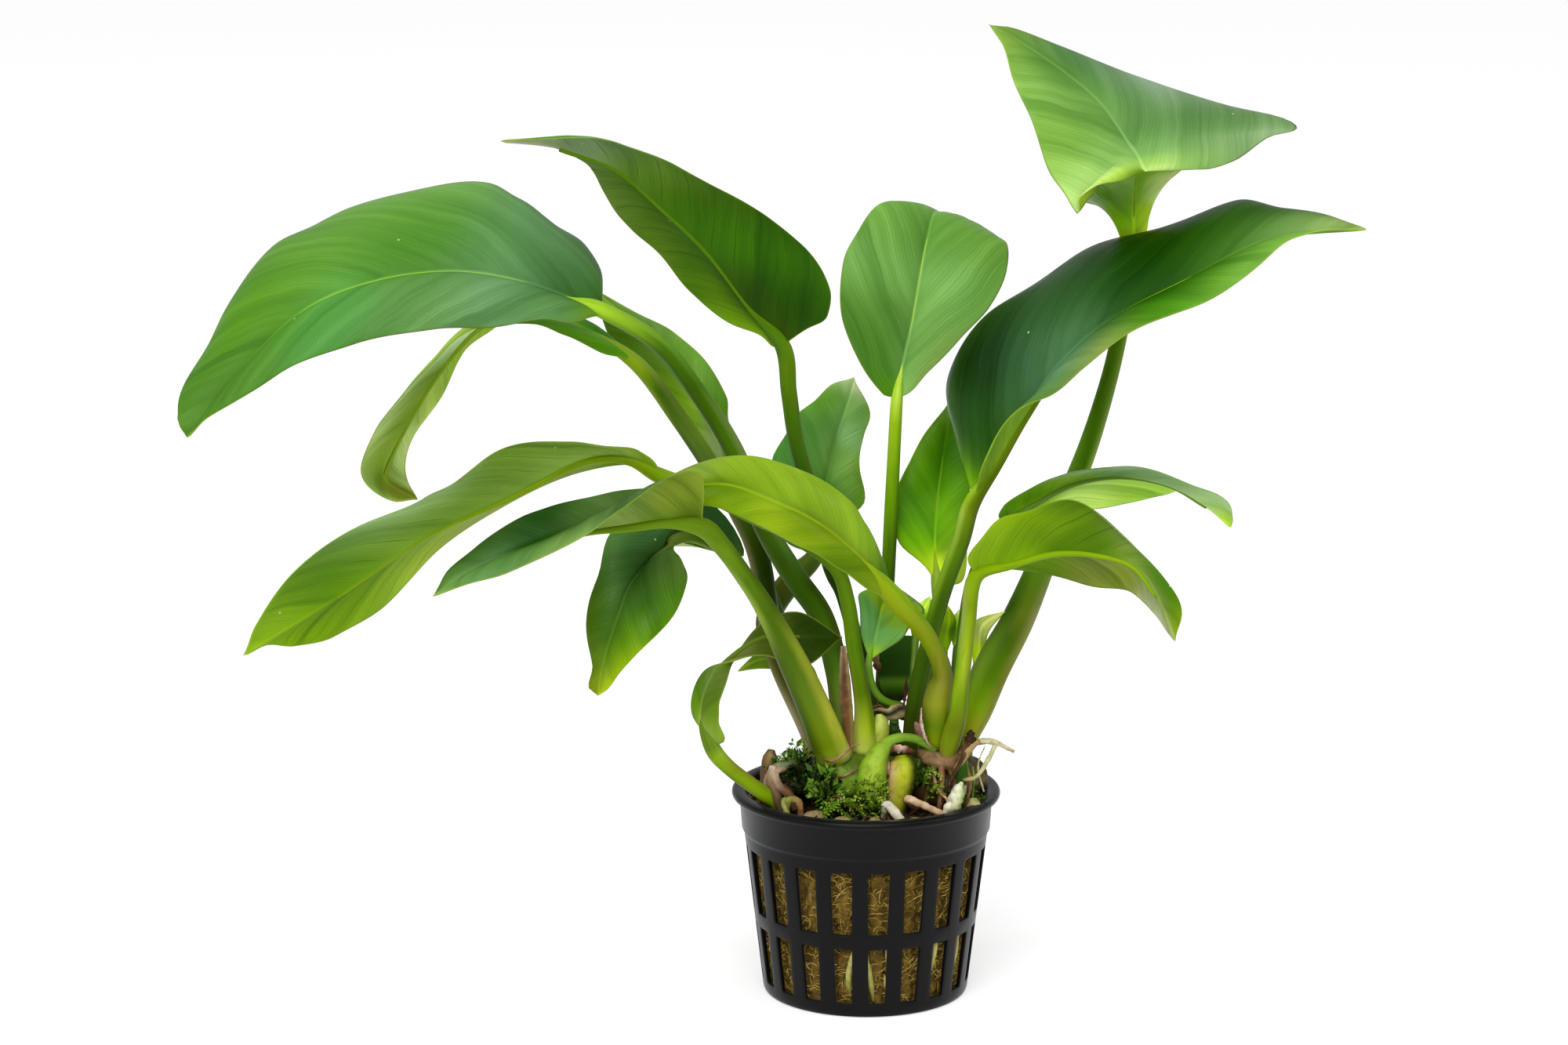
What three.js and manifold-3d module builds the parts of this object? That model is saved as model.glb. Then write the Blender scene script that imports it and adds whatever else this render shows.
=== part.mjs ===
// Potted anubias hastifolia: a net pot with a mineral wool plug, and the plant that stands in it.
// Millimetres, +Z up. The origin is the centre of the pot's underside, and -Y is the front.
import * as THREE from 'three';
import { mergeVertices } from 'three/addons/utils/BufferGeometryUtils.js';
import Module from 'manifold-3d';

const wasm = await Module();
wasm.setup();

// Driving dimensions of the pot
const POT_HEIGHT = 42;
const POT_FOOT_R = 20.7;
const POT_BODY_R_LOW = 21.05;
const POT_BODY_R_HIGH = 24.55;
const POT_WALL = 1.1;
const FOOT_CHAMFER = 0.9;
const POT_FACETS = 40;
const COLLAR_Z = 34;
const COLLAR_R_LOW = 25;
const COLLAR_R_HIGH = 25.4;
const LIP_R = 27;
const LIP_THICKNESS = 1.7;
const LIP_ROUNDING = 0.5;
const FLOOR_THICKNESS = 1.4;
const SLOT_DEPTH = 10;
const SLOT_INNER_R = 17;
const SLOTS_AROUND = 20;
const SLOT_START_DEG = 6.6;
const SLOT_ROWS = [
  { bottom: 3.35, top: 15.1, bottomWidth: 3.1, topWidth: 3.6 },
  { bottom: 18, top: 31.1, bottomWidth: 3.6, topWidth: 4.2 },
];
const FLOOR_SLOTS = 6;
const FLOOR_SLOT_INNER_R = 7;
const FLOOR_SLOT_OUTER_R = 16;
const FLOOR_SLOT_WIDTH = 4.5;

// Driving dimensions of the filling and the plant
const GAP = 0.3;
const WOOL_EDGE_Z = 39.4;
const WOOL_CROWN_Z = 43;
const WOOL_WALL_GAP = 0.7;
const WOOL_FACETS = 28;
const WOOL_DOME_STEPS = 4;
const BLADE_THICKNESS = 0.7;
const RIB_DROP = 0.5;
const RIB_TIP_R = 0.3;
const SEAT_TOP_Z = 54;
const ROOT_SIDES = 5;

// How finely a leaf is divided: rows along its blade, columns on each side of its rib
const LARGE_LEAF = { rows: 10, columns: 2, stemSides: 6, ribSteps: 3 };
const SMALL_LEAF = { rows: 5, columns: 1, stemSides: 5, ribSteps: 2 };
const FUNNEL = { rows: 4, columns: 2 };

// Colours from the photograph
const BLACK_PLASTIC = { color: 0x17181a, roughness: 0.45, metalness: 0 };
const WOOL = { color: 0x6b5a2e, roughness: 0.95, metalness: 0 };
const RHIZOME_GREEN = { color: 0x86a02c, roughness: 0.6, metalness: 0 };
const LEAF_GREEN = { color: 0x3f7d1f, roughness: 0.35, metalness: 0 };
const LEAF_DARK = { color: 0x1f5a1c, roughness: 0.3, metalness: 0 };
const LEAF_BRIGHT = { color: 0x86b01e, roughness: 0.4, metalness: 0 };
const ROOT_TAN = { color: 0xb89a6a, roughness: 0.8, metalness: 0 };
const ROOT_BROWN = { color: 0x5d3d22, roughness: 0.8, metalness: 0 };
const GRAIN_TAN = { color: 0x8a7a3e, roughness: 0.9, metalness: 0 };

// Leaves
// stem runs from its seat up to the blade's base, and rib from there to the tip. left and right are the
// margins, seen from the upper side with the tip ahead, point for point beside the rib. radii are the
// stem's, from its seat to the blade, and flat is how deep the stem is for its width.
const LEAVES = [
  {
    name: 'leaf_left_large', look: LEAF_GREEN, radii: [2, 2.1, 2, 1.8, 1.6], crown: 0.1,
    stem: [[-4, 4, 42], [-5, 4, 57.5], [-6, 5, 65.5], [-9, 5, 76], [-14.5, 4, 84.5], [-20.5, 2, 95.5],
      [-26.5, 0, 111], [-33.5, -2, 123], [-41, -4, 133], [-52, -6, 140]],
    rib: [[-52, -6, 140], [-58.5, -8, 143], [-69, -11, 147], [-81, -14, 149], [-94.5, -19, 148],
      [-107.5, -25, 143.5], [-119, -31, 133], [-129.5, -36, 120.5]],
    left: [[-52, -6, 140], [-57.5, -12, 140], [-68.5, -18, 140], [-81.5, -24, 139.5], [-95.5, -29, 137.5],
      [-110, -34, 132.5], [-122.5, -37, 125.5], [-129.5, -36, 120.5]],
    right: [[-52, -6, 140], [-52.5, 4, 147], [-62.5, 9, 157], [-78, 9, 163], [-98, 4, 159.5],
      [-115.5, -5, 151.5], [-127, -20, 135.5], [-129.5, -36, 120.5]],
  },
  {
    name: 'leaf_left_drooping', look: LEAF_GREEN, radii: [2, 1.9, 1.7, 1.5], crown: 0.1,
    stem: [[-11, 8, 40], [-11.5, 9, 49], [-19, 12, 66.5], [-23, 14, 85.5], [-26.5, 15, 95],
      [-31.5, 16, 105], [-37, 17, 114.5], [-45.5, 18, 125.5]],
    rib: [[-45.5, 18, 125.5], [-56, 19, 132], [-67, 21, 134.5], [-77.5, 23, 132.5], [-86.5, 26, 122.5],
      [-94, 28, 110], [-98.5, 29, 100], [-91.5, 28, 95]],
    left: [[-45.5, 18, 125.5], [-55.5, 12, 131.5], [-66.5, 11, 134.5], [-79, 13, 133.5], [-90.5, 18, 121.5],
      [-99, 22, 109.5], [-102.5, 25, 100.5], [-91.5, 28, 95]],
    right: [[-45.5, 18, 125.5], [-55.5, 25, 132], [-66, 29, 134], [-75, 32, 132.5], [-82.5, 33, 122.5],
      [-89, 33, 111], [-94, 32, 100.5], [-91.5, 28, 95]],
  },
  {
    name: 'leaf_back_left', look: LEAF_DARK, radii: [1.6, 1.6, 1.4], crown: 0.1,
    stem: [[-4, 14.5, 40], [-10, 17.5, 54], [-16.5, 20, 68.5], [-22, 23, 86], [-26.5, 26, 101.5]],
    rib: [[-26.5, 26, 101.5], [-30, 28, 107.5], [-34.5, 30, 115.5], [-40, 33, 123], [-46.5, 36, 130],
      [-56.5, 39, 137.5]],
    left: [[-26.5, 26, 101.5], [-33, 28, 106], [-38.5, 31, 113.5], [-44.5, 34, 120.5], [-51, 37, 128],
      [-56.5, 39, 137.5]],
    right: [[-26.5, 26, 101.5], [-26.5, 26, 108], [-28.5, 28, 116.5], [-34.5, 31, 125], [-43, 35, 131.5],
      [-56.5, 39, 137.5]],
  },
  {
    name: 'leaf_upper_left', look: LEAF_DARK, radii: [1.8, 1.7, 1.6, 1.4], crown: 0.1,
    stem: [[1.5, 9, 41], [1, 9, 56.5], [-2, 10, 67.5], [-5.5, 10, 79], [-8, 9, 85.5], [-11.5, 6, 101.5],
      [-13.5, 3, 112.5], [-15, 0, 122.5], [-16.5, -3, 132.5]],
    rib: [[-16.5, -3, 132.5], [-23.5, -7, 141], [-31.5, -12, 152.5], [-40, -16, 161.5],
      [-48.5, -20, 169.5], [-59, -23, 174], [-70, -25, 175.5]],
    left: [[-16.5, -3, 132.5], [-8.5, -8, 138], [-9, -13, 147.5], [-20, -19, 159], [-34.5, -24, 167.5],
      [-50.5, -27, 175.5], [-70, -25, 175.5]],
    right: [[-16.5, -3, 132.5], [-22, -4, 135.5], [-33.5, -5, 143], [-40.5, -8, 151.5],
      [-47.5, -12, 159.5], [-54.5, -18, 170.5], [-70, -25, 175.5]],
  },
  {
    name: 'leaf_front_arching', look: LEAF_BRIGHT, radii: [2.6, 2.4, 1.8, 1.6, 1.7], crown: 0.12,
    stem: [[12.5, -8, 48], [14, -9, 54.5], [15, -11, 63.5], [14.5, -14, 70.5], [11, -18, 78.5],
      [5, -22, 86]],
    rib: [[5, -22, 86], [-1.5, -27, 95], [-9.5, -30, 102.5], [-18.5, -32, 107.5], [-28.5, -33, 111],
      [-39, -34, 109], [-50, -34, 103.5]],
    left: [[5, -22, 86], [-3.5, -29, 90], [-12, -33, 97.5], [-21, -34.5, 103], [-30.5, -35, 107],
      [-40.5, -35.5, 106.5], [-50, -34, 103.5]],
    right: [[5, -22, 86], [3.5, -23, 96], [-2.5, -25, 105.5], [-12, -26, 111.5], [-24, -28, 115.5],
      [-36.5, -31, 113], [-50, -34, 103.5]],
  },
  {
    name: 'leaf_front_folded', look: LEAF_GREEN, radii: [3.8, 3.5, 2.9, 2.3, 2], crown: 0.12, flat: 0.75,
    stem: [[-7.2, -9, 48.5], [-9.5, -12, 59.5], [-13.5, -17, 71], [-19, -24, 84.5], [-22.5, -29, 93],
      [-26, -34, 99.5], [-29.5, -38, 104]],
    rib: [[-29.5, -38, 104], [-38.5, -42, 106], [-46, -46, 106], [-54, -49, 105.5], [-63.5, -52, 103],
      [-72.5, -54, 100], [-82, -55, 94]],
    left: [[-29.5, -38, 104], [-32, -44, 115], [-38.5, -50, 115.5], [-47, -55, 110.5], [-58, -59, 104.5],
      [-70, -60, 99], [-82, -55, 94]],
    right: [[-29.5, -38, 104], [-35.5, -40.5, 110.5], [-43, -42, 112], [-52, -43, 110.5],
      [-62, -46, 108.5], [-73, -50, 102.5], [-82, -55, 94]],
  },
  {
    name: 'leaf_left_low', look: LEAF_BRIGHT, radii: [2.3, 1.9, 1.5, 1.3, 1.5], crown: 0.1,
    stem: [[-0.5, -4, 48], [-0.5, -5, 60], [-2.5, -7, 72], [-4, -9, 82.5], [-6.5, -10, 89.5],
      [-14, -11, 95.5], [-23.5, -12, 100.5], [-32, -13, 105], [-40.5, -16, 109]],
    rib: [[-40.5, -16, 109], [-47, -20, 113.5], [-55.5, -25, 114], [-69, -30, 108], [-84.5, -35, 101.5],
      [-101.5, -40, 90.5], [-119, -44, 80]],
    left: [[-40.5, -16, 109], [-45, -22, 116], [-56, -32, 119], [-69.5, -40, 119], [-85.5, -46, 109.5],
      [-107, -48, 97.5], [-119, -44, 80]],
    right: [[-40.5, -16, 109], [-47.5, -18, 111.5], [-59.5, -21, 109.5], [-74, -25, 103], [-88, -30, 92.5],
      [-103.5, -36, 81.5], [-119, -44, 80]],
  },
  {
    name: 'leaf_left_hanging', look: LEAF_DARK, radii: [1.4, 1.3, 1.2, 1.1], crown: 0.1,
    stem: [[-9, 0, 42], [-10, 2, 54], [-15, 0, 65.5], [-20.5, -4, 79], [-25.5, -10, 90.5], [-31, -13, 95],
      [-35, -14, 96.5], [-38, -15, 96]],
    rib: [[-38, -15, 96], [-39.5, -16, 95], [-43, -20, 93], [-46.5, -25, 89], [-48.5, -28, 84],
      [-50.5, -29, 78], [-51.5, -29, 73], [-52.5, -28, 68]],
    left: [[-38, -15, 96], [-37, -17, 94], [-36, -20, 92.5], [-35.5, -24, 90], [-38, -29, 84.5],
      [-44, -32, 78.5], [-48, -32, 73.5], [-52.5, -28, 68]],
    right: [[-38, -15, 96], [-24.5, 0, 89.5], [-32, -4, 101.5], [-48.5, -18, 100], [-52.5, -24, 91],
      [-54.5, -27, 82], [-53.5, -28, 74], [-52.5, -28, 68]],
  },
  {
    name: 'leaf_centre_upright', look: LEAF_GREEN, radii: [1.5, 1.4, 1.3, 1.1], crown: 0.08,
    stem: [[3, 13.5, 41], [3.5, 13, 58.5], [4, 12.5, 72], [4.5, 12, 82], [5, 11, 95], [5.5, 9, 108.5],
      [6, 7, 120]],
    rib: [[6, 7, 120], [7, 8, 126.5], [9, 10, 135], [10.5, 12, 143.5], [12.5, 16, 151], [14.5, 24, 155],
      [19, 36, 150]],
    left: [[6, 7, 120], [0.5, 6, 126.5], [-4, 7, 136.5], [-4.5, 9, 147], [-0.5, 13, 155.5],
      [7, 21, 157.5], [19, 36, 150]],
    right: [[6, 7, 120], [12.5, 7, 124.5], [19.5, 8, 132], [25.5, 10, 139], [28, 14, 148], [26, 24, 151],
      [19, 36, 150]],
  },
  {
    name: 'leaf_back_middle', look: LEAF_DARK, radii: [1.8, 1.8, 1.8, 1.4], crown: 0.1,
    stem: [[-11, 17, 40], [-15, 20, 55], [-19, 23, 64.5], [-19.5, 25, 71.5], [-15, 26, 78.5],
      [-10, 26, 84]],
    rib: [[-10, 26, 84], [-9, 28, 92], [-7.5, 30, 100], [-5.5, 31, 108], [-3.5, 31, 114.5],
      [-2, 31, 119.5]],
    left: [[-10, 26, 84], [-16.5, 27, 87], [-19, 29, 97], [-15.5, 31, 108.5], [-9.5, 32, 115.5],
      [-2, 31, 119.5]],
    right: [[-10, 26, 84], [-3.5, 26, 86.5], [0, 27, 95], [-0.5, 29, 103.5], [1, 30, 112.5],
      [-2, 31, 119.5]],
  },
  {
    name: 'leaf_right_upright', look: LEAF_GREEN, radii: [1.4, 1.3, 1.1], crown: 0.08,
    stem: [[10.5, 6, 41], [10.5, 6, 56.5], [13, 7, 63.5], [15, 9, 73], [14.5, 12, 81]],
    rib: [[14.5, 12, 81], [14, 14, 88], [14.5, 16, 97], [15.5, 18, 105], [16.5, 19, 112],
      [17, 20, 117.5]],
    left: [[14.5, 12, 81], [7, 13, 89.5], [6, 15, 97.5], [9, 17, 106], [13.5, 19, 112.5],
      [17, 20, 117.5]],
    right: [[14.5, 12, 81], [20, 12, 82], [23.5, 14, 93.5], [22.5, 16, 103.5], [20.5, 19, 112],
      [17, 20, 117.5]],
  },
  {
    name: 'leaf_right_large', look: LEAF_DARK, radii: [2, 1.9, 1.8, 1.7, 1.7], crown: 0.12,
    stem: [[8.5, -2, 47], [9.5, -3, 59.5], [12, -4, 71.5], [15, -5, 83.5], [18.5, -6, 94],
      [20.5, -8, 102]],
    rib: [[21, -8, 102.5], [24.5, -12, 110.5], [30, -17, 121.5], [36.5, -21, 132], [46.5, -23, 141.5],
      [60, -22, 148.5], [76.5, -20, 156], [95, -17, 157.5]],
    left: [[21, -8, 102.5], [17.5, 0, 114], [15.5, 3, 125.5], [24, 5, 138], [41.5, 4, 149],
      [61.5, 0, 156.5], [78.5, -9, 161.5], [95, -17, 157.5]],
    right: [[21, -8, 102.5], [22.5, -17, 112], [28.5, -23, 124.5], [39, -28, 131], [49, -30, 140],
      [62.5, -29, 145.5], [79, -24, 157], [95, -17, 157.5]],
  },
  {
    name: 'leaf_top_right', look: LEAF_GREEN, radii: [3.2, 3.3, 2.7, 2.2, 1.8, 1.6, 1.8], crown: 0.06,
    stem: [[21.5, 2.5, 46], [22.5, 3, 56.5], [25.5, 4, 65.5], [30.5, 6, 75], [35, 7.5, 85.5],
      [39.5, 9, 97], [44.5, 10, 110], [48.5, 10, 124], [51, 10, 136.5], [52.5, 9.5, 148], [53, 8, 153.5]],
    rib: [[53, -12, 168], [52.5, -11, 169], [52, -10, 170], [51.5, -9, 171], [50, -7, 173],
      [48, -4, 176], [44.5, -2, 180.5], [38.5, -1, 185.5], [30.5, -2, 191], [23, -5, 195.5]],
    left: [[53, -12, 168], [48.5, -14, 166.5], [43.5, -16, 165], [40, -17, 163.5], [39, -17, 161.5],
      [37, -15, 165], [34.5, -13, 170], [31, -10, 179.5], [27.5, -7, 188.5], [23, -5, 195.5]],
    right: [[53, -12, 168], [61.5, -11, 168.5], [70, -8, 169], [78, -4, 173.5], [83, 0, 175.5],
      [71.5, 5, 179], [56.5, 8, 183], [45, 7, 187], [33, 1, 192], [23, -5, 195.5]],
    funnel: {
      rib: [[53, 8, 153.5], [52.5, 2, 159.5], [52.5, -5, 166], [52.5, -9, 171]],
      left: [[53, 8, 153.5], [47, 4, 159], [42, -7, 163], [41, -12, 165.5]],
      right: [[53, 8, 153.5], [56, 5, 159], [60.5, -3, 166.5], [62, -5, 170.5]],
    },
  },
  {
    name: 'leaf_right_arching', look: LEAF_GREEN, radii: [1.4, 1.3, 1.2, 1.2], crown: 0.1,
    stem: [[16, 0.5, 42], [19, 1, 62], [20.5, 2, 74.5], [22, 3, 83], [24.5, 3, 90.5], [28, 2, 95.5]],
    rib: [[28, 2, 95.5], [33, -1, 100.5], [40.5, -5, 105.5], [49.5, -8, 107.5], [59, -10, 106],
      [66.5, -9, 101.5], [71.5, -8, 97]],
    left: [[28, 2, 95.5], [36, 4, 95], [44, 5, 98], [53.5, 5, 100], [62, 2, 102], [68, -3, 100],
      [71.5, -8, 97]],
    right: [[28, 2, 95.5], [27, -1, 99.5], [33.5, -8, 106.5], [46, -13, 110], [59, -15, 108.5],
      [70, -13, 103], [71.5, -8, 97]],
  },
  {
    name: 'leaf_right_front', look: LEAF_BRIGHT, radii: [2, 1.7, 1.4, 1.3], crown: 0.14,
    stem: [[16, -11.5, 46], [16, -14, 57], [18, -16, 67.5], [19.5, -16, 79], [21, -16, 89]],
    rib: [[21, -16, 89], [27.5, -21, 93], [35.5, -25, 96], [43.5, -29, 96.5], [50.5, -31, 94.5],
      [55, -31, 88.5], [59, -29, 79]],
    left: [[21, -16, 89], [26, -13, 89.5], [33.5, -12, 88.5], [42.5, -14, 87], [50.5, -18, 86.5],
      [55, -24, 83], [59, -29, 79]],
    right: [[21, -16, 89], [19.5, -20, 94.5], [27, -27, 103.5], [38, -32, 108], [48, -32, 101.5],
      [59, -28, 88], [59, -29, 79]],
  },
  {
    name: 'leaf_small_heart', look: LEAF_DARK, radii: [0.9, 0.8, 0.75], crown: 0.06, small: true,
    stem: [[7.4, 3.8, 41], [5, 2, 57.5], [2, 1, 60.5], [0.5, 0, 64.5], [0.5, -1, 68.5]],
    rib: [[0.5, -1, 68.5], [1.5, -1, 72.5], [2.5, 0, 76.5], [3.5, 2, 79.5], [7, 5, 81.5]],
    left: [[0.5, -1, 68.5], [-1.5, -3, 75], [-2.5, -3, 81.5], [1, 0, 83], [7, 5, 81.5]],
    right: [[0.5, -1, 68.5], [7.5, 0, 72], [10, 2, 74.5], [12, 4, 77.5], [7, 5, 81.5]],
  },
  {
    name: 'leaf_loop', look: LEAF_GREEN, radii: [1.4, 1.3, 1.2], crown: 0.1, small: true,
    stem: [[-16.5, -11.5, 38], [-18, -12.5, 42], [-22.5, -15, 46], [-27.5, -16, 50], [-31.5, -15, 53.5]],
    rib: [[-31.5, -15, 53.5], [-33, -14, 60], [-31, -13, 67.5], [-26, -11, 71.5], [-20.5, -9.5, 75],
      [-13.5, -8.5, 75], [-5, -3, 73.5]],
    left: [[-31.5, -15, 53.5], [-35, -12.5, 61], [-32.5, -11, 68.5], [-26, -13, 71.5], [-20, -12, 72],
      [-12.5, -11, 69.5], [-5, -3, 73.5]],
    right: [[-31.5, -15, 53.5], [-30, -16, 61], [-28, -15, 67], [-26, -9, 71.5], [-21, -7, 77.5],
      [-13.5, -6, 79.5], [-5, -3, 73.5]],
  },
  {
    name: 'leaf_small_left', look: LEAF_DARK, radii: [1, 0.9, 0.8], crown: 0.06, small: true,
    stem: [[-9.5, 12.5, 41], [-10, 13.5, 56], [-10.5, 14.5, 61], [-12.5, 16, 63.5]],
    rib: [[-12.5, 16, 63.5], [-16.5, 16.5, 64.5], [-21.5, 16.5, 64], [-26, 17, 61.5]],
    left: [[-12.5, 16, 63.5], [-16.5, 15, 62.5], [-21.5, 15, 62.5], [-26, 17, 61.5]],
    right: [[-12.5, 16, 63.5], [-15.5, 17.5, 67], [-21.5, 18, 65.5], [-26, 17, 61.5]],
  },
  {
    name: 'leaf_new_left', look: LEAF_BRIGHT, radii: [1, 0.9, 0.8], crown: 0.06, small: true,
    stem: [[9.5, 11, 41], [9.5, 12, 60.5], [10, 12, 68]],
    rib: [[10, 12, 68], [11, 12, 72], [11.5, 12, 75.5], [13, 12, 78.5]],
    left: [[10, 12, 68], [9, 11, 72.5], [10, 11, 76.5], [13, 12, 78.5]],
    right: [[10, 12, 68], [12, 12, 71], [13.5, 13, 75], [13, 12, 78.5]],
  },
  {
    name: 'leaf_new_right', look: LEAF_BRIGHT, radii: [1, 0.9, 0.8], crown: 0.06, small: true,
    stem: [[14, 3.5, 41], [14.5, 3.5, 61], [15.5, 3.5, 67]],
    rib: [[15.5, 3.5, 67], [16, 3.5, 71.5], [16.5, 3.5, 75.5], [16, 4, 79]],
    left: [[15.5, 3.5, 67], [14.5, 3.5, 71.5], [15, 3.5, 76.5], [16, 4, 79]],
    right: [[15.5, 3.5, 67], [17, 3, 71], [18, 3.5, 75.5], [16, 4, 79]],
  },
  {
    name: 'leaf_small_dark', look: LEAF_DARK, radii: [0.9, 0.8, 0.8], crown: 0.06, small: true,
    stem: [[17, 12.5, 41], [18, 13, 58.5], [18.5, 14, 66]],
    rib: [[18.5, 14, 66], [18.5, 14, 69], [19, 14, 72.5], [19, 15, 75]],
    left: [[18.5, 14, 66], [17.5, 14, 69], [17.5, 14, 73], [19, 15, 75]],
    right: [[18.5, 14, 66], [20, 14, 69], [20, 15, 72.5], [19, 15, 75]],
  },
  {
    name: 'leaf_small_olive', look: LEAF_BRIGHT, radii: [1, 0.9, 0.9], crown: 0.06, small: true,
    stem: [[20.5, 9, 41], [21.5, 9, 56.5], [22, 9, 63]],
    rib: [[22, 9, 63], [23, 8, 68], [23.5, 7, 73.5], [28, 5, 77]],
    left: [[22, 9, 63], [21.5, 9, 68.5], [22, 9, 74], [28, 5, 77]],
    right: [[22, 9, 63], [24, 7, 68], [24.8, 6, 72.5], [28, 5, 77]],
  },
  {
    name: 'leaf_small_front', look: LEAF_DARK, radii: [0.8, 0.8], crown: 0.06, small: true,
    stem: [[19, -12.2, 38.5], [18.6, -13, 44.5]],
    rib: [[18.6, -13, 44.5], [19, -13.5, 47.5], [19, -13.5, 50], [19.8, -13, 52.5]],
    left: [[18.6, -13, 44.5], [18.2, -14.2, 48], [18.4, -14.2, 50.5], [19.8, -13, 52.5]],
    right: [[18.6, -13, 44.5], [20, -12.5, 46], [20.6, -12.5, 49], [19.8, -13, 52.5]],
  },
];

// Rhizome: the main body, its arching branch, the cut stub, the bud, as routes with radii
const RHIZOME_RUNS = [
  { points: [[-11, -8, 45], [-5, -8, 46], [2, -6, 45.5], [9, -4, 45], [14.5, -8, 44.5], [21.5, 0, 44.5]],
    radii: [2.6, 4.6, 4.4, 4, 4.4, 3.8], rings: 9, sides: 8 },
  { points: [[-6, -13, 41], [-3, -13, 45], [0.5, -11.5, 49.5], [4.5, -10.5, 52], [8.5, -10.5, 51],
    [12, -10, 46.5]], radii: [1.8, 2.2, 1.8, 1.6, 1.5, 1.7], rings: 8, sides: 6 },
  { points: [[7.5, -13.5, 39], [7, -13, 44], [6.8, -12, 49]], radii: [2.4, 3, 2.4], rings: 4, sides: 7 },
  { points: [[3.2, -4, 48], [2.6, -2.2, 52], [2.5, -1.6, 55], [2.4, -1.4, 57.6]],
    radii: [1.6, 1.5, 1.8, 0.7], rings: 5, sides: 6 },
];

// Bud sheath, old brown stub and loose roots, each its own piece standing in the wool or the rhizome
const SHOOTS = [
  { name: 'bud_sheath', look: ROOT_BROWN, points: [[-1.9, -8.8, 48.6], [-3.2, -9, 58], [-4.2, -9.4, 66],
    [-4.9, -9.8, 71.5]], radii: [1, 1, 0.9, 0.35], rings: 5 },
  { name: 'old_rhizome_stub', look: ROOT_BROWN, points: [[5, 7.5, 40], [6.6, 7.4, 50], [7, 7.2, 57],
    [4.5, 6, 59], [1.6, 5, 58.5]], radii: [1.1, 1.1, 1.2, 1.3, 0.8], rings: 7 },
  { name: 'root_right_pale', look: ROOT_TAN, points: [[14.2, -15.4, 40], [16, -15.4, 48],
    [20.5, -14.5, 54.5], [24.5, -14, 55], [29, -14, 53]], radii: [0.7, 0.6, 0.6, 0.6, 0.5], rings: 8,
    branch: { points: [[24, -14, 54.8], [23, -14.5, 50], [20.6, -15.4, 47.5]], radii: [0.5, 0.5, 0.4],
      rings: 4 } },
  { name: 'root_left_knob', look: ROOT_TAN, points: [[-20, -4, 37.5], [-20.6, -4, 44], [-19.3, -4, 50]],
    radii: [1, 1, 1.2], rings: 4 },
  { name: 'root_left_arch', look: ROOT_TAN, points: [[-12.6, -5.6, 39], [-13.4, -6.6, 48],
    [-18, -7.8, 47.8], [-19.6, -8.8, 44], [-18.6, -8.6, 38]], radii: [0.9, 0.9, 1, 1, 0.9], rings: 8 },
  { name: 'root_left_thick', look: ROOT_BROWN, points: [[-13, -12, 38], [-15, -11.4, 42.6],
    [-16.8, -10.8, 45]], radii: [1.6, 1.6, 1], rings: 4 },
  { name: 'root_left_loop', look: ROOT_TAN, points: [[-15.6, -15.4, 37], [-15.8, -15.6, 43],
    [-13.6, -15.8, 43.2], [-13, -15.8, 38]], radii: [0.6, 0.6, 0.6, 0.6], rings: 7 },
  { name: 'root_front_stick', look: ROOT_TAN, points: [[6.8, -17.4, 39], [8.6, -17.2, 44.4],
    [11.4, -17.6, 42.4], [12.6, -18.2, 39.6]], radii: [0.9, 0.9, 0.8, 0.7], rings: 6 },
  { name: 'root_front_white', look: ROOT_TAN, points: [[3, -16.6, 38.4], [3.6, -17.6, 43.4],
    [5.4, -19.4, 42], [6.8, -20.6, 38.6]], radii: [0.8, 0.8, 0.8, 0.7], rings: 6 },
  { name: 'root_right_chunk', look: ROOT_TAN, points: [[18.4, -9.6, 37.6], [18.2, -9.8, 42],
    [18.6, -9.4, 45]], radii: [1.3, 1.5, 0.8], rings: 4 },
];

// Rounded grains that lie in the wool just inside the front rim
const GRAINS = [
  { at: [-10.4, -18, 40.7], size: [2.6, 1.6, 1.4], turn: 0.4 },
  { at: [-5, -19.8, 40.2], size: [2, 1.4, 1.2], turn: -0.2 },
  { at: [1.2, -20.2, 40.3], size: [1.6, 1.2, 1.1], turn: 0.9 },
  { at: [9.4, -20, 40.2], size: [1.7, 1.1, 1.1], turn: 0.1 },
];

// Geometry helpers

function vectors(list) {
  return list.map(([x, y, z]) => new THREE.Vector3(x, y, z));
}

function smoothCurve(list) {
  return new THREE.CatmullRomCurve3(vectors(list), false, 'catmullrom', 0.5);
}

function valueAlong(values, u) {
  const place = u * (values.length - 1);
  const i = Math.min(Math.floor(place), values.length - 2);
  return THREE.MathUtils.lerp(values[i], values[i + 1], place - i);
}

function meshFrom(positions, triangles) {
  const geometry = new THREE.BufferGeometry();
  geometry.setAttribute('position', new THREE.Float32BufferAttribute(positions, 3));
  geometry.setIndex(triangles);
  return geometry;
}

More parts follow.
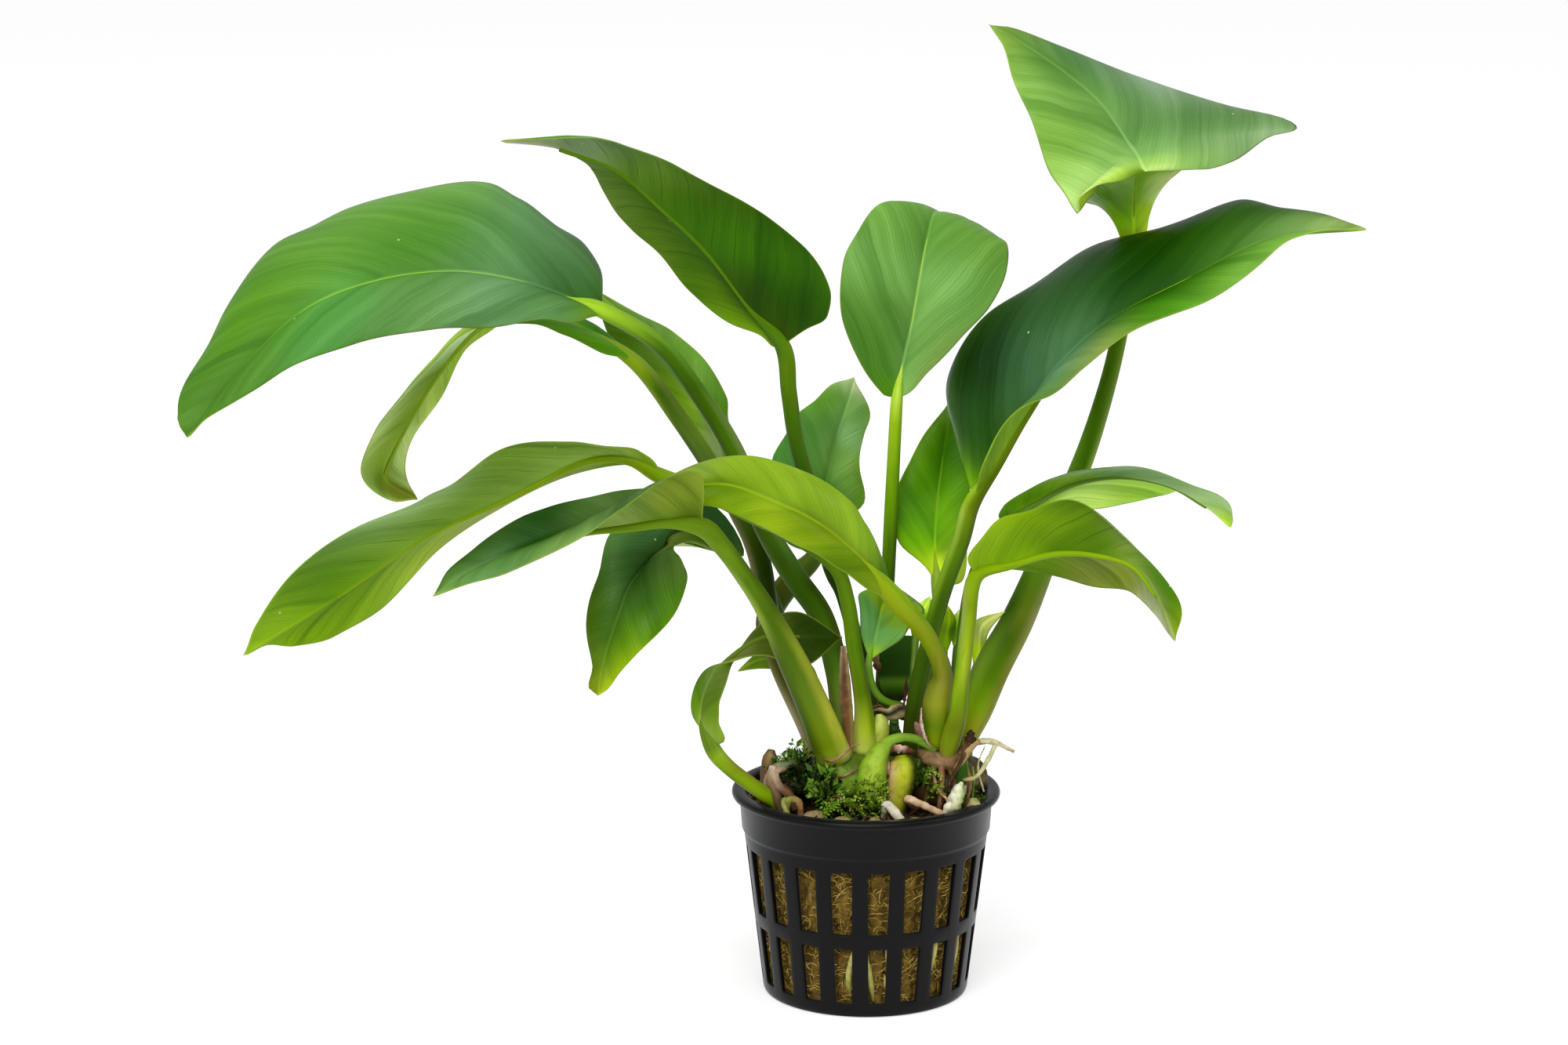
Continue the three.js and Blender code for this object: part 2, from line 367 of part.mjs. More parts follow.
// A round or oval bar along a list of centres, with a flat cap on each end
function bar(centres, radii, sides, flat = 1) {
  const positions = [];
  const triangles = [];
  const depthWay = new THREE.Vector3(0, 1, 0);
  centres.forEach((centre, i) => {
    const ahead = centres[Math.min(i + 1, centres.length - 1)];
    const behind = centres[Math.max(i - 1, 0)];
    const tangent = ahead.clone().sub(behind).normalize();
    const across = tangent.clone().cross(depthWay).normalize();
    const deep = across.clone().cross(tangent);
    for (let k = 0; k < sides; k++) {
      const angle = (2 * Math.PI * k) / sides;
      const p = centre.clone()
        .addScaledVector(across, radii[i] * Math.cos(angle))
        .addScaledVector(deep, radii[i] * flat * Math.sin(angle));
      positions.push(p.x, p.y, p.z);
    }
  });
  for (let i = 0; i + 1 < centres.length; i++) {
    for (let k = 0; k < sides; k++) {
      const a = i * sides + k;
      const b = i * sides + ((k + 1) % sides);
      triangles.push(a, a + sides, b, b, a + sides, b + sides);
    }
  }
  const last = (centres.length - 1) * sides;
  for (let k = 1; k + 1 < sides; k++) {
    triangles.push(0, k, k + 1);
    triangles.push(last, last + k + 1, last + k);
  }
  return meshFrom(positions, triangles);
}

function ringsAlong(run) {
  const centres = smoothCurve(run.points).getPoints(run.rings - 1);
  const radii = centres.map((_, i) => valueAlong(run.radii, i / (run.rings - 1)));
  return { centres, radii, sides: run.sides ?? ROOT_SIDES };
}

// The same rings, wider and longer by the gap: what a piece needs cut out of its neighbours
function grown(rings) {
  const beyond = (end, inner) => end.clone().addScaledVector(end.clone().sub(inner).normalize(), GAP);
  const { centres } = rings;
  const first = beyond(centres[0], centres[1]);
  const last = beyond(centres.at(-1), centres.at(-2));
  const wider = rings.radii.map((r) => r + GAP);
  return { ...rings, centres: [first, ...centres.slice(1, -1), last], radii: wider };
}

function barSolid({ centres, radii, sides, flat }) {
  return toSolid(bar(centres, radii, sides, flat));
}

// The blade's middle surface: rows from base to tip, columns from the left margin to the right one
function bladeSurface({ rib, left, right, crown = 0 }, rows, columns, openEnd = false) {
  const ribCurve = smoothCurve(rib);
  const leftCurve = smoothCurve(left);
  const rightCurve = smoothCurve(right);
  const positions = [];
  const grid = [];
  for (let i = 0; i <= rows; i++) {
    const s = i / rows;
    const middle = ribCurve.getPoint(s);
    const margins = [leftCurve.getPoint(s), rightCurve.getPoint(s)];
    const up = ribCurve.getTangent(s).cross(margins[0].clone().sub(margins[1])).normalize();
    const pinched = i === 0 || (i === rows && !openEnd);
    const row = [];
    for (let k = -columns; k <= columns; k++) {
      if (!pinched || k === -columns) {
        const part = Math.abs(k) / columns;
        const margin = margins[k < 0 ? 0 : 1];
        const rise = crown * margin.distanceTo(middle) * 4 * part * (1 - part);
        const p = pinched ? middle : middle.clone().lerp(margin, part).addScaledVector(up, rise);
        positions.push(p.x, p.y, p.z);
      }
      row.push(positions.length / 3 - 1);
    }
    grid.push(row);
  }
  const triangles = [];
  for (let i = 0; i < rows; i++) {
    for (let k = 0; k < 2 * columns; k++) {
      const [a, b, c, d] = [grid[i][k], grid[i][k + 1], grid[i + 1][k], grid[i + 1][k + 1]];
      const corners = k < columns ? [[a, b, d], [a, d, c]] : [[a, b, c], [b, d, c]];
      for (const [p, q, r] of corners) {
        if (p !== q && q !== r && p !== r) {
          triangles.push(p, q, r);
        }
      }
    }
  }
  return meshFrom(positions, triangles);
}

// Gives a surface its thickness: the same triangles on both faces, and a wall round its open edge
function thicken(surface, thickness) {
  surface.computeVertexNormals();
  const place = surface.getAttribute('position');
  const normal = surface.getAttribute('normal');
  const index = surface.getIndex().array;
  const count = place.count;
  const positions = [];
  for (const side of [0.5, -0.5]) {
    for (let i = 0; i < count; i++) {
      positions.push(
        place.getX(i) + side * thickness * normal.getX(i),
        place.getY(i) + side * thickness * normal.getY(i),
        place.getZ(i) + side * thickness * normal.getZ(i),
      );
    }
  }
  const triangles = [];
  const open = new Map();
  for (let i = 0; i < index.length; i += 3) {
    const corners = [index[i], index[i + 1], index[i + 2]];
    triangles.push(...corners);
    triangles.push(corners[0] + count, corners[2] + count, corners[1] + count);
    corners.forEach((a, k) => {
      const b = corners[(k + 1) % 3];
      if (!open.delete(`${b},${a}`)) {
        open.set(`${a},${b}`, [a, b]);
      }
    });
  }
  for (const [a, b] of open.values()) {
    triangles.push(b, a, a + count, b, a + count, b + count);
  }
  return meshFrom(positions, triangles);
}

function toSolid(geometry) {
  const plain = geometry.clone();
  for (const key of Object.keys(plain.attributes)) {
    if (key !== 'position') {
      plain.deleteAttribute(key);
    }
  }
  const merged = mergeVertices(plain, 1e-4);
  return new wasm.Manifold(new wasm.Mesh({
    numProp: 3,
    vertProperties: Float32Array.from(merged.getAttribute('position').array),
    triVerts: Uint32Array.from(merged.getIndex().array),
  }));
}

function fromSolid(solid) {
  const mesh = solid.getMesh();
  const geometry = new THREE.BufferGeometry();
  geometry.setAttribute('position', new THREE.BufferAttribute(Float32Array.from(mesh.vertProperties), 3));
  geometry.setIndex(Array.from(mesh.triVerts));
  geometry.computeVertexNormals();
  return geometry;
}

function join(solids) {
  return solids.reduce((whole, next) => whole.add(next));
}

function largestBody(solid) {
  return solid.decompose().sort((a, b) => b.volume() - a.volume())[0];
}

function cutAll(solid, tools) {
  return tools.reduce((rest, tool) => rest.subtract(tool), solid);
}

function node(name, solid, look) {
  const mesh = new THREE.Mesh(fromSolid(solid), new THREE.MeshStandardMaterial({ ...look, name }));
  mesh.name = name;
  return mesh;
}

// The net pot: a turned shell whose wall and floor are cut through by slots

function slotCutter(row) {
  const outline = new THREE.Shape();
  outline.moveTo(-row.bottomWidth / 2, row.bottom);
  outline.lineTo(row.bottomWidth / 2, row.bottom);
  outline.lineTo(row.topWidth / 2, row.top);
  outline.lineTo(-row.topWidth / 2, row.top);
  const cutter = new THREE.ExtrudeGeometry(outline, { depth: SLOT_DEPTH, bevelEnabled: false });
  cutter.translate(0, 0, SLOT_INNER_R);
  cutter.rotateX(Math.PI / 2);
  return cutter;
}

function netPot() {
  const innerLow = POT_BODY_R_LOW - POT_WALL;
  const innerHigh = COLLAR_R_HIGH - POT_WALL;
  const profile = [
    [0, 0], [POT_FOOT_R - FOOT_CHAMFER, 0], [POT_FOOT_R, FOOT_CHAMFER],
    [POT_BODY_R_HIGH, COLLAR_Z - LIP_ROUNDING], [COLLAR_R_LOW, COLLAR_Z],
    [COLLAR_R_HIGH, POT_HEIGHT - LIP_THICKNESS], [LIP_R - LIP_ROUNDING, POT_HEIGHT - LIP_THICKNESS],
    [LIP_R, POT_HEIGHT - LIP_THICKNESS / 2], [LIP_R - LIP_ROUNDING, POT_HEIGHT],
    [innerHigh + LIP_ROUNDING, POT_HEIGHT], [innerHigh, POT_HEIGHT - LIP_THICKNESS],
    [innerLow, FLOOR_THICKNESS], [0, FLOOR_THICKNESS],
  ];
  const points = profile.map(([r, z]) => new THREE.Vector2(r, z));
  const shell = new THREE.LatheGeometry(points, POT_FACETS);
  shell.rotateX(Math.PI / 2);
  const cutters = [];
  for (let i = 0; i < SLOTS_AROUND; i++) {
    for (const row of SLOT_ROWS) {
      const cutter = slotCutter(row);
      cutter.rotateZ(THREE.MathUtils.degToRad(SLOT_START_DEG + (360 / SLOTS_AROUND) * i));
      cutters.push(toSolid(cutter));
    }
  }
  for (let i = 0; i < FLOOR_SLOTS; i++) {
    const length = FLOOR_SLOT_OUTER_R - FLOOR_SLOT_INNER_R;
    const cutter = new THREE.BoxGeometry(length, FLOOR_SLOT_WIDTH, 4 * FLOOR_THICKNESS);
    cutter.translate(FLOOR_SLOT_INNER_R + length / 2, 0, 0);
    cutter.rotateZ((2 * Math.PI * i) / FLOOR_SLOTS);
    cutters.push(toSolid(cutter));
  }
  return node('net_pot', cutAll(toSolid(shell), cutters), BLACK_PLASTIC);
}

// The plant's pieces

// Rings from the stem's seat, up the stem and on along the underside of the blade's rib
function leafRings(leaf) {
  const sheet = leaf.funnel ?? leaf;
  const size = leaf.small ? SMALL_LEAF : LARGE_LEAF;
  const ribSteps = Math.min(size.ribSteps, sheet.rib.length - 2);
  const route = vectors(leaf.stem);
  const stemSteps = leaf.stem.length - 1;
  const [rib, left, right] = [vectors(sheet.rib), vectors(sheet.left), vectors(sheet.right)];
  for (let i = 1; i <= ribSteps; i++) {
    const ahead = rib[i + 1].clone().sub(rib[i - 1]);
    const below = ahead.cross(left[i].clone().sub(right[i])).normalize().multiplyScalar(-RIB_DROP);
    route.push(rib[i].clone().add(below));
  }
  const steps = route.length - 1;
  const curve = new THREE.CatmullRomCurve3(route, false, 'catmullrom', 0.5);
  const centres = [];
  const radii = [];
  for (let i = 0; i <= steps; i++) {
    const u = i / steps;
    centres.push(curve.getPoint(u));
    const stemRadius = valueAlong(leaf.radii, Math.min(1, i / stemSteps));
    const taper = Math.max(0, i - stemSteps) / ribSteps;
    radii.push(THREE.MathUtils.lerp(stemRadius, RIB_TIP_R, taper));
  }
  return { centres, radii, sides: size.stemSides, flat: leaf.flat ?? 1 };
}

function leafSolid(leaf) {
  const { rows, columns } = leaf.small ? SMALL_LEAF : LARGE_LEAF;
  const pieces = [barSolid(leafRings(leaf))];
  pieces.push(toSolid(thicken(bladeSurface(leaf, rows, columns), BLADE_THICKNESS)));
  if (leaf.funnel) {
    const funnel = bladeSurface(leaf.funnel, FUNNEL.rows, FUNNEL.columns, true);
    pieces.push(toSolid(thicken(funnel, BLADE_THICKNESS)));
  }
  return largestBody(join(pieces));
}

// The hole that a stem stands in: the part of its rings that is inside the wool or the rhizome
function seatOf(leaf) {
  const { centres, radii, sides, flat } = leafRings(leaf);
  const above = centres.findIndex((p) => p.z > SEAT_TOP_Z);
  const count = above < 0 ? centres.length : above + 1;
  return barSolid(grown({ centres: centres.slice(0, count), radii: radii.slice(0, count), sides, flat }));
}

// The plug follows the pot's inner wall and rises to a low crown in the middle
function woolPlug(seats) {
  const wallSlope = (COLLAR_R_HIGH - POT_BODY_R_LOW) / (POT_HEIGHT - FLOOR_THICKNESS);
  const radiusAt = (z) => {
    return POT_BODY_R_LOW + wallSlope * (z - FLOOR_THICKNESS) - POT_WALL - WOOL_WALL_GAP;
  };
  const low = FLOOR_THICKNESS + GAP;
  const profile = [[0, low], [radiusAt(low), low], [radiusAt(WOOL_EDGE_Z), WOOL_EDGE_Z]];
  for (let i = 1; i <= WOOL_DOME_STEPS; i++) {
    const part = i / WOOL_DOME_STEPS;
    const rise = (WOOL_CROWN_Z - WOOL_EDGE_Z) * Math.sin((part * Math.PI) / 2);
    profile.push([radiusAt(WOOL_EDGE_Z) * (1 - part), WOOL_EDGE_Z + rise]);
  }
  const points = profile.map(([r, z]) => new THREE.Vector2(r, z));
  const plug = new THREE.LatheGeometry(points, WOOL_FACETS);
  plug.rotateX(Math.PI / 2);
  return node('wool_plug', cutAll(toSolid(plug), seats), WOOL);
}

function grainSolid(grain, extra = 0) {
  const ball = new THREE.SphereGeometry(1, 7, 5);
  ball.scale(...grain.size.map((s) => s + extra));
  ball.rotateZ(grain.turn);
  ball.translate(...grain.at);
  return toSolid(ball);
}

function shootSolid(shoot) {
  const pieces = [barSolid(ringsAlong(shoot))];
  if (shoot.branch) {
    pieces.push(barSolid(ringsAlong(shoot.branch)));
  }
  return join(pieces);
}

const part = new THREE.Group();
part.name = 'potted_plant';
const plant = new THREE.Group();
part.add(netPot());

const stemSeats = LEAVES.map(seatOf);
const shootSeats = SHOOTS.map((shoot) => barSolid(grown(ringsAlong(shoot))));
const grainSeats = GRAINS.map((grain) => grainSolid(grain, GAP));

const rhizomeWhole = join(RHIZOME_RUNS.map((run) => barSolid(ringsAlong(run))));
const rhizomeSeat = join(RHIZOME_RUNS.map((run) => barSolid(grown(ringsAlong(run)))));
plant.add(node('rhizome', cutAll(rhizomeWhole, [...stemSeats, ...shootSeats]), RHIZOME_GREEN));
plant.add(woolPlug([rhizomeSeat, ...stemSeats, ...shootSeats, ...grainSeats]));

for (const leaf of LEAVES) {
  plant.add(node(leaf.name, leafSolid(leaf), leaf.look));
}
for (const shoot of SHOOTS) {
  plant.add(node(shoot.name, shootSolid(shoot), shoot.look));
}
GRAINS.forEach((grain, i) => {
  plant.add(node(`grain_${i + 1}`, grainSolid(grain), GRAIN_TAN));
});
part.add(plant);

export default part;
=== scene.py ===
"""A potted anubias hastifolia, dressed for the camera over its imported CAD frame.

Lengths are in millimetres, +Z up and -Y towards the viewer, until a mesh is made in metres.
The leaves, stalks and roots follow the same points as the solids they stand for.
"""

import math

import bpy
import numpy as np
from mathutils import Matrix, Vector, noise


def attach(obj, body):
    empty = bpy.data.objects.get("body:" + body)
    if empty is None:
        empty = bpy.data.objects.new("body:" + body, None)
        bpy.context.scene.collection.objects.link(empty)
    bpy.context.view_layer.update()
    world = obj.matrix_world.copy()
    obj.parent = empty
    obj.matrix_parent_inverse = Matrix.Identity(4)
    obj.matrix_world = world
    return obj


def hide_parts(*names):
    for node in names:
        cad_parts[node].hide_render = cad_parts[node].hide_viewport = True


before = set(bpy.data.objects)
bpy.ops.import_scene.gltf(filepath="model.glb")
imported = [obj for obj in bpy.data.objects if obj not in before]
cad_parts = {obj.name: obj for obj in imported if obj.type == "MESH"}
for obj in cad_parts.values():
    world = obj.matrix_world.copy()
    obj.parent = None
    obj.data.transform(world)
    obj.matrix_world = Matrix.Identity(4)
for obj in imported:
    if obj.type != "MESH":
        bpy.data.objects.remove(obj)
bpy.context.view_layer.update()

MM = 0.001

# Net pot
POT_HEIGHT = 42
FOOT_R = 20.7
FOOT_CHAMFER = 0.9
BODY_R_LOW = 21.05
BODY_R_HIGH = 24.55
WALL = 1.1
COLLAR_Z = 34
COLLAR_R_LOW = 25
COLLAR_R_HIGH = 25.4
LIP_R = 27
LIP_THICKNESS = 1.7
LIP_ROUNDING = 0.5
FLOOR_THICKNESS = 1.4
FLOOR_DISC_R = 19
SLOTS_AROUND = 20
SLOT_START_DEG = 5.2
SLOT_ROWS = [
    dict(bottom=2.9, top=14.6, bottom_width=3.3, top_width=3.8),
    dict(bottom=17.6, top=30.8, bottom_width=3.85, top_width=4.45),
]
FLOOR_SLOTS = 6
FLOOR_SLOT_INNER_R = 7
FLOOR_SLOT_OUTER_R = 16
FLOOR_SLOT_WIDTH = 4.5
ROUND_OFF = 1e-6

# Mineral wool plug
WOOL_FOOT_Z = 1.7
WOOL_EDGE_Z = 39.4
WOOL_CROWN_Z = 43
WOOL_R_FOOT = 19.25
WOOL_SLOPE = 0.10714
WOOL_FIBRES = 4400
LOOSE_ROOTLETS = 420

# Leaves
BLADE_THICKNESS = 0.5
RIB_END_R = 0.3
SIDE_VEIN_STEP = 7
VEIN_SWEEP = 1.5
LIGHT_GAIN = 1.5
STALK_SIDES = 28
BLADE_COLUMNS = [0, 0.025, 0.06, 0.12, 0.2, 0.3, 0.42, 0.54, 0.66, 0.77, 0.86, 0.93, 0.975, 1]

# Studio, in metres and degrees
FLOOR_HALF = 8.0
FLOOR_GLOW = 1.18
GLOW_SHARE = 0.38
CAMERA_AT = (-0.01649, -0.8454, 0.2791)
CAMERA_DOWN = 12.2
LENS_MM = 100
SENSOR_MM = 36

# Each leaf: its stalk from the wool to the blade, the blade's midrib and its two margins, point for
# point, and its colours, which were read off the photograph and then adjusted: upper and under
# faces at (along, across), stalk from foot to top as one shade or as left, middle and right
# The colours keep the light they were seen in: painted sheen and highlights, painted shade, and lit and
# shaded stalk sides. A leaf's gain and contrast brighten and deepen that painted light and shade.
LEAVES = dict(
    leaf_left_large=dict(
        slot="leaf_green", radii=[2.2, 2.3, 2.4, 2.4, 2.4, 2.2, 2, 1.8, 1.7, 1.6], crown=0.1,
        contrast=1.35, lift=1.06, stalk_painted_light_gain=1.4,
        stem=[(-4, 4, 42), (-5, 4, 57.5), (-6, 5, 65.5), (-9, 5, 76), (-14.5, 4, 84.5),
            (-20.5, 2, 95.5), (-26.5, 0, 111), (-33.5, -2, 123), (-41, -4, 133), (-52, -6, 140)],
        rib=[(-52, -6, 140), (-58.5, -8, 143), (-69, -11, 147), (-81, -14, 149), (-94.5, -19, 148),
            (-107.5, -25, 143.5), (-119, -31, 133), (-129.5, -36, 120.5)],
        left=[(-52, -6, 140), (-57.5, -12, 140), (-68.5, -18, 140), (-81.5, -24, 139.5),
            (-95.5, -29, 137.5), (-110, -34, 132.5), (-122.5, -37, 125.5), (-129.5, -36, 120.5)],
        right=[(-52, -6, 140), (-52.5, 4, 147), (-62.5, 9, 157), (-78, 9, 163), (-98, 4, 159.5),
            (-115.5, -5, 151.5), (-127, -20, 135.5), (-129.5, -36, 120.5)],
        left_trim=[(0.05, 0, -1), (0.15, 0, -1.4), (0.22, 0, -0.3), (0.33, 0, -1), (0.45, 0, 0.1),
            (0.6, -0.2, 0.5), (0.7, -0.4, 1), (0.78, -0.2, 0.4), (0.9, -0.4, 0.6), (1, 0, 0)],
        right_trim=[(0, 0, 0), (0.1, -0.5, 0), (0.2, -0.3, -0.1), (0.27, -0.9, -1.4),
            (0.35, -0.3, -0.8), (0.4, 0, 0.2), (0.5, 0, -0.2), (0.6, -0.2, 0.4), (0.65, -0.1, 0.1),
            (0.71, -0.7, 0.9), (0.8, -0.4, 0.3), (0.85, -0.2, 0.1), (0.95, -2.8, 0.5),
            (0.985, -2.3, 1.3), (1, 0, 0)],
        upper=[(0.05, -0.5, "6a9a24"), (0.05, 0.5, "3c6e10"), (0.12, 0.1, "3c7030"),
            (0.2, -0.5, "5c9048"), (0.2, 0.5, "4c7a3a"), (0.35, -0.5, "649450"), (0.35, 0.5, "588c46"),
            (0.5, -0.5, "5c8e40"), (0.5, 0.4, "44801c"), (0.5, 0.9, "6a9f40"), (0.65, -0.4, "50903a"),
            (0.65, 0.5, "5a9030"), (0.8, -0.4, "4c8220"), (0.8, 0.4, "50881c"), (0.93, 0, "4c7e24")],
        under=[(0.1, 0, "789e2c"), (0.6, 0, "6d8c22")],
        stalk=[(0, "6a7a20", "8a9a3c", "7a8a30"), (0.22, "4a6a10", "5f8a1c", "5a7018"),
            (0.41, "385c00", "3f6401", "304b02"), (0.5, "405d05", "3b5f02", "537729"),
            (0.69, "2f4900", "406500", "687f3b"), (0.79, "324c00", "345500", "446c0b"),
            (0.88, "335b00", "3f6804", "5f8d25"), (1, "7aa41c", "9cc42c", "8ab428")],
    ),
    leaf_left_drooping=dict(
        slot="leaf_green", radii=[2.3, 2.3, 2.2, 2.2, 2.1, 1.9, 1.8, 1.6], crown=0.1, contrast=1.35,
        lift=2.5, stalk_painted_light_gain=1.1,
        stem=[(-10, 8, 40), (-10.4, 9, 49), (-18, 12, 66.5), (-21.4, 14, 85.5), (-25.4, 15, 95),
            (-31.2, 16, 104.5), (-37.6, 17, 114), (-46, 18, 125)],
        rib=[(-45.5, 18, 125.5), (-56, 19, 132), (-67, 21, 134.5), (-77.5, 23, 132.5),
            (-86.5, 26, 122.5), (-94, 28, 110), (-98.5, 29, 100), (-91.5, 28, 95)],
        left=[(-45.5, 18, 125.5), (-55.5, 12, 131.5), (-66.5, 11, 134.5), (-79, 13, 133.5),
            (-90.5, 18, 121.5), (-99, 22, 109.5), (-102.5, 25, 100.5), (-91.5, 28, 95)],
        right=[(-45.5, 18, 125.5), (-55.5, 25, 132), (-66, 29, 134), (-75, 32, 132.5),
            (-82.5, 33, 122.5), (-89, 33, 111), (-94, 32, 100.5), (-91.5, 28, 95)],
        left_trim=[(0, 0, 0), (0.1, -0.8, -1.7), (0.2, -0.3, -1.1), (0.28, 0, -0.3), (0.38, 0.2, -1.1),
            (0.5, 0.2, -0.3), (0.6, -0.3, 0.2), (0.7, -0.9, 0.6), (0.83, -0.1, 0), (0.95, -0.6, -1.9),
            (1, 0, 0)],
        right_trim=[(0.35, 0, 0), (0.45, 1, -1.1), (0.55, -0.7, 0.4), (0.65, 0, 0), (0.77, -1.2, 0.6),
            (0.9, 0, 0)],
        upper=[(0.06, -0.5, "407002"), (0.06, 0.5, "2c6000"), (0.2, -0.6, "4c7a04"),
            (0.35, 0, "7c9e1a")],
        under=[(0.45, -0.6, "94ac70"), (0.5, 0.8, "708d18"), (0.65, -0.8, "8ea25d"),
            (0.65, -0.2, "567212"), (0.65, 0.6, "7e963a"), (0.8, -0.8, "7e9446"), (0.8, -0.1, "65801c"),
            (0.8, 0.6, "8fa458"), (0.95, 0, "5a6414")],
        stalk=[(0, "6a6230", "5c5a24", "44441c"), (0.16, "a89c78", "857f40", "7c8248"),
            (0.2, "b0a880", "787632", "4f5110"), (0.27, "6a6824", "4e5002", "4c5316"),
            (0.41, "6e6c40", "264300", "1f4000"), (0.46, "656334", "2e4500", "304104"),
            (0.8, "3a5903", "5c7b27", "709121"), (0.93, "789712", "436d02", "627a2a"),
            (1, "8aa81c", "97b819", "8aa82c")],
    ),
    leaf_back_left=dict(
        slot="leaf_dark", radii=[1.6, 1.6, 1.4], crown=0.1, contrast=1.15, lift=1.4,
        stem=[(-4, 14.5, 40), (-10, 17.5, 54), (-16.5, 20, 68.5), (-22, 23, 86), (-26.5, 26, 101.5)],
        rib=[(-26.5, 26, 101.5), (-30, 28, 107.5), (-34.5, 30, 115.5), (-40, 33, 123), (-46.5, 36, 130),
            (-56.5, 39, 137.5)],
        left=[(-26.5, 26, 101.5), (-33, 28, 106), (-38.5, 31, 113.5), (-44.5, 34, 120.5),
            (-51, 37, 128), (-56.5, 39, 137.5)],
        right=[(-26.5, 26, 101.5), (-26.5, 26, 108), (-28.5, 28, 116.5), (-34.5, 31, 125),
            (-43, 35, 131.5), (-56.5, 39, 137.5)],
        left_trim=[(0, 0, 0), (0.2, -0.9, -0.9), (0.35, -0.5, -0.3), (0.55, -0.5, -0.4),
            (0.75, -1.4, -1.1), (1, 0, 0)],
        right_trim=[(0, 0, 0), (0.1, -0.6, 0), (0.3, -0.7, 0), (0.4, 0.3, 0.1), (0.55, 0.4, 0.4),
            (0.72, 0, 0), (0.85, -0.3, -0.7), (1, 0, 0)],
        upper=[(0.2, 0, "78904a"), (0.35, -0.5, "769c20"), (0.35, 0.85, "518111"),
            (0.5, -0.5, "537806"), (0.5, 0.85, "62902d"), (0.65, -0.5, "496c16"), (0.65, 0.5, "5f8a27"),
            (0.8, -0.8, "3f6003"), (0.8, 0.5, "587c30"), (0.95, 0.3, "678c29")],
        under=[(0.5, 0, "4f7a1e")],
        stalk=[(0, "9aa83c"), (0.15, "6f8f2c"), (0.6, "4a7318"), (1, "6d9a34")],
    ),
    leaf_upper_left=dict(
        slot="leaf_dark", radii=[1.8, 1.7, 1.6, 1.5, 1.5, 1.6, 1.6, 1.6, 1.6], crown=0.1, rib_r=0.4,
        contrast=1.35, lift=1.1, stalk_painted_light_gain=1.25,
        stem=[(1.5, 9, 41), (1, 9, 56.5), (-1.4, 10, 67.5), (-4.5, 10, 79), (-7.3, 9, 85.5),
            (-11.3, 6, 101.5), (-14.1, 3, 112.5), (-15.5, 0, 122.5), (-16.8, -3, 132.5)],
        rib=[(-16.8, -3, 132.5), (-23.5, -7, 141), (-31.5, -12, 152.5), (-40, -16, 161.5),
            (-48.5, -20, 169.5), (-59, -23, 174), (-70, -25, 175.5)],
        left=[(-16.8, -3, 132.5), (-8.5, -8, 138), (-9, -13, 147.5), (-20, -19, 159),
            (-34.5, -24, 167.5), (-50.5, -27, 175.5), (-70, -25, 175.5)],
        right=[(-16.8, -3, 132.5), (-22, -4, 135.5), (-33.5, -5, 143), (-40.5, -8, 151.5),
            (-47.5, -12, 159.5), (-54.5, -18, 170.5), (-70, -25, 175.5)],
        left_trim=[(0, 0, 0), (0.1, -0.5, 0.9), (0.2, -0.1, 0), (0.3, 0.4, 0.2), (0.42, 0.9, 0.9),
            (0.6, 0.7, 1.2), (0.7, 0.8, 1.5), (0.8, 0.2, 0.5), (0.95, 0, 0.1)],
        right_trim=[(0, 0, 0), (0.05, -0.5, -1), (0.15, -0.1, -0.3), (0.24, -0.7, -1.1),
            (0.35, -0.3, -0.3), (0.5, -0.1, -0.1), (0.62, -0.5, -0.4), (0.75, -0.8, -0.5), (0.84, 0, 0),
            (0.91, 0.2, 0.7), (1, 0, 0)],
        upper=[(0.3, 0, "2f5f1c"), (0.8, 0, "4a7f22")],
        under=[(0.06, 0, "3e5a00"), (0.2, -0.5, "305c00"), (0.2, 0.2, "325404"), (0.2, 0.85, "6c980c"),
            (0.35, -0.5, "407402"), (0.35, 0.5, "447008"), (0.5, -0.5, "427002"), (0.5, 0.5, "426c0a"),
            (0.5, 0.85, "5a7c18"), (0.65, -0.5, "58801a"), (0.65, 0.5, "54781c"), (0.8, -0.2, "67863e"),
            (0.8, 0.8, "607e28"), (0.95, 0, "8ea056")],
        stalk=[(0, "6a7a1c", "5a7014", "4a5a14"), (0.375, "2f4a08", "2a4a04", "20380a"),
            (0.68, "2d5400", "355d03", "46690f"), (0.81, "466c04", "466f03", "4d740f"),
            (0.95, "527604", "5a7b04", "5f7f09"), (1, "466c04", "4f7a08", "5f860c")],
    ),
    leaf_front_arching=dict(
        slot="leaf_bright", radii=[0.7, 1.5, 2.35, 2.85, 2.6, 2, 1.85, 1.8, 2.1], crown=0.12,
        contrast=1.15, lift=0.98, stalk_painted_light_gain=1.4,
        stem=[(13.5, -9, 50.4), (13.5, -9.6, 53.5), (13.5, -10.2, 57.2), (13.7, -10.8, 61.4),
            (14.1, -11.4, 64.6), (14.8, -12.4, 68), (13.8, -14.6, 72.4), (10.6, -18, 78.8),
            (5, -22, 86)],
        rib=[(5, -22, 86), (-1.5, -27, 95), (-9.5, -30, 102.5), (-18.5, -32, 107.5), (-28.5, -33, 111),
            (-39, -34, 109), (-50, -34, 103.5)],
        left=[(5, -22, 86), (-3.5, -29, 90), (-12, -33, 97.5), (-21, -34.5, 103), (-30.5, -35, 107),
            (-40.5, -35.5, 106.5), (-50, -34, 103.5)],
        right=[(5, -22, 86), (3.5, -23, 96), (-2.5, -25, 105.5), (-12, -26, 111.5), (-24, -28, 115.5),
            (-36.5, -31, 113), (-50, -34, 103.5)],
        left_trim=[(0.05, 0, 0), (0.2, 0.9, 1.3), (0.27, 0.7, 0.8), (0.4, 0, 0)],
        right_trim=[(0, 0, 0), (0.06, -0.9, -0.2), (0.16, -1.4, -0.6), (0.27, -1, -0.8),
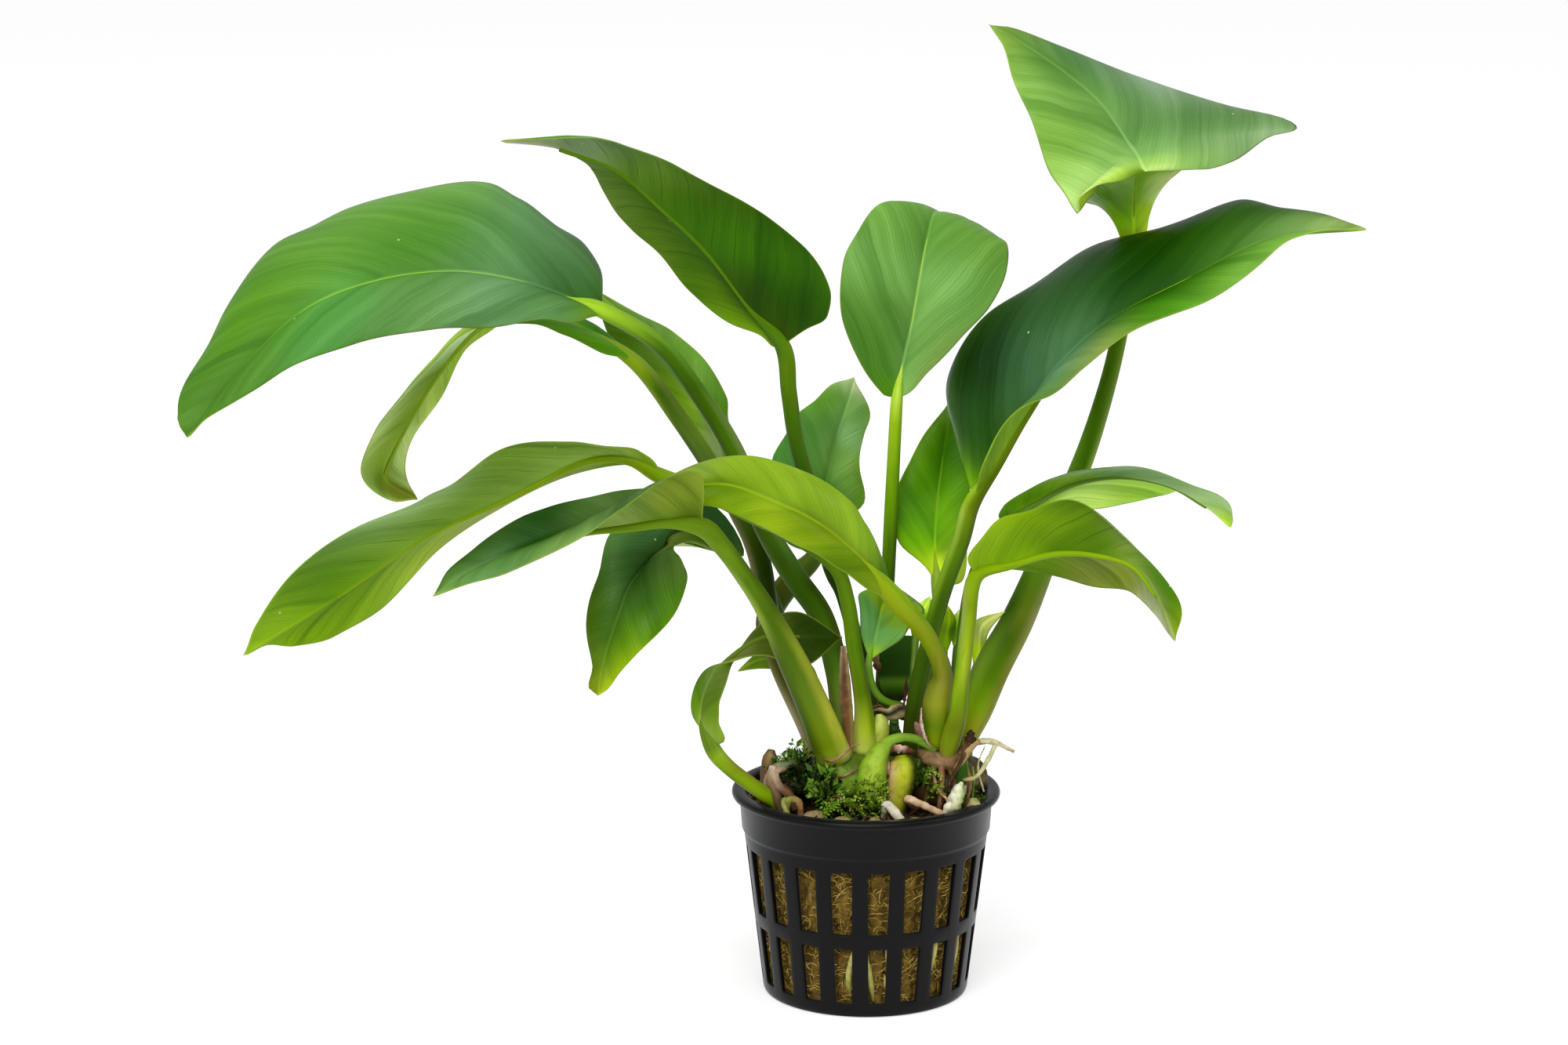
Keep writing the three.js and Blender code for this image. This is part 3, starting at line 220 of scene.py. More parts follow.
            (0.35, -0.4, -0.4), (0.5, 0, 0)],
        upper=[(0.06, -0.6, "80a00c"), (0.06, 0.4, "3e6a06"), (0.06, 0.85, "305600"),
            (0.2, -0.8, "668804"), (0.2, 0, "76960e"), (0.2, 0.5, "8eb828"), (0.35, -0.6, "7b9e10"),
            (0.35, -0.2, "668300"), (0.35, 0.4, "85ab22"), (0.5, -0.6, "96b618"), (0.5, 0.3, "82a71d"),
            (0.65, -0.8, "80a507"), (0.65, -0.4, "4c7400"), (0.65, 0.4, "7c9e10"),
            (0.65, 0.85, "93b726"), (0.8, 0.8, "809c36"), (0.93, 0, "6d9402")],
        under=[(0.5, 0, "7e9a20")],
        stalk=[(0, "8a8c30", "7c7a24", "8a7a3c"), (0.17, "738502", "7a8a0b", "768a08"),
            (0.28, "455f04", "5b7704", "7a8f12"), (0.43, "74781d", "818a1c", "7a8611"),
            (0.64, "5d6f17", "828028", "7c7d23"), (0.82, "728401", "76840e", "758710"),
            (1, "84940c", "80940c", "7a9a14")],
    ),
    leaf_front_folded=dict(
        slot="leaf_green", radii=[3.6, 3.35, 3, 2.1, 1.8, 1.85, 1.9], crown=0.12, flat=0.75,
        contrast=1.3, lift=1.22, stalk_painted_light_gain=1.25,
        stem=[(-6.2, -9, 50), (-9.7, -12, 59.5), (-14.2, -17, 71), (-20.1, -24, 84.5), (-24.8, -29, 93),
            (-28.5, -34, 99.3), (-32, -38, 103.6)],
        rib=[(-32, -38, 103.6), (-38.5, -42, 106), (-46, -46, 106), (-54, -49, 105.5),
            (-63.5, -52, 103), (-72.5, -54, 100), (-82, -55, 94)],
        left=[(-32, -38, 103.6), (-32, -44, 115), (-38.5, -50, 115.5), (-47, -55, 110.5),
            (-58, -59, 104.5), (-70, -60, 99), (-82, -55, 94)],
        right=[(-32, -38, 103.6), (-35.5, -40.5, 110.5), (-43, -42, 112), (-52, -43, 110.5),
            (-62, -46, 108.5), (-73, -50, 102.5), (-82, -55, 94)],
        left_trim=[(0.5, 0, 0), (0.6, 0.3, -0.6), (0.8, 0.1, -0.3), (0.9, -0.1, 0.3), (1, 0, 0)],
        right_trim=[(0.35, 0, 0), (0.45, -0.1, 0.3), (0.65, -0.1, 0.3), (0.72, -0.3, 0.6),
            (0.85, -0.4, 0.5), (0.93, -0.9, 0.9), (1, 0, 0)],
        upper=[(0.2, 0, "446c12"), (0.5, -0.8, "44662a"), (0.5, -0.3, "365f10"), (0.5, 0.5, "3f6022"),
            (0.65, -0.85, "648a3a"), (0.65, -0.3, "1c4a02"), (0.65, 0.5, "184202"),
            (0.8, -0.8, "4e7834"), (0.8, -0.2, "3e6626"), (0.8, 0.8, "305018"), (0.95, -0.3, "5c8638"),
            (0.95, 0.7, "3c641a")],
        under=[(0.06, 0, "466404"), (0.2, -0.4, "7e9628"), (0.2, 0.3, "5c7b1e"), (0.35, 0, "7a953c"),
            (0.8, 0, "6f8f2c")],
        stalk=[(0, "7a8a20", "a8b834", "d0d070"), (0.07, "465a00", "698202", "b4bc30"),
            (0.15, "425c06", "6c830d", "b8be38"), (0.26, "455d0e", "5c7a15", "9aa02c"),
            (0.38, "4a5e12", "496608", "8a9a24"), (0.49, "8ba438", "496600", "496402"),
            (0.63, "829d36", "567902", "4b6c00"), (0.8, "66870a", "678c08", "547101"),
            (1, "6f8f10", "5f7f0c", "547101")],
    ),
    leaf_left_low=dict(
        slot="leaf_bright", radii=[3.1, 1.8, 1.6, 1.5, 1.4, 1.35, 1.4, 1.5, 1.6], crown=0.1,
        contrast=1.3, lift=1.45, stalk_painted_light_gain=1.2,
        stem=[(-0.2, -4.4, 50.6), (-0.7, -5, 60), (-2.5, -7, 72), (-4, -9, 82.5), (-6.5, -10, 89.5),
            (-14, -11, 95.5), (-23.5, -12, 100.5), (-32, -13, 105), (-40.5, -16, 109)],
        rib=[(-40.5, -16, 109), (-47, -20, 113.5), (-55.5, -25, 114), (-69, -30, 108),
            (-84.5, -35, 101.5), (-101.5, -40, 90.5), (-119, -44, 80)],
        left=[(-40.5, -16, 109), (-45, -22, 116), (-56, -32, 119), (-69.5, -40, 119),
            (-85.5, -46, 109.5), (-107, -48, 97.5), (-119, -44, 80)],
        right=[(-40.5, -16, 109), (-47.5, -18, 111.5), (-59.5, -21, 109.5), (-74, -25, 103),
            (-88, -30, 92.5), (-103.5, -36, 81.5), (-119, -44, 80)],
        left_trim=[(0, 0, 0), (0.05, 0.5, 0.3), (0.15, -0.2, -0.4), (0.25, -0.1, -1), (0.35, 0, 0),
            (0.5, -0.1, 0.3), (0.6, 0.2, -0.4), (0.65, -0.3, 0.4), (0.74, -0.8, 1.5), (0.84, -0.5, 0.7),
            (0.95, -0.8, 0.5), (1, 0, 0)],
        right_trim=[(0, 0, 0), (0.05, 0.2, 0.5), (0.15, 0, 0.1), (0.3, 0, 0), (0.48, 0.2, -0.3),
            (0.6, -0.1, 0.1), (0.73, 0.9, -1.1), (0.82, 0.1, -0.2), (0.9, -0.1, 0.4), (0.95, -0.2, 1.3),
            (1, 0, 0)],
        upper=[(0.3, 0, "5d8a3e"), (0.7, 0, "6f9a44")],
        under=[(0.06, -0.5, "779908"), (0.06, 0.5, "698301"), (0.2, -0.2, "98b84a"),
            (0.35, -0.85, "739526"), (0.35, -0.2, "7c9e36"), (0.5, -0.85, "698d16"),
            (0.5, -0.2, "68882a"), (0.5, 0.85, "859840"), (0.65, -0.85, "90b064"),
            (0.65, -0.5, "769b28"), (0.65, -0.1, "507412"), (0.65, 0.5, "88a62e"),
            (0.8, -0.5, "4a7608"), (0.8, 0.4, "618708"), (0.95, -0.5, "749917"), (0.95, 0.5, "6f9408")],
        stalk=[(0, "d4d868", "c8d458", "b0bc3c"), (0.07, "ced557", "b0c825", "82a106"),
            (0.16, "859611", "5a7b01", "516e02"), (0.27, "749811", "5b8400", "4b7101"),
            (0.39, "648e05", "6b940b", "648a06"), (0.6, "5a7c0a", "62880a", "5a7c0a"),
            (0.95, "8aac08", "84a408", "7f9f15"), (1, "7e9c08", "749300", "7a9a10")],
    ),
    leaf_left_hanging=dict(
        slot="leaf_dark", radii=[1.4, 1.3, 1.2, 1.1], crown=0.1, contrast=1.15, lift=1.43,
        stem=[(-9, 0, 42), (-10, 2, 54), (-15, 0, 65.5), (-20.5, -4, 79), (-25.5, -10, 90.5),
            (-31, -13, 95), (-35, -14, 96.5), (-38, -15, 96)],
        rib=[(-38, -15, 96), (-39.5, -16, 95), (-43, -20, 93), (-46.5, -25, 89), (-48.5, -28, 84),
            (-50.5, -29, 78), (-51.5, -29, 73), (-52.5, -28, 68)],
        left=[(-38, -15, 96), (-37, -17, 94), (-36, -20, 92.5), (-35.5, -24, 90), (-38, -29, 84.5),
            (-44, -32, 78.5), (-48, -32, 73.5), (-52.5, -28, 68)],
        right=[(-38, -15, 96), (-24.5, 0, 89.5), (-32, -4, 101.5), (-48.5, -18, 100), (-52.5, -24, 91),
            (-54.5, -27, 82), (-53.5, -28, 74), (-52.5, -28, 68)],
        left_trim=[(0, 0, 0), (0.1, -0.6, -0.3), (0.2, -0.1, -0.1), (0.45, 0.3, -0.1),
            (0.65, 0.3, -0.3), (0.85, -0.1, 0.1), (0.95, 0.3, -0.3), (1, 0, 0)],
        right_trim=[(0.55, 0, 0), (0.65, -0.4, 0.1), (0.85, 0, 0), (0.95, -1.5, -0.3), (1, 0, 0)],
        upper=[(0.2, -0.4, "547a34"), (0.35, -0.8, "6c9038"), (0.35, -0.3, "355c1a"),
            (0.35, 0.4, "2d5520"), (0.5, -0.85, "4a7711"), (0.5, -0.2, "365f17"), (0.5, 0.5, "4c7430"),
            (0.65, -0.6, "4e7a04"), (0.65, 0.2, "3c6416"), (0.65, 0.85, "416106"),
            (0.8, -0.8, "749404"), (0.8, -0.2, "5a8018"), (0.8, 0.6, "4a680a"), (0.95, -0.8, "94ac06"),
            (0.95, -0.2, "7a9808"), (0.95, 0.4, "647c0c")],
        under=[(0.06, -0.5, "a8c078"), (0.2, -0.5, "90b060"), (0.6, 0, "5a7c24")],
        stalk=[(0, "6a7a28", "6a7a28", "5a6a20"), (0.4, "5a7a10", "4a6a0a", "4a6a0a"),
            (0.8, "7a9c20", "526d05", "44600a"), (1, "69812b", "69812b", "69812b")],
    ),
    leaf_centre_upright=dict(
        slot="leaf_green", radii=[1.5, 1.5, 1.45, 1.4, 1.4, 1.3, 1.2], crown=0.08, lift=1.12,
        stalk_painted_light_gain=1.3,
        stem=[(3, 13.5, 41), (3.5, 13, 58.5), (4, 12.5, 72), (4.5, 12, 82), (5, 11, 95),
            (5.5, 9, 108.5), (6, 7, 120)],
        rib=[(6, 7, 120), (7, 8, 126.5), (9, 10, 135), (10.5, 12, 143.5), (12, 16, 150.4),
            (14, 24, 155), (18.5, 36, 150.6)],
        left=[(6, 7, 120), (0.5, 6, 126.5), (-4, 7, 136.5), (-4.5, 9, 147), (-0.5, 13, 155.5),
            (7, 21, 157.5), (19, 36, 150)],
        right=[(6, 7, 120), (12.5, 7, 124.5), (19.5, 8, 132), (25.5, 10, 139), (28, 14, 148),
            (26, 24, 151), (19, 36, 150)],
        left_trim=[(0, 0, 0), (0.05, -1, -1), (0.15, -1, -0.7), (0.32, -1, -0.3), (0.5, -0.3, 0.1),
            (0.62, 0.4, -0.3), (0.75, -0.1, 0.2), (0.9, 0, -0.8)],
        right_trim=[(0, 0, 0), (0.05, 0.2, -0.3), (0.18, -0.6, 0.6), (0.3, -0.5, 0.4),
            (0.48, -0.4, 0.2), (0.6, 0.2, 0), (0.72, 0.2, 0), (0.8, 0.3, -0.9), (0.9, 0.5, -2)],
        upper=[(0.06, -0.5, "529002"), (0.06, 0.5, "8ec05c"), (0.2, -0.85, "54882a"),
            (0.2, -0.3, "3e7816"), (0.2, 0.2, "8abc66"), (0.2, 0.5, "548e36"), (0.2, 0.85, "84a44a"),
            (0.35, -0.6, "5a8c31"), (0.35, 0.3, "72a44c"), (0.5, -0.6, "76ac4e"), (0.5, 0, "74a852"),
            (0.5, 0.6, "6ea648"), (0.65, -0.6, "6da241"), (0.65, 0.2, "5c9232"), (0.65, 0.8, "6d9f3c"),
            (0.93, 0, "6fa048")],
        under=[(0.5, 0, "6f8f2c")],
        stalk=[(0, "5a5c1c", "4a4a18", "3a3a10"), (0.45, "4a6a0a", "3f5e04", "304404"),
            (0.6, "5d8805", "466d00", "395404"), (0.74, "6d9f07", "6d9902", "4c7902"),
            (0.93, "9bc020", "99c015", "79a20c"), (1, "a8d030", "b6d746", "98c030")],
    ),
    leaf_back_middle=dict(
        slot="leaf_dark", radii=[1.8, 1.9, 2.2, 2.6, 2.5, 1.8], crown=0.1, contrast=1.45, lift=1.85,
        stem=[(-8, 17, 40), (-11.6, 20, 55), (-18.6, 23, 64.5), (-19.5, 25, 71.5), (-15, 26, 78.5),
            (-10, 26, 84)],
        rib=[(-10, 26, 84), (-9, 28, 92), (-7.5, 30, 100), (-5.5, 31, 108), (-3.5, 31, 114.5),
            (-2, 31, 119.5)],
        left=[(-10, 26, 84), (-16.5, 27, 87), (-19, 29, 97), (-15.5, 31, 108.5), (-9.5, 32, 115.5),
            (-2, 31, 119.5)],
        right=[(-10, 26, 84), (-3.5, 26, 86.5), (0, 27, 95), (-0.5, 29, 103.5), (1, 30, 112.5),
            (-2, 31, 119.5)],
        left_trim=[(0.4, 0, 0), (0.5, -1.1, 0.3), (0.6, -0.3, 0.1), (0.66, -0.5, 0.4), (0.78, 0, 0),
            (0.9, -0.4, 1), (1, -0.2, 0.5)],
        right_trim=[(0, 0, 0), (0.15, -1.6, 0.6), (0.3, -1.7, 0.7), (0.4, 0.1, 0), (0.55, -0.5, 0),
            (0.7, -0.5, 0.1), (0.8, 0.2, 0), (1, -0.2, 0.2)],
        upper=[(0.3, 0, "3f6a24"), (0.5, -0.8, "487930"), (0.5, 0, "4f7a2e"), (0.5, 0.5, "638940"),
            (0.5, 0.85, "487006"), (0.65, -0.5, "48742c"), (0.65, 0.4, "6a9452"), (0.8, -0.6, "4e7e20"),
            (0.8, 0, "699548"), (0.8, 0.6, "5c8838"), (0.95, -0.5, "80a25e"), (0.95, 0.5, "88a668")],
        under=[(0.5, 0, "4f7a1e")],
        stalk=[(0, "4a4c14", "4a4c14", "3a3c10"), (0.4, "5a5c14", "6a6a1e", "5a6014"),
            (0.8, "66701c", "6a7422", "5a7a1c"), (1, "5a7a24", "5a7a24", "5a7a24")],
    ),
    leaf_right_upright=dict(
        slot="leaf_green", radii=[1.4, 1.3, 1.3], crown=0.08, contrast=1.25, lift=1.45,
        stem=[(10.5, 6, 41), (10.5, 6, 56.5), (13, 7, 63.5), (15, 9, 73), (14.5, 12, 81)],
        rib=[(14.5, 12, 81), (14, 14, 88), (14.5, 16, 97), (15.5, 18, 105), (16.5, 19, 112),
            (17, 20, 117.5)],
        left=[(14.5, 12, 81), (7, 13, 89.5), (6, 15, 97.5), (9, 17, 106), (13.5, 19, 112.5),
            (17, 20, 117.5)],
        right=[(14.5, 12, 81), (19.8, 12, 82), (20.6, 14, 93), (21.2, 16, 103.5), (20.5, 19, 112),
            (17, 20, 117.5)],
        left_trim=[(0, 0, 0), (0.08, 0.5, 0.4), (0.2, -0.3, -0.1), (0.42, -0.3, 0), (0.6, 0.2, -0.1),
            (0.75, -0.2, 0.1), (0.95, 0.2, -0.1)],
        upper=[(0.06, -0.5, "98ba1a"), (0.06, 0.2, "bce420"), (0.2, -0.6, "669f06"),
            (0.2, 0.8, "81a123"), (0.35, -0.8, "3f7403"), (0.35, -0.2, "5e981a"), (0.35, 0.4, "6aa00e"),
            (0.5, -0.8, "568604"), (0.5, -0.2, "3a7002"), (0.5, 0.5, "599211"), (0.65, -0.7, "4e7c03"),
            (0.65, 0, "346604"), (0.65, 0.5, "467812"), (0.8, -0.7, "4d7a08"), (0.8, 0.2, "3b6802"),
            (0.95, 0, "5c8230")],
        under=[(0.5, 0, "6f8f2c")],
        stalk=[(0, "9aa83c"), (0.3, "6f9020"), (0.8, "86a824"), (1, "9bbb33")],
    ),
    leaf_right_large=dict(
        slot="leaf_dark", radii=[1.7, 1.65, 1.7, 1.75, 1.75, 1.7], crown=0.12, contrast=1.5,
        lift=1.3, stalk_painted_light_gain=1.3,
        stem=[(8.5, -2, 47), (9.5, -3, 59.5), (12, -4, 71.5), (15, -5, 83.5), (18.5, -6, 94),
            (20.5, -8, 102)],
        rib=[(21, -8, 102.5), (24.5, -12, 110.5), (30, -17, 121.5), (36.5, -21, 132),
            (46.5, -23, 141.5), (60, -22, 148.5), (76.5, -20, 156), (95, -17, 157.5)],
        left=[(21, -8, 102.5), (17.5, 0, 114), (15.5, 3, 125.5), (24, 5, 138), (41.5, 4, 149),
            (61.5, 0, 156.5), (78.5, -9, 161.5), (95, -17, 157.5)],
        right=[(21, -8, 102.5), (22.5, -17, 112), (28.5, -23, 124.5), (39, -28, 131), (49, -30, 140),
            (62.5, -29, 145.5), (79, -24, 157), (95, -17, 157.5)],
        left_trim=[(0.15, 0, 0), (0.3, 0.6, -0.2), (0.42, 0.1, -0.1), (0.5, 0.4, -0.7),
            (0.6, -0.3, 0.8), (0.68, 0, 0), (0.8, -0.3, 1.4), (0.87, -0.1, -0.8), (0.95, 0.1, 0.2)],
        right_trim=[(0.2, 0, 0), (0.35, 0.7, -1.5), (0.45, -0.1, 0.1), (0.57, 0.2, -0.4),
            (0.67, 0.1, -0.1), (0.8, 1, -1.4), (0.87, 0.3, -0.7), (0.95, 0, 0.1)],
        upper=[(0.05, -0.7, "669c06"), (0.2, -0.8, "3a6622"), (0.2, -0.4, "164402"),
            (0.2, 0.1, "386618"), (0.2, 0.7, "689806"), (0.35, -0.85, "183c02"), (0.35, -0.4, "123604"),
            (0.35, 0.1, "3f6c30"), (0.35, 0.5, "5a8a30"), (0.41, 0.35, "55804a"),
            (0.44, 0.05, "4a7838"), (0.4, -0.55, "0c2e02"), (0.35, 0.9, "345c0e"),
            (0.5, -0.85, "2a5218"), (0.5, -0.4, "305c1c"), (0.5, 0.3, "2a5612"), (0.5, 0.9, "688430"),
            (0.65, -0.85, "1f4902"), (0.65, -0.3, "163c02"), (0.65, 0.2, "1a4802"),
            (0.65, 0.5, "2e6202"), (0.65, 0.9, "427c02"), (0.8, -0.5, "244e04"), (0.8, 0.2, "3e7010"),
            (0.8, 0.85, "5a8a2a"), (0.92, 0, "5f8a3c"), (1, 0, "66822c")],
        under=[(0.05, 0, "7aa41c"), (0.3, 0.5, "6f9a20"), (0.7, 0, "5a8624")],
        stalk=[(0, "3c4a08", "344804", "3c4a08"), (0.18, "354605", "314503", "394a02"),
            (0.31, "3f5c01", "3a5b01", "405d05"), (0.47, "456d05", "385c00", "48640f"),
            (0.58, "6d8f14", "3a5803", "3e5909"), (0.77, "7fa02c", "547604", "426200"),
            (0.95, "9bb744", "728d0c", "5b6e03"), (1, "8cae20", "667e04", "5b6e03")],
    ),
    leaf_top_right=dict(
        slot="leaf_green", radii=[1.2, 3.3, 3.65, 3.3, 2.8, 2.3, 2, 1.7, 1.6, 1.3], crown=0.06,
        rib_r=1, contrast=1.1, lift=1.03, stalk_painted_light_gain=1.45,
        stem=[(20, 2, 49), (21.8, 2.6, 56.5), (25.3, 4, 65.5), (30.5, 6, 75), (35, 7.5, 85.5),
            (39.5, 9, 97), (44.5, 10, 110), (48.5, 10, 124), (51, 10, 136.5), (52.5, 8.6, 147.5)],
        rib=[(53, -12, 168), (52.5, -11, 169), (52, -10, 170), (51.5, -9, 171), (50, -7, 173),
            (48, -4, 176), (44.5, -2, 180.5), (38.5, -1, 185.5), (30.5, -2, 191), (23, -5, 195.5)],
        left=[(53, -12, 168), (48.5, -14, 166.5), (43.5, -16, 165), (40, -17, 163.5), (39, -17, 161.5),
            (37, -15, 165), (34.5, -13, 170), (31, -10, 179.5), (27.5, -7, 188.5), (23, -5, 195.5)],
        right=[(53, -12, 168), (61.5, -11, 168.5), (70, -8, 169), (78, -4, 173.5), (83, 0, 175.5),
            (71.5, 5, 179), (56.5, 8, 183), (45, 7, 187), (33, 1, 192), (23, -5, 195.5)],
        # The funnel is painted much lighter, standing in for light shining through it.
        funnel=dict(lift=2.4,
            rib=[(52.5, 8.6, 147.5), (52.6, 8, 153), (52.4, 6, 158), (52.3, 3, 162.5), (52.3, -1, 167),
                (52.4, -6, 171)],
            left=[(51.3, 9, 147.5), (49.6, 8.4, 153), (47.6, 6.4, 156.6), (45.2, 3, 158.9),
                (42.6, -2, 160.2), (40.6, -8, 161.8), (41, -12, 165)],
            right=[(53.6, 9, 147.5), (55.2, 8.6, 153), (55.7, 8, 156.4), (56.9, 7, 160.1),
                (58.9, 4, 163.7), (61.9, 0, 167.3), (63, -3, 170.5)],
            upper=[(0.1, 0, "5a7200"), (0.35, -0.3, "5a8602"), (0.35, 0.6, "7a9812"),
                (0.6, 0, "558202"), (0.6, 0.9, "90a84c"), (0.9, 0, "5e8a0a")],
            under=[(0.1, 0, "5f7804"), (0.35, -0.3, "5a8602"), (0.35, 0.6, "7a9812"),
                (0.6, 0, "558202"), (0.6, 0.9, "90a84c"), (0.9, 0, "5e8a0a")],
        ),
        left_trim=[(0.1, 0, 0), (0.22, 0, 0.8), (0.33, 0, 0.2), (0.44, 0.7, -1), (0.5, 0, 0),
            (0.65, -0.8, -0.3), (0.75, -0.5, -0.2), (0.85, -1.2, -0.5), (0.95, 0.1, 0)],
        right_trim=[(0, 0, 0), (0.15, 0.1, -0.4), (0.22, 0, 0.3), (0.3, -0.3, 0.4), (0.4, 0.2, -0.3),
            (0.48, 0, 0), (0.57, -0.2, -0.8), (0.7, 0, 0), (0.85, 0.1, 0.3), (0.95, 0.2, 0.7),
            (1, 0, 0)],
        upper=[(0.06, -0.8, "5c7e08"), (0.06, 0.5, "aed46b"), (0.2, -0.85, "aeda50"),
            (0.2, 0.3, "90c056"), (0.2, 0.85, "86b260"), (0.35, -0.85, "c4de80"),
            (0.35, -0.4, "9acb68"), (0.35, 0.2, "629644"), (0.35, 0.6, "66944e"),
            (0.35, 0.95, "a6c48c"), (0.5, -0.85, "a8d36c"), (0.5, -0.4, "80b552"), (0.5, 0.2, "50803c"),
            (0.5, 0.6, "648e50"), (0.5, 0.9, "5c8a40"), (0.65, -0.8, "8cbc4a"), (0.65, -0.2, "6a9e42"),
            (0.65, 0.4, "5a8844"), (0.65, 0.9, "90aa84"), (0.8, -0.8, "82b44e"), (0.8, -0.1, "568a30"),
            (0.8, 0.6, "56824a"), (0.95, -0.6, "80aa40"), (0.95, 0.5, "709a3a")],
        under=[(0.05, 0, "6f9316"), (0.3, 0, "7c9e22"), (0.8, 0, "6f9432")],
        stalk=[(0, "8a8c20", "8c8a28", "7a7030"), (0.08, "9cab06", "8f9616", "88862d"),
            (0.13, "8aaf13", "719601", "777b22"), (0.2, "789b29", "4c7000", "656a12"),
            (0.29, "517116", "3d5c00", "717729"), (0.35, "315200", "586a0e", "7a7a44"),
            (0.45, "4c7410", "4a700c", "64782a"), (0.585, "78a034", "4c7804", "7a9238"),
            (0.65, "70a020", "54840a", "7e9638"), (0.74, "507804", "507804", "6c8430"),
            (0.9, "4a6e04", "4a6e04", "5a7a14"), (1, "5a7e04", "6f8f0a", "8aa024")],
    ),
    leaf_right_arching=dict(
        slot="leaf_green", radii=[1.4, 1.3, 1.2, 1.2], crown=0.1, contrast=1.2, lift=2.75,
        stem=[(16, 0.5, 42), (18.4, 1, 62), (19.5, 2, 74.5), (20.9, 3, 83), (24, 3, 90.5),
            (28, 2, 95.5)],
        rib=[(28, 2, 95.5), (33, -1, 100.5), (40.5, -5, 105.5), (49.5, -8, 107.5), (59, -10, 106),
            (66.5, -9, 101.5), (71.5, -8, 97)],
        left=[(28, 2, 95.5), (36, 4, 95), (44, 5, 98), (53.5, 5, 100), (62, 2, 102), (68, -3, 100),
            (71.5, -8, 97)],
        right=[(28, 2, 95.5), (27, -1, 99.5), (33.5, -8, 106.5), (46, -13, 110), (59, -15, 108.5),
            (70, -13, 103), (71.5, -8, 97)],
        left_trim=[(0.3, 0, 0), (0.4, 0.1, -0.7), (0.6, 0.1, -0.5), (0.7, 0.2, 0.7), (0.77, 0, -0.3),
            (0.87, 0.2, 0.3), (0.95, 0, 0)],
        right_trim=[(0, 0, 0), (0.09, -0.8, -0.3), (0.17, -0.2, 0.1), (0.3, 0.4, -0.7), (0.48, 0, -0.3),
            (0.58, 0.1, 0.5), (0.72, -0.1, -0.3), (0.8, 0.2, 0.3), (0.9, 0, 0), (0.96, 0.3, 0),
            (1, 0, 0)],
        upper=[(0.3, 0, "3a6830"), (0.8, 0, "3a6a3c")],
        under=[(0.06, 0.85, "2c5400"), (0.2, 0.2, "608a02"), (0.2, 0.8, "4e7c07"),
            (0.35, -0.85, "98b650"), (0.35, 0.2, "668c1e"), (0.5, -0.85, "7aa02b"),
            (0.5, 0.2, "567a32"), (0.5, 0.85, "7e9070"), (0.65, 0.2, "6a884c"), (0.65, 0.85, "587a36"),
            (0.8, 0.3, "7c9854"), (0.8, 0.85, "7e9c60"), (0.95, -0.5, "7a9830"), (0.95, 0.4, "769a14")],
        stalk=[(0, "9aa83c"), (0.15, "76902c"), (0.6, "4f7a18"), (1, "7da33a")],
    ),
    leaf_right_front=dict(
        slot="leaf_bright", radii=[1.4, 1.95, 2.05, 1.75, 1.6, 1.55, 1.5, 1.5], crown=0.14,
        contrast=1.3, lift=1.3, stalk_painted_light_gain=1.1,
        stem=[(15.9, -10.6, 50.6), (16.2, -11.2, 53.4), (17, -12.6, 57), (17.9, -14.4, 61.4),
            (18.2, -15.4, 66), (18.8, -16, 72), (19.6, -16, 79.6), (21, -16, 89)],
        rib=[(21, -16, 89), (27.5, -21, 93), (35.5, -25, 96), (43.5, -29, 96.5), (50.5, -31, 94.5),
            (55, -31, 88.5), (59, -29, 79)],
        left=[(21, -16, 89), (26, -13, 89.5), (33.5, -12, 88.5), (42.5, -14, 87), (50.5, -18, 86.5),
            (55, -24, 83), (59, -29, 79)],
        right=[(21, -16, 89), (19.5, -20, 94.5), (27, -27, 103.5), (38, -32, 108), (48, -32, 101.5),
            (59, -28, 88), (59, -29, 79)],
        left_trim=[(0.05, 0, 0), (0.15, 0, 0.3), (0.25, 0, 0.2), (0.4, 0.1, 0.3), (0.56, 0, -0.3),
            (0.7, 0.1, 0.2), (0.82, 0.4, 0.3), (0.95, 0, 0)],
        right_trim=[(0.22, 0, 0), (0.3, -0.5, 0.7), (0.4, 0.2, -0.6), (0.5, 0, -0.2),
            (0.65, -0.4, -0.4), (0.78, 0, 0), (0.9, 0.5, 0), (1, 0, 0)],
        upper=[(0.3, 0, "447410"), (0.8, 0, "3f6e14")],
        under=[(0.06, -0.4, "84a702"), (0.06, 0.8, "749a04"), (0.2, 0.2, "729802"),
            (0.2, 0.7, "7ca116"), (0.35, -0.85, "6a9004"), (0.35, 0.2, "3e6402"), (0.35, 0.7, "8eb404"),
            (0.5, -0.85, "80922e"), (0.5, 0.2, "446c00"), (0.5, 0.5, "618603"), (0.5, 0.85, "587e04"),
            (0.65, -0.85, "849a22"), (0.65, 0.2, "668410"), (0.65, 0.6, "6e8438"),
            (0.8, -0.85, "aebe68"), (0.8, -0.3, "8aa041"), (0.8, 0.2, "4c700a"), (0.8, 0.6, "427602"),
            (0.95, -0.5, "94a652"), (0.95, 0.5, "74920c")],
        stalk=[(0, "9a9c34", "90982c", "7c7a2c"), (0.2, "889c19", "7d950f", "6b7a0e"),
            (0.35, "728907", "6c7b0a", "677a17"), (0.54, "8ab00f", "789b08", "617d08"),
            (0.71, "7da610", "a5be28", "7f9216"), (0.91, "9eb054", "83a103", "7b9901"),
            (1, "84a702", "86aa08", "81a105")],
    ),
    leaf_small_heart=dict(
        slot="leaf_dark", radii=[0.8, 0.8, 0.8, 0.8, 0.8, 0.7, 0.62, 0.65], crown=0.06, lift=2.2,
        stalk_painted_light_gain=1.2,
        stem=[(9, 4.6, 41), (9, 4.6, 50), (7.8, 4.4, 56.8), (4.9, 3.4, 58.3), (2.9, 2, 59.8),
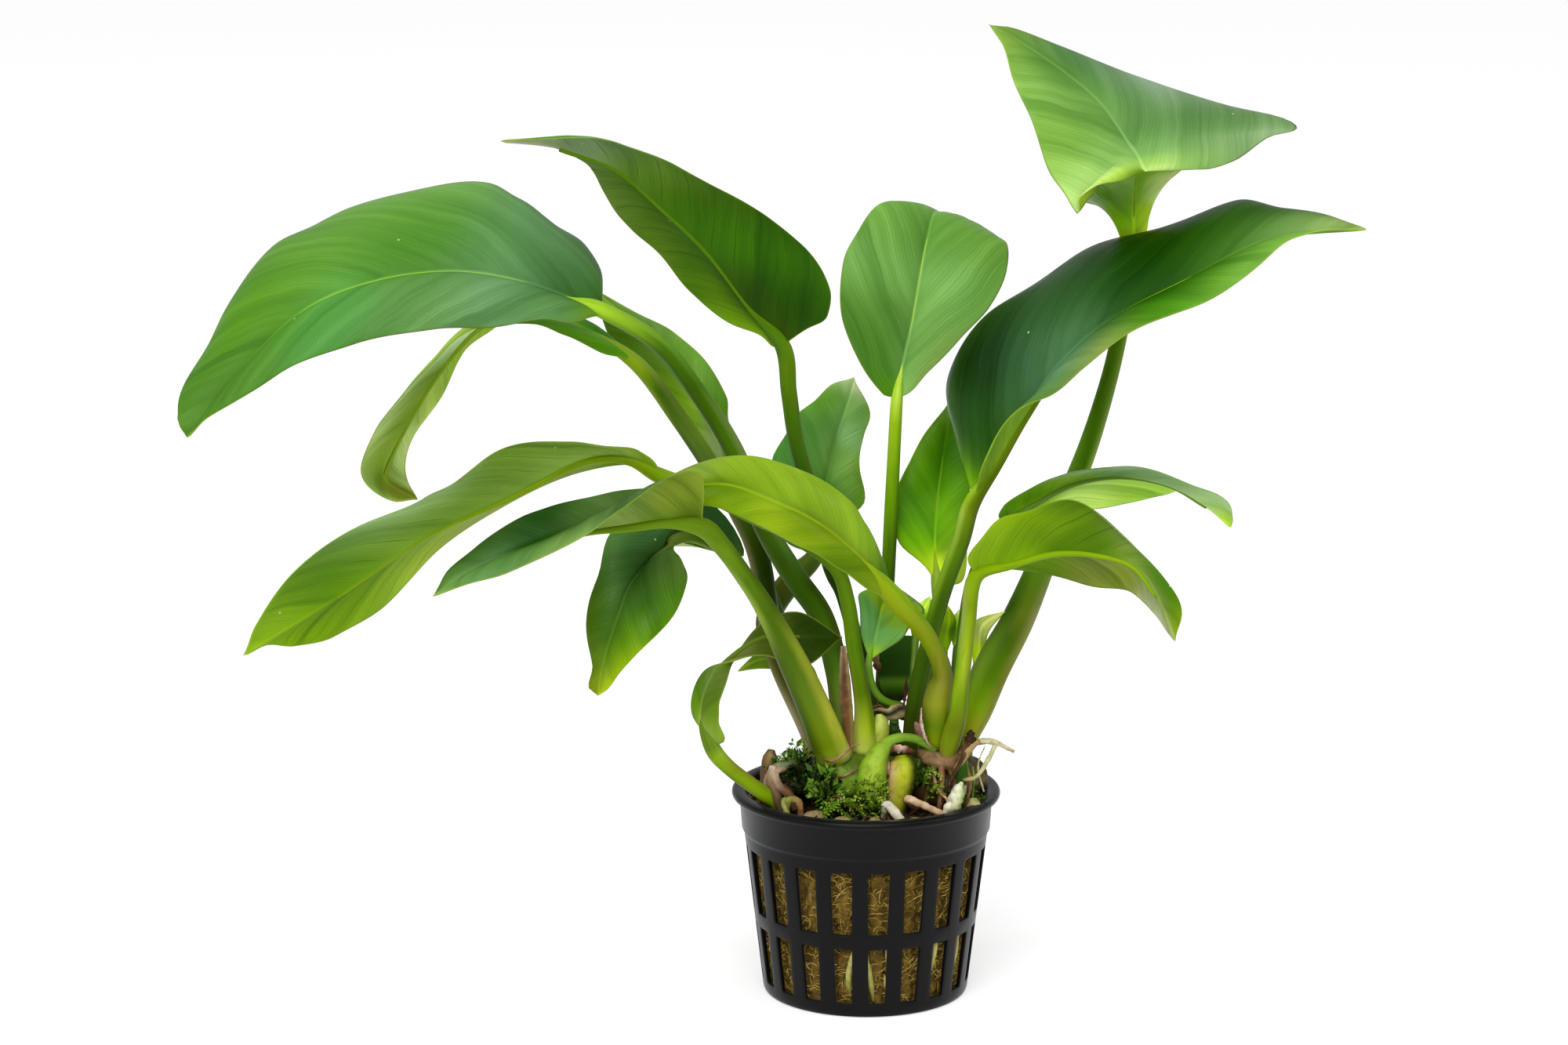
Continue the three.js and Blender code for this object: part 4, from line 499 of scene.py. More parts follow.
            (1.5, 1.2, 62), (0.8, 0.4, 65), (0.5, -1, 68.5)],
        rib=[(0.5, -1, 68.5), (1.5, -1, 72.5), (2.5, 0, 76.5), (3.5, 2, 79.5), (7, 5, 81.5)],
        left=[(0.5, -1, 68.5), (-1.5, -3, 75), (-2.5, -3, 81.5), (1, 0, 83), (7, 5, 81.5)],
        right=[(0.5, -1, 68.5), (7.5, 0, 72), (10, 2, 74.5), (12, 4, 77.5), (7, 5, 81.5)],
        left_trim=[(0.2, 0, 0), (0.42, 0.9, 0), (0.6, 0, 0)],
        right_trim=[(0, 0, 0), (0.2, -1, 0), (0.5, -1.2, 0), (0.8, 0, 0)],
        upper=[(0.06, -0.5, "86b824"), (0.06, 0.2, "92c010"), (0.2, -0.5, "5e924c"),
            (0.2, 0.5, "62903e"), (0.35, -0.5, "5c9050"), (0.35, 0.3, "588c42"), (0.5, -0.4, "4d7e35"),
            (0.5, 0.4, "5e801a"), (0.7, 0, "648208"), (0.93, 0.3, "576f39")],
        under=[(0.5, 0, "4f7a1e")],
        stalk=[(0, "1c3006", "1c3006", "1c3006"), (0.26, "2a4a0c", "2f5a10", "24400a"),
            (0.38, "5a8610", "76a424", "5a8610"), (1, "8fc83c", "8fc83c", "7ab82c")],
    ),
    leaf_loop=dict(
        slot="leaf_green", radii=[1.5, 1.5, 1.5, 1.5, 1.6], crown=0.1, lift=1.25, stalk_painted_light_gain=1.3,
        stem=[(-16.5, -11.5, 38), (-18, -12.5, 42), (-22.5, -15, 46.2), (-27.2, -16, 50.2),
            (-30.6, -15, 54)],
        rib=[(-30.6, -15, 54), (-33, -14, 60), (-31, -13, 67.5), (-26, -11, 71.5), (-20.5, -9.5, 75),
            (-13.5, -8.5, 75), (-5, -3, 73.5)],
        left=[(-30.6, -15, 54), (-35, -12.5, 61), (-32.5, -11, 68.5), (-26, -13, 71.5), (-20, -12, 72),
            (-12.5, -11, 69.5), (-5, -3, 73.5)],
        right=[(-30.6, -15, 54), (-30, -16, 61), (-28, -15, 67), (-26, -9, 71.5), (-21, -7, 77.5),
            (-13.5, -6, 79.5), (-5, -3, 73.5)],
        left_trim=[(0, 0, 0), (0.05, 0.8, 0.4), (0.15, 0.2, 0.1), (0.3, 0, 0)],
        right_trim=[(0, 0, 0), (0.05, 2.4, -0.4), (0.15, 0.8, -0.2), (0.25, 0.1, 0)],
        upper=[(0.06, 0, "9ab04e"), (0.06, 0.6, "78962a"), (0.2, -0.6, "5f8808"), (0.2, 0.5, "5a7c10"),
            (0.35, 0, "627f35"), (0.35, 0.6, "5a7124"), (0.9, 0, "466a14")],
        under=[(0.3, 0, "6f8a24"), (0.5, 0, "7c8248"), (0.65, 0, "4d600a"), (0.93, 0, "2c4204")],
        stalk=[(0, "8a8a30", "9a9a3c", "7a7a2c"), (0.3, "627d02", "779805", "759505"),
            (0.7, "5b7401", "728e04", "7b831a"), (0.9, "7a9c10", "7a9c10", "8aa82c"),
            (1, "5f7c18", "5f7c18", "6a8a20")],
    ),
    leaf_small_left=dict(
        slot="leaf_dark", radii=[1, 0.9, 0.8], crown=0.06, lift=1.7,
        stem=[(-9.5, 12.5, 41), (-10, 13.5, 56), (-10.5, 14.5, 61), (-12.5, 16, 63.5)],
        rib=[(-12.5, 16, 63.5), (-16.5, 16.5, 64.5), (-21.5, 16.5, 64), (-26, 17, 61.5)],
        left=[(-12.5, 16, 63.5), (-16.5, 15, 62.5), (-21.5, 15, 62.5), (-26, 17, 61.5)],
        right=[(-12.5, 16, 63.5), (-15.5, 17.5, 67), (-21.5, 18, 65.5), (-26, 17, 61.5)],
        upper=[(0.2, 0, "5a7a14"), (0.7, 0, "5f7d14"), (0.95, 0, "6e821d")],
        under=[(0.5, 0, "4f7a1e")],
        stalk=[(0, "9aa83c"), (0.15, "6f8f2c"), (0.6, "4a7318"), (1, "6d9a34")],
    ),
    leaf_new_left=dict(
        slot="leaf_bright", radii=[1, 0.9, 0.8], crown=0.06, lift=4.4,
        stem=[(9.5, 11, 41), (9.5, 12, 60.5), (10, 12, 68)],
        rib=[(10, 12, 68), (11, 12, 72), (11.5, 12, 75.5), (13, 12, 78.5)],
        left=[(10, 12, 68), (9, 11, 72.5), (10, 11, 76.5), (13, 12, 78.5)],
        right=[(10, 12, 68), (12, 12, 71), (13.5, 13, 75), (13, 12, 78.5)],
        upper=[(0.06, 0, "869c06"), (0.2, 0, "6c7a08"), (0.5, 0, "56800a"), (0.8, 0, "98b636"),
            (0.95, 0, "90ac40")],
        under=[(0.5, 0, "7e9a20")],
        stalk=[(0, "5a7014", "5a7014", "5a7014"), (0.6, "8ab020", "9cc02c", "7a9c14"),
            (1, "a8c838", "b4cc50", "8aac1c")],
    ),
    leaf_new_right=dict(
        slot="leaf_bright", radii=[1, 0.9, 0.8], crown=0.06, lift=2.4,
        stem=[(14, 3.5, 41), (14.5, 3.5, 61), (15.5, 3.5, 67)],
        rib=[(15.5, 3.5, 67), (16, 3.5, 71.5), (16.5, 3.5, 75.5), (16, 4, 79)],
        left=[(15.5, 3.5, 67), (14.5, 3.5, 71.5), (15, 3.5, 76.5), (16, 4, 79)],
        right=[(15.5, 3.5, 67), (17, 3, 71), (18, 3.5, 75.5), (16, 4, 79)],
        upper=[(0.1, 0, "6a8706"), (0.35, 0, "648802"), (0.5, -0.2, "557a02"), (0.5, 0.6, "325200"),
            (0.65, 0, "6c8c06"), (0.9, 0, "708b0c")],
        under=[(0.5, 0, "7e9a20")],
        stalk=[(0, "a9b84a"), (0.15, "8aa838"), (0.6, "7a9e2e"), (1, "8fb038")],
    ),
    leaf_small_dark=dict(
        slot="leaf_dark", radii=[0.9, 0.8, 0.8], crown=0.06, lift=3.8,
        stem=[(17, 12.5, 41), (18, 13, 58.5), (18.5, 14, 66)],
        rib=[(18.5, 14, 66), (18.5, 14, 69), (19, 14, 72.5), (19, 15, 75)],
        left=[(18.5, 14, 66), (17.5, 14, 69), (17.5, 14, 73), (19, 15, 75)],
        right=[(18.5, 14, 66), (20, 14, 69), (20, 15, 72.5), (19, 15, 75)],
        upper=[(0.06, 0, "a0cc10"), (0.2, 0, "648705"), (0.35, 0, "446e00"), (0.5, -0.2, "2c4e00"),
            (0.5, 0.4, "62880a"), (0.65, 0, "5c840c"), (0.8, 0, "688328"), (0.95, 0, "889c60")],
        under=[(0.5, 0, "4f7a1e")],
        stalk=[(0, "9aa83c"), (0.15, "6f8f2c"), (0.6, "4a7318"), (1, "6d9a34")],
    ),
    leaf_small_olive=dict(
        slot="leaf_bright", radii=[1, 0.9, 0.9], crown=0.06, lift=3.7,
        stem=[(20.5, 9, 41), (21.5, 9, 56.5), (22, 9, 63)],
        rib=[(22, 9, 63), (23, 8, 68), (23.5, 7, 73.5), (28, 5, 77)],
        left=[(22, 9, 63), (21.5, 9, 68.5), (22, 9, 74), (28, 5, 77)],
        right=[(22, 9, 63), (24, 7, 68), (24.8, 6, 72.5), (28, 5, 77)],
        upper=[(0.06, -0.4, "abbd16"), (0.06, 0.4, "7a920c"), (0.2, 0, "a2be0a"),
            (0.35, -0.2, "97b010"), (0.35, 0.6, "748a18"), (0.5, 0, "7e8a3c"), (0.65, 0, "848e46"),
            (0.8, 0, "808a42"), (0.95, 0, "7e8a3c")],
        under=[(0.5, 0, "7e9a20")],
        stalk=[(0, "a9b84a"), (0.15, "8aa838"), (0.6, "7a9e2e"), (1, "8fb038")],
    ),
    leaf_small_front=dict(
        slot="leaf_dark", radii=[0.8, 0.8], crown=0.06,
        stem=[(18.6, -12.6, 38.5), (18, -12.8, 44.8)],
        rib=[(18, -12.8, 44.8), (18, -13.2, 47), (18.5, -13.4, 49.6), (19.4, -13.2, 52.4)],
        left=[(18, -12.8, 44.8), (16.3, -12.4, 46.8), (17.2, -12.8, 49.6), (19.4, -13.2, 52.4)],
        right=[(18, -12.8, 44.8), (19.9, -12.6, 46.8), (20, -12.8, 49.6), (19.4, -13.2, 52.4)],
        upper=[(0.06, 0, "2c4a0c"), (0.2, 0, "24480a"), (0.5, -0.3, "1e440a"), (0.5, 0.5, "345c12"),
            (0.95, 0, "4a6a20")],
        under=[(0.06, 0, "2c4a0c"), (0.5, -0.3, "1e440a"), (0.5, 0.5, "345c12"), (0.95, 0, "4a6a20")],
        stalk=[(0, "2a3c0c", "2a3c0c", "2a3c0c"), (1, "3c5414", "3c5414", "3c5414")],
    ),
)

# The creeping stem: its main run, the mossy arching branch, the swollen stub and the green bud
# Their left and right shades paint highlights and a shaded side onto the arching branch, the stub and
# the bud.
RHIZOME_RUNS = [
    dict(points=[(-11, -8, 45), (-5, -8, 46), (2, -6, 45.5), (9, -4, 45), (14.5, -8, 44.5),
                 (21.5, 0, 44.5)],
         radii=[2.6, 4.9, 4.4, 4, 4.4, 3.8], bumps=0.3, scar=0.22, wear=0.5,
         shades=[(0, "4a5a14", "5f7a1c", "5a7a1c"), (0.2, "6a8a1c", "8cb02a", "7a9c24"),
                 (0.45, "5a7a1c", "6f8a24", "4a5a1c"), (0.7, "4a3c1c", "6a4c2c", "7a5c3c"),
                 (1, "4a3a1c", "5a4824", "4a3a1c")]),
    dict(points=[(0.6, -14.4, 42), (0.7, -14.5, 46), (1.2, -14, 49.5), (2.3, -13.4, 52.4),
                 (4.4, -12.4, 54.6),
                 (6.8, -11.8, 55.2), (9.2, -11.4, 54.9), (11.4, -11.2, 53.9), (13.4, -11, 52.4)],
         radii=[2.7, 3, 2.8, 2.1, 1.25, 1, 0.95, 0.95, 0.9], bumps=0.16, scar=0.02, wear=0.15,
         shades=[(0, "7a9c1c", "9cbc28", "8cae20"), (0.3, "9ac42c", "b0d038", "84ac20"),
                 (0.5, "9cc830", "8cb42c", "5f8c14"), (0.65, "8ab038", "78a024", "46700c"),
                 (0.85, "7a9c24", "6a9a18", "4c7410"), (1, "6a7a20", "6a7a20", "5a6a1c")]),
    dict(points=[(5.6, -14.2, 40), (6.1, -13.8, 43.5), (6.9, -13.2, 47.6), (7.1, -12.4, 50.4),
                 (6.9, -12, 51.8)],
         radii=[1.7, 2.4, 2.85, 2.5, 1.3], bumps=0.1, scar=0.03, wear=0.08,
         shades=[(0, "c8b468", "a0a028", "5a5418"), (0.3, "d8b868", "b0b424", "4a5408"),
                 (0.6, "f0cc88", "c4cc20", "465404"), (0.8, "c8b040", "b0c41c", "324301"),
                 (1, "7a5c1c", "8ca010", "242c04")]),
    dict(points=[(2.2, -4, 50), (2.4, -4, 53.5), (2.7, -3.8, 56.2), (2.5, -3.4, 57.9)],
         radii=[1.9, 2.05, 1.75, 0.6], bumps=0.04, scar=0, wear=0.05,
         shades=[(0, "8aa41c", "b0c43c", "9aac24"), (0.5, "a0bc14", "d8e45c", "bac73f"),
                 (1, "c0d458", "e0ec7c", "b4c840")]),
    dict(points=[(10.6, -9.4, 52), (13, -11.2, 50.8), (16.6, -11.4, 50.4), (18.8, -9.6, 52)],
         radii=[1.3, 1.6, 1.6, 1.3], bumps=0.5, scar=0.1, wear=0.4,
         shades=[(0, "6a5428"), (0.4, "9a7a54"), (0.7, "8a6644"), (1, "5a3c24")]),
]

# Bud sheath, old brown stub and the loose roots, each with its shades from foot to tip
# Near-black shades low on the roots and the stub are painted shade where they go down into the pot; the
# palest root shades are in part painted highlights.
SHOOTS = dict(
    bud_sheath=dict(points=[(-3.2, -8.8, 49.6), (-3.9, -9, 58), (-4.5, -9.4, 66), (-4.8, -9.8, 73.4)],
                    radii=[0.4, 1.2, 1.15, 0.5],
                    shades=[(0, "9a8a3c", "8a6a3c", "c8c060"), (0.35, "6a5c24", "7a4c2c", "a89048"),
                            (0.7, "8a7a48", "643a22", "a88c5c"), (1, "c8a898", "8a6448", "b8a068")]),
    old_rhizome_stub=dict(points=[(9, 6, 40), (9.4, 5, 50), (9, 3.4, 55.4), (7.3, 2.2, 56.8),
                                  (5.8, 1.6, 56.9),
                                  (4.2, 1.2, 56.9), (2.6, 1, 57.7), (0.8, 1, 57.6)],
                          radii=[0.9, 1, 1.3, 1.5, 1.45, 1.15, 0.85, 0.4], twist=0.22,
                          shades=[(0, "2a1c0c"), (0.3, "4a3a1c"), (0.45, "8a7a4c"), (0.7, "b0a06c"),
                                  (0.85, "9a8254"), (1, "6a5430")]),
    root_right_pale=dict(points=[(14.2, -14.6, 40), (16.4, -14.4, 47), (20.6, -13.4, 54),
                                 (24.5, -13.6, 55), (29, -14, 53)],
                         radii=[0.4, 0.35, 0.5, 0.6, 0.3],
                         shades=[(0, "2a1a0c"), (0.4, "4a3018"), (0.52, "8a7448"), (0.62, "c8c890"),
                                 (0.9, "e0d0a8"), (1, "b08c64")],
                         branch=dict(points=[(25.6, -13.6, 55), (23.6, -14.3, 51), (21.4, -15, 48.2),
                                             (18.8, -15.4, 47.6)],
                                     radii=[0.5, 0.5, 0.4, 0.3],
                                     shades=[(0, "d8d4a8"), (0.7, "c4c484"), (1, "8a5a34")])),
    root_left_knob=dict(points=[(-20, -4, 37.5), (-20.4, -4, 44), (-19.4, -4, 48.6), (-19, -4, 50.6)],
                        radii=[1.1, 1, 1.5, 0.8],
                        shades=[(0, "4a3418"), (0.5, "6a4c2a", "8a6c3c", "6a4c2a"),
                                (0.85, "8a6c3c", "b49a60", "7a5c34"),
                                (1, "7a5c34", "a08450", "5a4020")]),
    root_left_arch=dict(points=[(-12.6, -5.6, 39), (-13.4, -6.6, 48), (-18, -7.8, 47.8),
                                (-19.6, -8.8, 44), (-18.6, -8.6, 38)],
                        radii=[0.9, 0.8, 1.1, 1.1, 0.9],
                        shades=[(0, "3a2c14"), (0.3, "5c6a2c"), (0.45, "8a9468"), (0.6, "c8a48c"),
                                (0.8, "8a5a3c"), (1, "3a2010")]),
    root_left_thick=dict(points=[(-13, -12, 38), (-15, -11.4, 42.6), (-16.8, -10.8, 45)],
                         radii=[1.6, 1.7, 1.1],
                         shades=[(0, "241408"), (0.5, "4a3018", "6a4c2c", "2c1c0c"),
                                 (1, "7a5c40", "94745a", "4a3420")]),
    root_left_loop=dict(points=[(-15.6, -15.4, 37), (-15.8, -15.6, 43), (-13.6, -15.8, 43.2),
                                (-13, -15.8, 38)],
                        radii=[0.7, 0.7, 0.7, 0.7],
                        shades=[(0, "5a3a20"), (0.4, "9a9c3c"), (0.7, "a87c50"), (1, "4a2c18")]),
    root_front_stick=dict(points=[(9.6, -14.4, 41.6), (8, -16.8, 44.1), (12, -17.3, 42.5),
                                  (16.2, -17.4, 40.4)],
                          radii=[0.7, 0.8, 0.75, 0.7],
                          shades=[(0, "8a5a30"), (0.25, "d89c60"), (0.35, "e8c8a0"), (0.8, "d8b48c"),
                                  (1, "b08c60")]),
    root_front_white=dict(points=[(3, -16.8, 39.4), (3.6, -17.4, 43), (5.6, -18.8, 41.6),
                                  (7.4, -19.8, 39)],
                          radii=[0.4, 0.9, 0.95, 0.8],
                          shades=[(0, "8a8450"), (0.3, "e8e8c8"), (0.7, "f0e8cc"), (1, "b8ac7c")]),
    root_right_chunk=dict(points=[(18.4, -9.6, 37.6), (18.2, -9.8, 42), (18.6, -9.4, 45)],
                          radii=[1.4, 1.8, 1.2], shades=[(0, "8a8450"), (0.6, "e0dcb4"),
                                                         (1, "f4f0d8")]),
)

# Finer roots that only the dressed part has: bundles under the stalks and pale pieces at the rim
# The near-black shades at the rootlets' lower ends are painted shade.
ROOTLETS = [
    dict(points=[(-18.7, -11.6, 49.4), (-19.1, -12.6, 47), (-17.9, -14.4, 44), (-17, -15.2, 40.6)],
         radii=[0.7, 1, 0.95, 0.9], shades=[(0, "e0ccb4"), (0.3, "a08460"), (0.6, "6a5034"),
                                            (1, "30200e")]),
    dict(points=[(-16.2, -11.4, 49), (-18.2, -12.4, 48.2), (-17.6, -13.6, 46), (-15.1, -14.8, 44),
                 (-14.2, -15.8, 41.4)],
         radii=[0.5, 0.8, 0.9, 0.9, 0.8],
         shades=[(0, "8a6a4c"), (0.3, "d4b898"), (0.6, "6e4c30"), (1, "301c0c")]),
    dict(points=[(-15.2, -14.6, 43.6), (-16.6, -15.4, 43.2), (-15.8, -16.4, 41), (-14.4, -16.8, 39.6)],
         radii=[0.5, 0.55, 0.55, 0.4], shades=[(0, "7a8a3c"), (0.5, "a8a85c"), (1, "6a5a2c")]),
    dict(points=[(14.8, -12, 50.5), (14.6, -13.4, 46), (14.2, -15, 41)],
         radii=[0.8, 0.6, 0.5], shades=[(0, "8a5c38"), (0.5, "a8804c"), (1, "3a200c")]),
    dict(points=[(15.8, -11.8, 50.5), (17.2, -13, 46.4), (17, -14.5, 41.5)],
         radii=[0.7, 0.55, 0.4], shades=[(0, "7a4e30"), (0.5, "6a4424"), (1, "2a1408")]),
    dict(points=[(13.6, -12, 50), (12.2, -13.4, 46.5), (11.4, -15, 42)],
         radii=[0.6, 0.45, 0.35], shades=[(0, "6e5a24"), (1, "3a2c0c")]),
    dict(points=[(17.5, -11, 52), (19.6, -12, 49.4), (20.4, -13, 45.5), (19.4, -14, 42)],
         radii=[0.6, 0.45, 0.35, 0.3], shades=[(0, "5a3a20"), (0.5, "94703c"), (1, "4a3010")]),
    dict(points=[(17.4, -13, 49), (19.4, -13.4, 52), (21.2, -13.4, 54.6), (23.4, -13.4, 54.9)],
         radii=[0.6, 0.7, 0.7, 0.5], shades=[(0, "9a7c44"), (0.5, "b89c64"), (1, "8a6c3c")]),
    dict(points=[(12.8, -12.4, 49), (14, -14.6, 45.4), (15.6, -15.8, 43.8), (16.2, -16.2, 41)],
         radii=[0.35, 0.3, 0.25, 0.2], shades=[(0, "a87a50"), (1, "d0ac7c")]),
    dict(points=[(20.8, -11.6, 41), (21.2, -11.2, 46), (21, -10.6, 49)],
         radii=[0.22, 0.22, 0.15], shades=[(0, "5a7a20"), (1, "8cae3c")]),
    dict(points=[(23.2, -11, 44), (22, -10.4, 49), (23.4, -9.6, 53)],
         radii=[0.2, 0.2, 0.08], shades=[(0, "b4b478"), (1, "ccc894")]),
    dict(points=[(-8.6, -15, 43), (-6, -16.6, 44.6), (-3.4, -17.8, 42.6), (-2, -18.4, 40)],
         radii=[0.3, 0.35, 0.3, 0.25], shades=[(0, "4c3010"), (1, "8a6a3c")]),
    dict(points=[(-1.4, -14.8, 43), (1.4, -16.2, 43.2), (3.8, -17.2, 41), (4.4, -18, 39.6)],
         radii=[0.5, 0.5, 0.4, 0.35], shades=[(0, "3c240c"), (1, "5a3c18")]),
    # A thick near-black green piece behind the bud, painted shade filling a dark gap.
    dict(points=[(5.4, 2.6, 44), (5.8, 1.8, 50), (5.6, 0.6, 55.6)], radii=[2, 1.8, 0.9], bumps=0.4,
         shades=[(0, "142404"), (0.6, "24400a"), (1, "3a5c14")]),
    dict(points=[(16.4, -16.4, 40), (17.2, -16.2, 43.4), (18.2, -15.8, 46), (18.6, -15.4, 47.2)],
         radii=[1.2, 1.5, 1.1, 0.4], bumps=0.4,
         shades=[(0, "a8a060"), (0.4, "f4f4dc", "e8ecc0", "a8b868"),
                 (0.8, "f8f8e8", "d8e0a8", "8aa040"),
                 (1, "e8e8c0")]),
    dict(points=[(15.4, -17.4, 40), (15.8, -17, 42.4), (16.6, -16.8, 43.6)],
         radii=[0.7, 0.8, 0.4], bumps=0.3, shades=[(0, "b8a870"), (0.6, "f0ecd0"), (1, "e0dcb0")]),
    dict(points=[(20.6, -12.6, 39), (21, -12.4, 41.4), (21, -12, 43)],
         radii=[1.6, 1.6, 0.8], bumps=0.3, shades=[(0, "7a6a34"), (0.6, "c8c084"), (1, "a8a05c")]),
]

# Pale roots seen behind the lower row of slots, as (angle round the pot in degrees, height) points
SLOT_ROOTS = [
    [(-99.5, 4), (-100.5, 8), (-98.5, 12), (-96, 17)],
    [(-86, 3), (-88, 7), (-90.5, 12), (-92, 17)],
    [(-74, 5), (-76, 9), (-78.6, 13), (-79, 18)],
    [(-76, 2), (-78, 6), (-80.5, 9)],
    [(-53, 7), (-50, 12), (-48.5, 18)],
    [(-33, 6), (-30, 11), (-29, 17)],
]

# Moss: tufts (centre, reach, strands, strand length, leaflet length, shades) and long fronds
# The near-black shades, and the tufts that have only dark shades, are painted shade in the gaps of the
# moss.
MOSS_TUFTS = [
    dict(at=(-11, -10.4, 44), reach=(3, 2.4, 2.4), strands=80, length=4.4, leaf=3,
         shades=["0a1402", "0c1802", "142604", "1e3a08", "3a6412"]),
    dict(at=(-8.4, -13.6, 44.4), reach=(1.2, 0.8, 1.8), strands=30, length=3.2, leaf=3,
         shades=["3a6410", "6c9a24", "8cb43c"]),
    dict(at=(-13.4, -5, 47), reach=(2.6, 2, 2), strands=60, length=3.6, leaf=2.2,
         shades=["142604", "24420a", "3a6412", "5a8a1c"]),
    dict(at=(-0.6, -17, 43), reach=(2.6, 0.8, 1.2), strands=80, length=2.4, leaf=1.3,
         shades=["1c3404", "5a8a14", "94b82c", "b8d048"]),
    dict(at=(0.8, -16.8, 45.6), reach=(2.2, 0.6, 2.4), strands=100, length=1.8, leaf=1.1,
         shades=["3a5c08", "8cb428", "b4d440", "cce460"]),
    dict(at=(11.4, -12.6, 46), reach=(1.3, 1.2, 2.2), strands=40, length=3, leaf=1.9,
         shades=["1e3a08", "3a5c0e", "6c8c1c"]),
    dict(at=(20.4, -9.4, 41.6), reach=(1.6, 1.6, 0.8), strands=26, length=3, leaf=1.9,
         shades=["3a6c12", "5c961c", "78b02c"]),
    dict(at=(-5, -16, 40.6), reach=(4, 1.6, 0.8), strands=60, length=3, leaf=2,
         shades=["0c1802", "142604", "345a0c", "6a9420"]),
    dict(at=(-17, -9, 41), reach=(2.6, 3, 1.2), strands=40, length=3, leaf=1.2,
         shades=["142404", "24420a"]),
    dict(at=(4, 12, 42), reach=(12, 6, 1), strands=90, length=4, leaf=1.5,
         shades=["24420a", "456f16", "5e8c1e"]),
    dict(at=(-2, -3, 46), reach=(8, 5, 2), strands=50, length=3, leaf=1.4,
         shades=["142604", "24420a"]),
]
MOSS_FRONDS = [
    [(-9.4, -18.4, 40.4), (-7, -18.8, 43.8), (-3.8, -19, 44.2), (-1, -19.4, 41.8)],
    [(-7.4, -18.6, 43.6), (-5.2, -19.2, 42.2), (-3.2, -19.8, 40.6)],
    [(-4.6, -18.8, 44.3), (-2, -18.6, 43.2), (1.6, -19.2, 43.4)],
    [(-13.4, -7, 48), (-15, -7.6, 50.4), (-17.8, -8, 50)],
    [(-11.6, -7, 50), (-12.6, -7.4, 53.2), (-11.4, -8, 54.4)],
    [(10.8, -14, 46), (12.4, -14.6, 49.4), (14.4, -14.8, 48.4)],
    [(-2.4, -15.4, 46), (-5, -16.4, 45.4), (-6.6, -17, 42.6)],
]

# Brown papery scales left by old leaves: a line of points, widest in the middle
# Their pale pink shades are in part painted highlights on the brown sheets.
SCALES = [
    dict(points=[(-9.4, -12, 51.6), (-8, -13.2, 50.9), (-6.8, -13.5, 50.8), (-5, -13.4, 52.1),
                 (-3, -12.4, 53.5),
                 (-1.2, -11.4, 54)], width=0.26,
         shades=[(0, "8a6040"), (0.3, "5a3018"), (0.6, "b88868"), (0.8, "8a5a3c"), (1, "c8a080")]),
    dict(points=[(-7.4, -13, 47.2), (-5.8, -13.4, 47.5), (-4.2, -13.4, 48), (-1.6, -12.6, 49.2)],
         width=0.3,
         shades=[(0, "3a1c0c"), (0.4, "6a3820"), (0.7, "b08068"), (1, "5a2c18")]),
    dict(points=[(4.1, -12, 51.4), (4.8, -12.9, 53.2), (6.6, -13.2, 53.4), (8.4, -12.8, 52.8),
                 (10, -12, 52.2)],
         width=0.8, shades=[(0, "4a2410"), (0.3, "6a3c20"), (0.5, "d8b4a0"), (0.65, "6a3c24"),
                            (1, "3a1c0c")]),
    dict(points=[(4.2, -13.4, 51.8), (4, -14, 49.8), (4.4, -14.6, 47.8)], width=0.35,
         shades=[(0, "4a2814"), (0.5, "c8907c"), (1, "5a3418")]),
    dict(points=[(10.6, -12.4, 61.6), (10.6, -12.6, 58.6), (11.3, -12.4, 55.6), (12.6, -12, 53)],
         width=0.32,
         shades=[(0, "c8a498"), (0.5, "dcc0b0"), (1, "8a6a48")]),
    dict(points=[(9.6, -8, 57.6), (10.2, -9, 55.6), (11.6, -10, 53.8)], width=0.8,
         shades=[(0, "a87c6c"), (1, "6a4430")]),
    dict(points=[(19.2, -13.2, 52.8), (20.2, -13.6, 55.2), (20.4, -13.4, 57.4)], width=1,
         shades=[(0, "7a5434"), (0.5, "3a2010"), (1, "2a160a")]),
    dict(points=[(1.2, 9.2, 68.4), (2, 8.6, 66), (2.8, 8.6, 63.6)], width=0.9,
         shades=[(0, "b09470"), (0.5, "a07858"), (1, "5a3420")]),
    dict(points=[(8, -0.6, 64.4), (7.8, -1, 61.6), (7.4, -1.4, 58.8)], width=0.4,
         shades=[(0, "3a1c14"), (1, "5a2c1c")]),
]

# Rounded grains just inside the front rim
GRAINS = dict(
    grain_1=dict(at=(-10.4, -18, 40.7), size=(2.6, 1.6, 1.4), turn=0.4),
    grain_2=dict(at=(-5, -19.8, 40.2), size=(2, 1.4, 1.2), turn=-0.2),
    grain_3=dict(at=(1.2, -20.2, 40.3), size=(1.6, 1.2, 1.1), turn=0.9),
    grain_4=dict(at=(9.4, -20, 40.2), size=(1.7, 1.1, 1.1), turn=0.1),
)


def smooth_line(points, u):
    """Places along a smooth line through the points, for u from 0 to 1."""
    knots = np.asarray(points, float)
    knots = knots.reshape(len(knots), -1)
    knots = np.vstack([2 * knots[0] - knots[1], knots, 2 * knots[-1] - knots[-2]])
    steps = len(points) - 1
    place = np.clip(np.asarray(u, float), 0, 1) * steps
    i = np.minimum(place.astype(int), steps - 1)
    w = (place - i)[:, None]
    before, here, ahead, after = knots[i], knots[i + 1], knots[i + 2], knots[i + 3]
    leave = 0.5 * (ahead - before)
    arrive = 0.5 * (after - here)
    bend = 3 * (ahead - here) - 2 * leave - arrive
    return here + leave * w + bend * w**2 + (2 * (here - ahead) + leave + arrive) * w**3


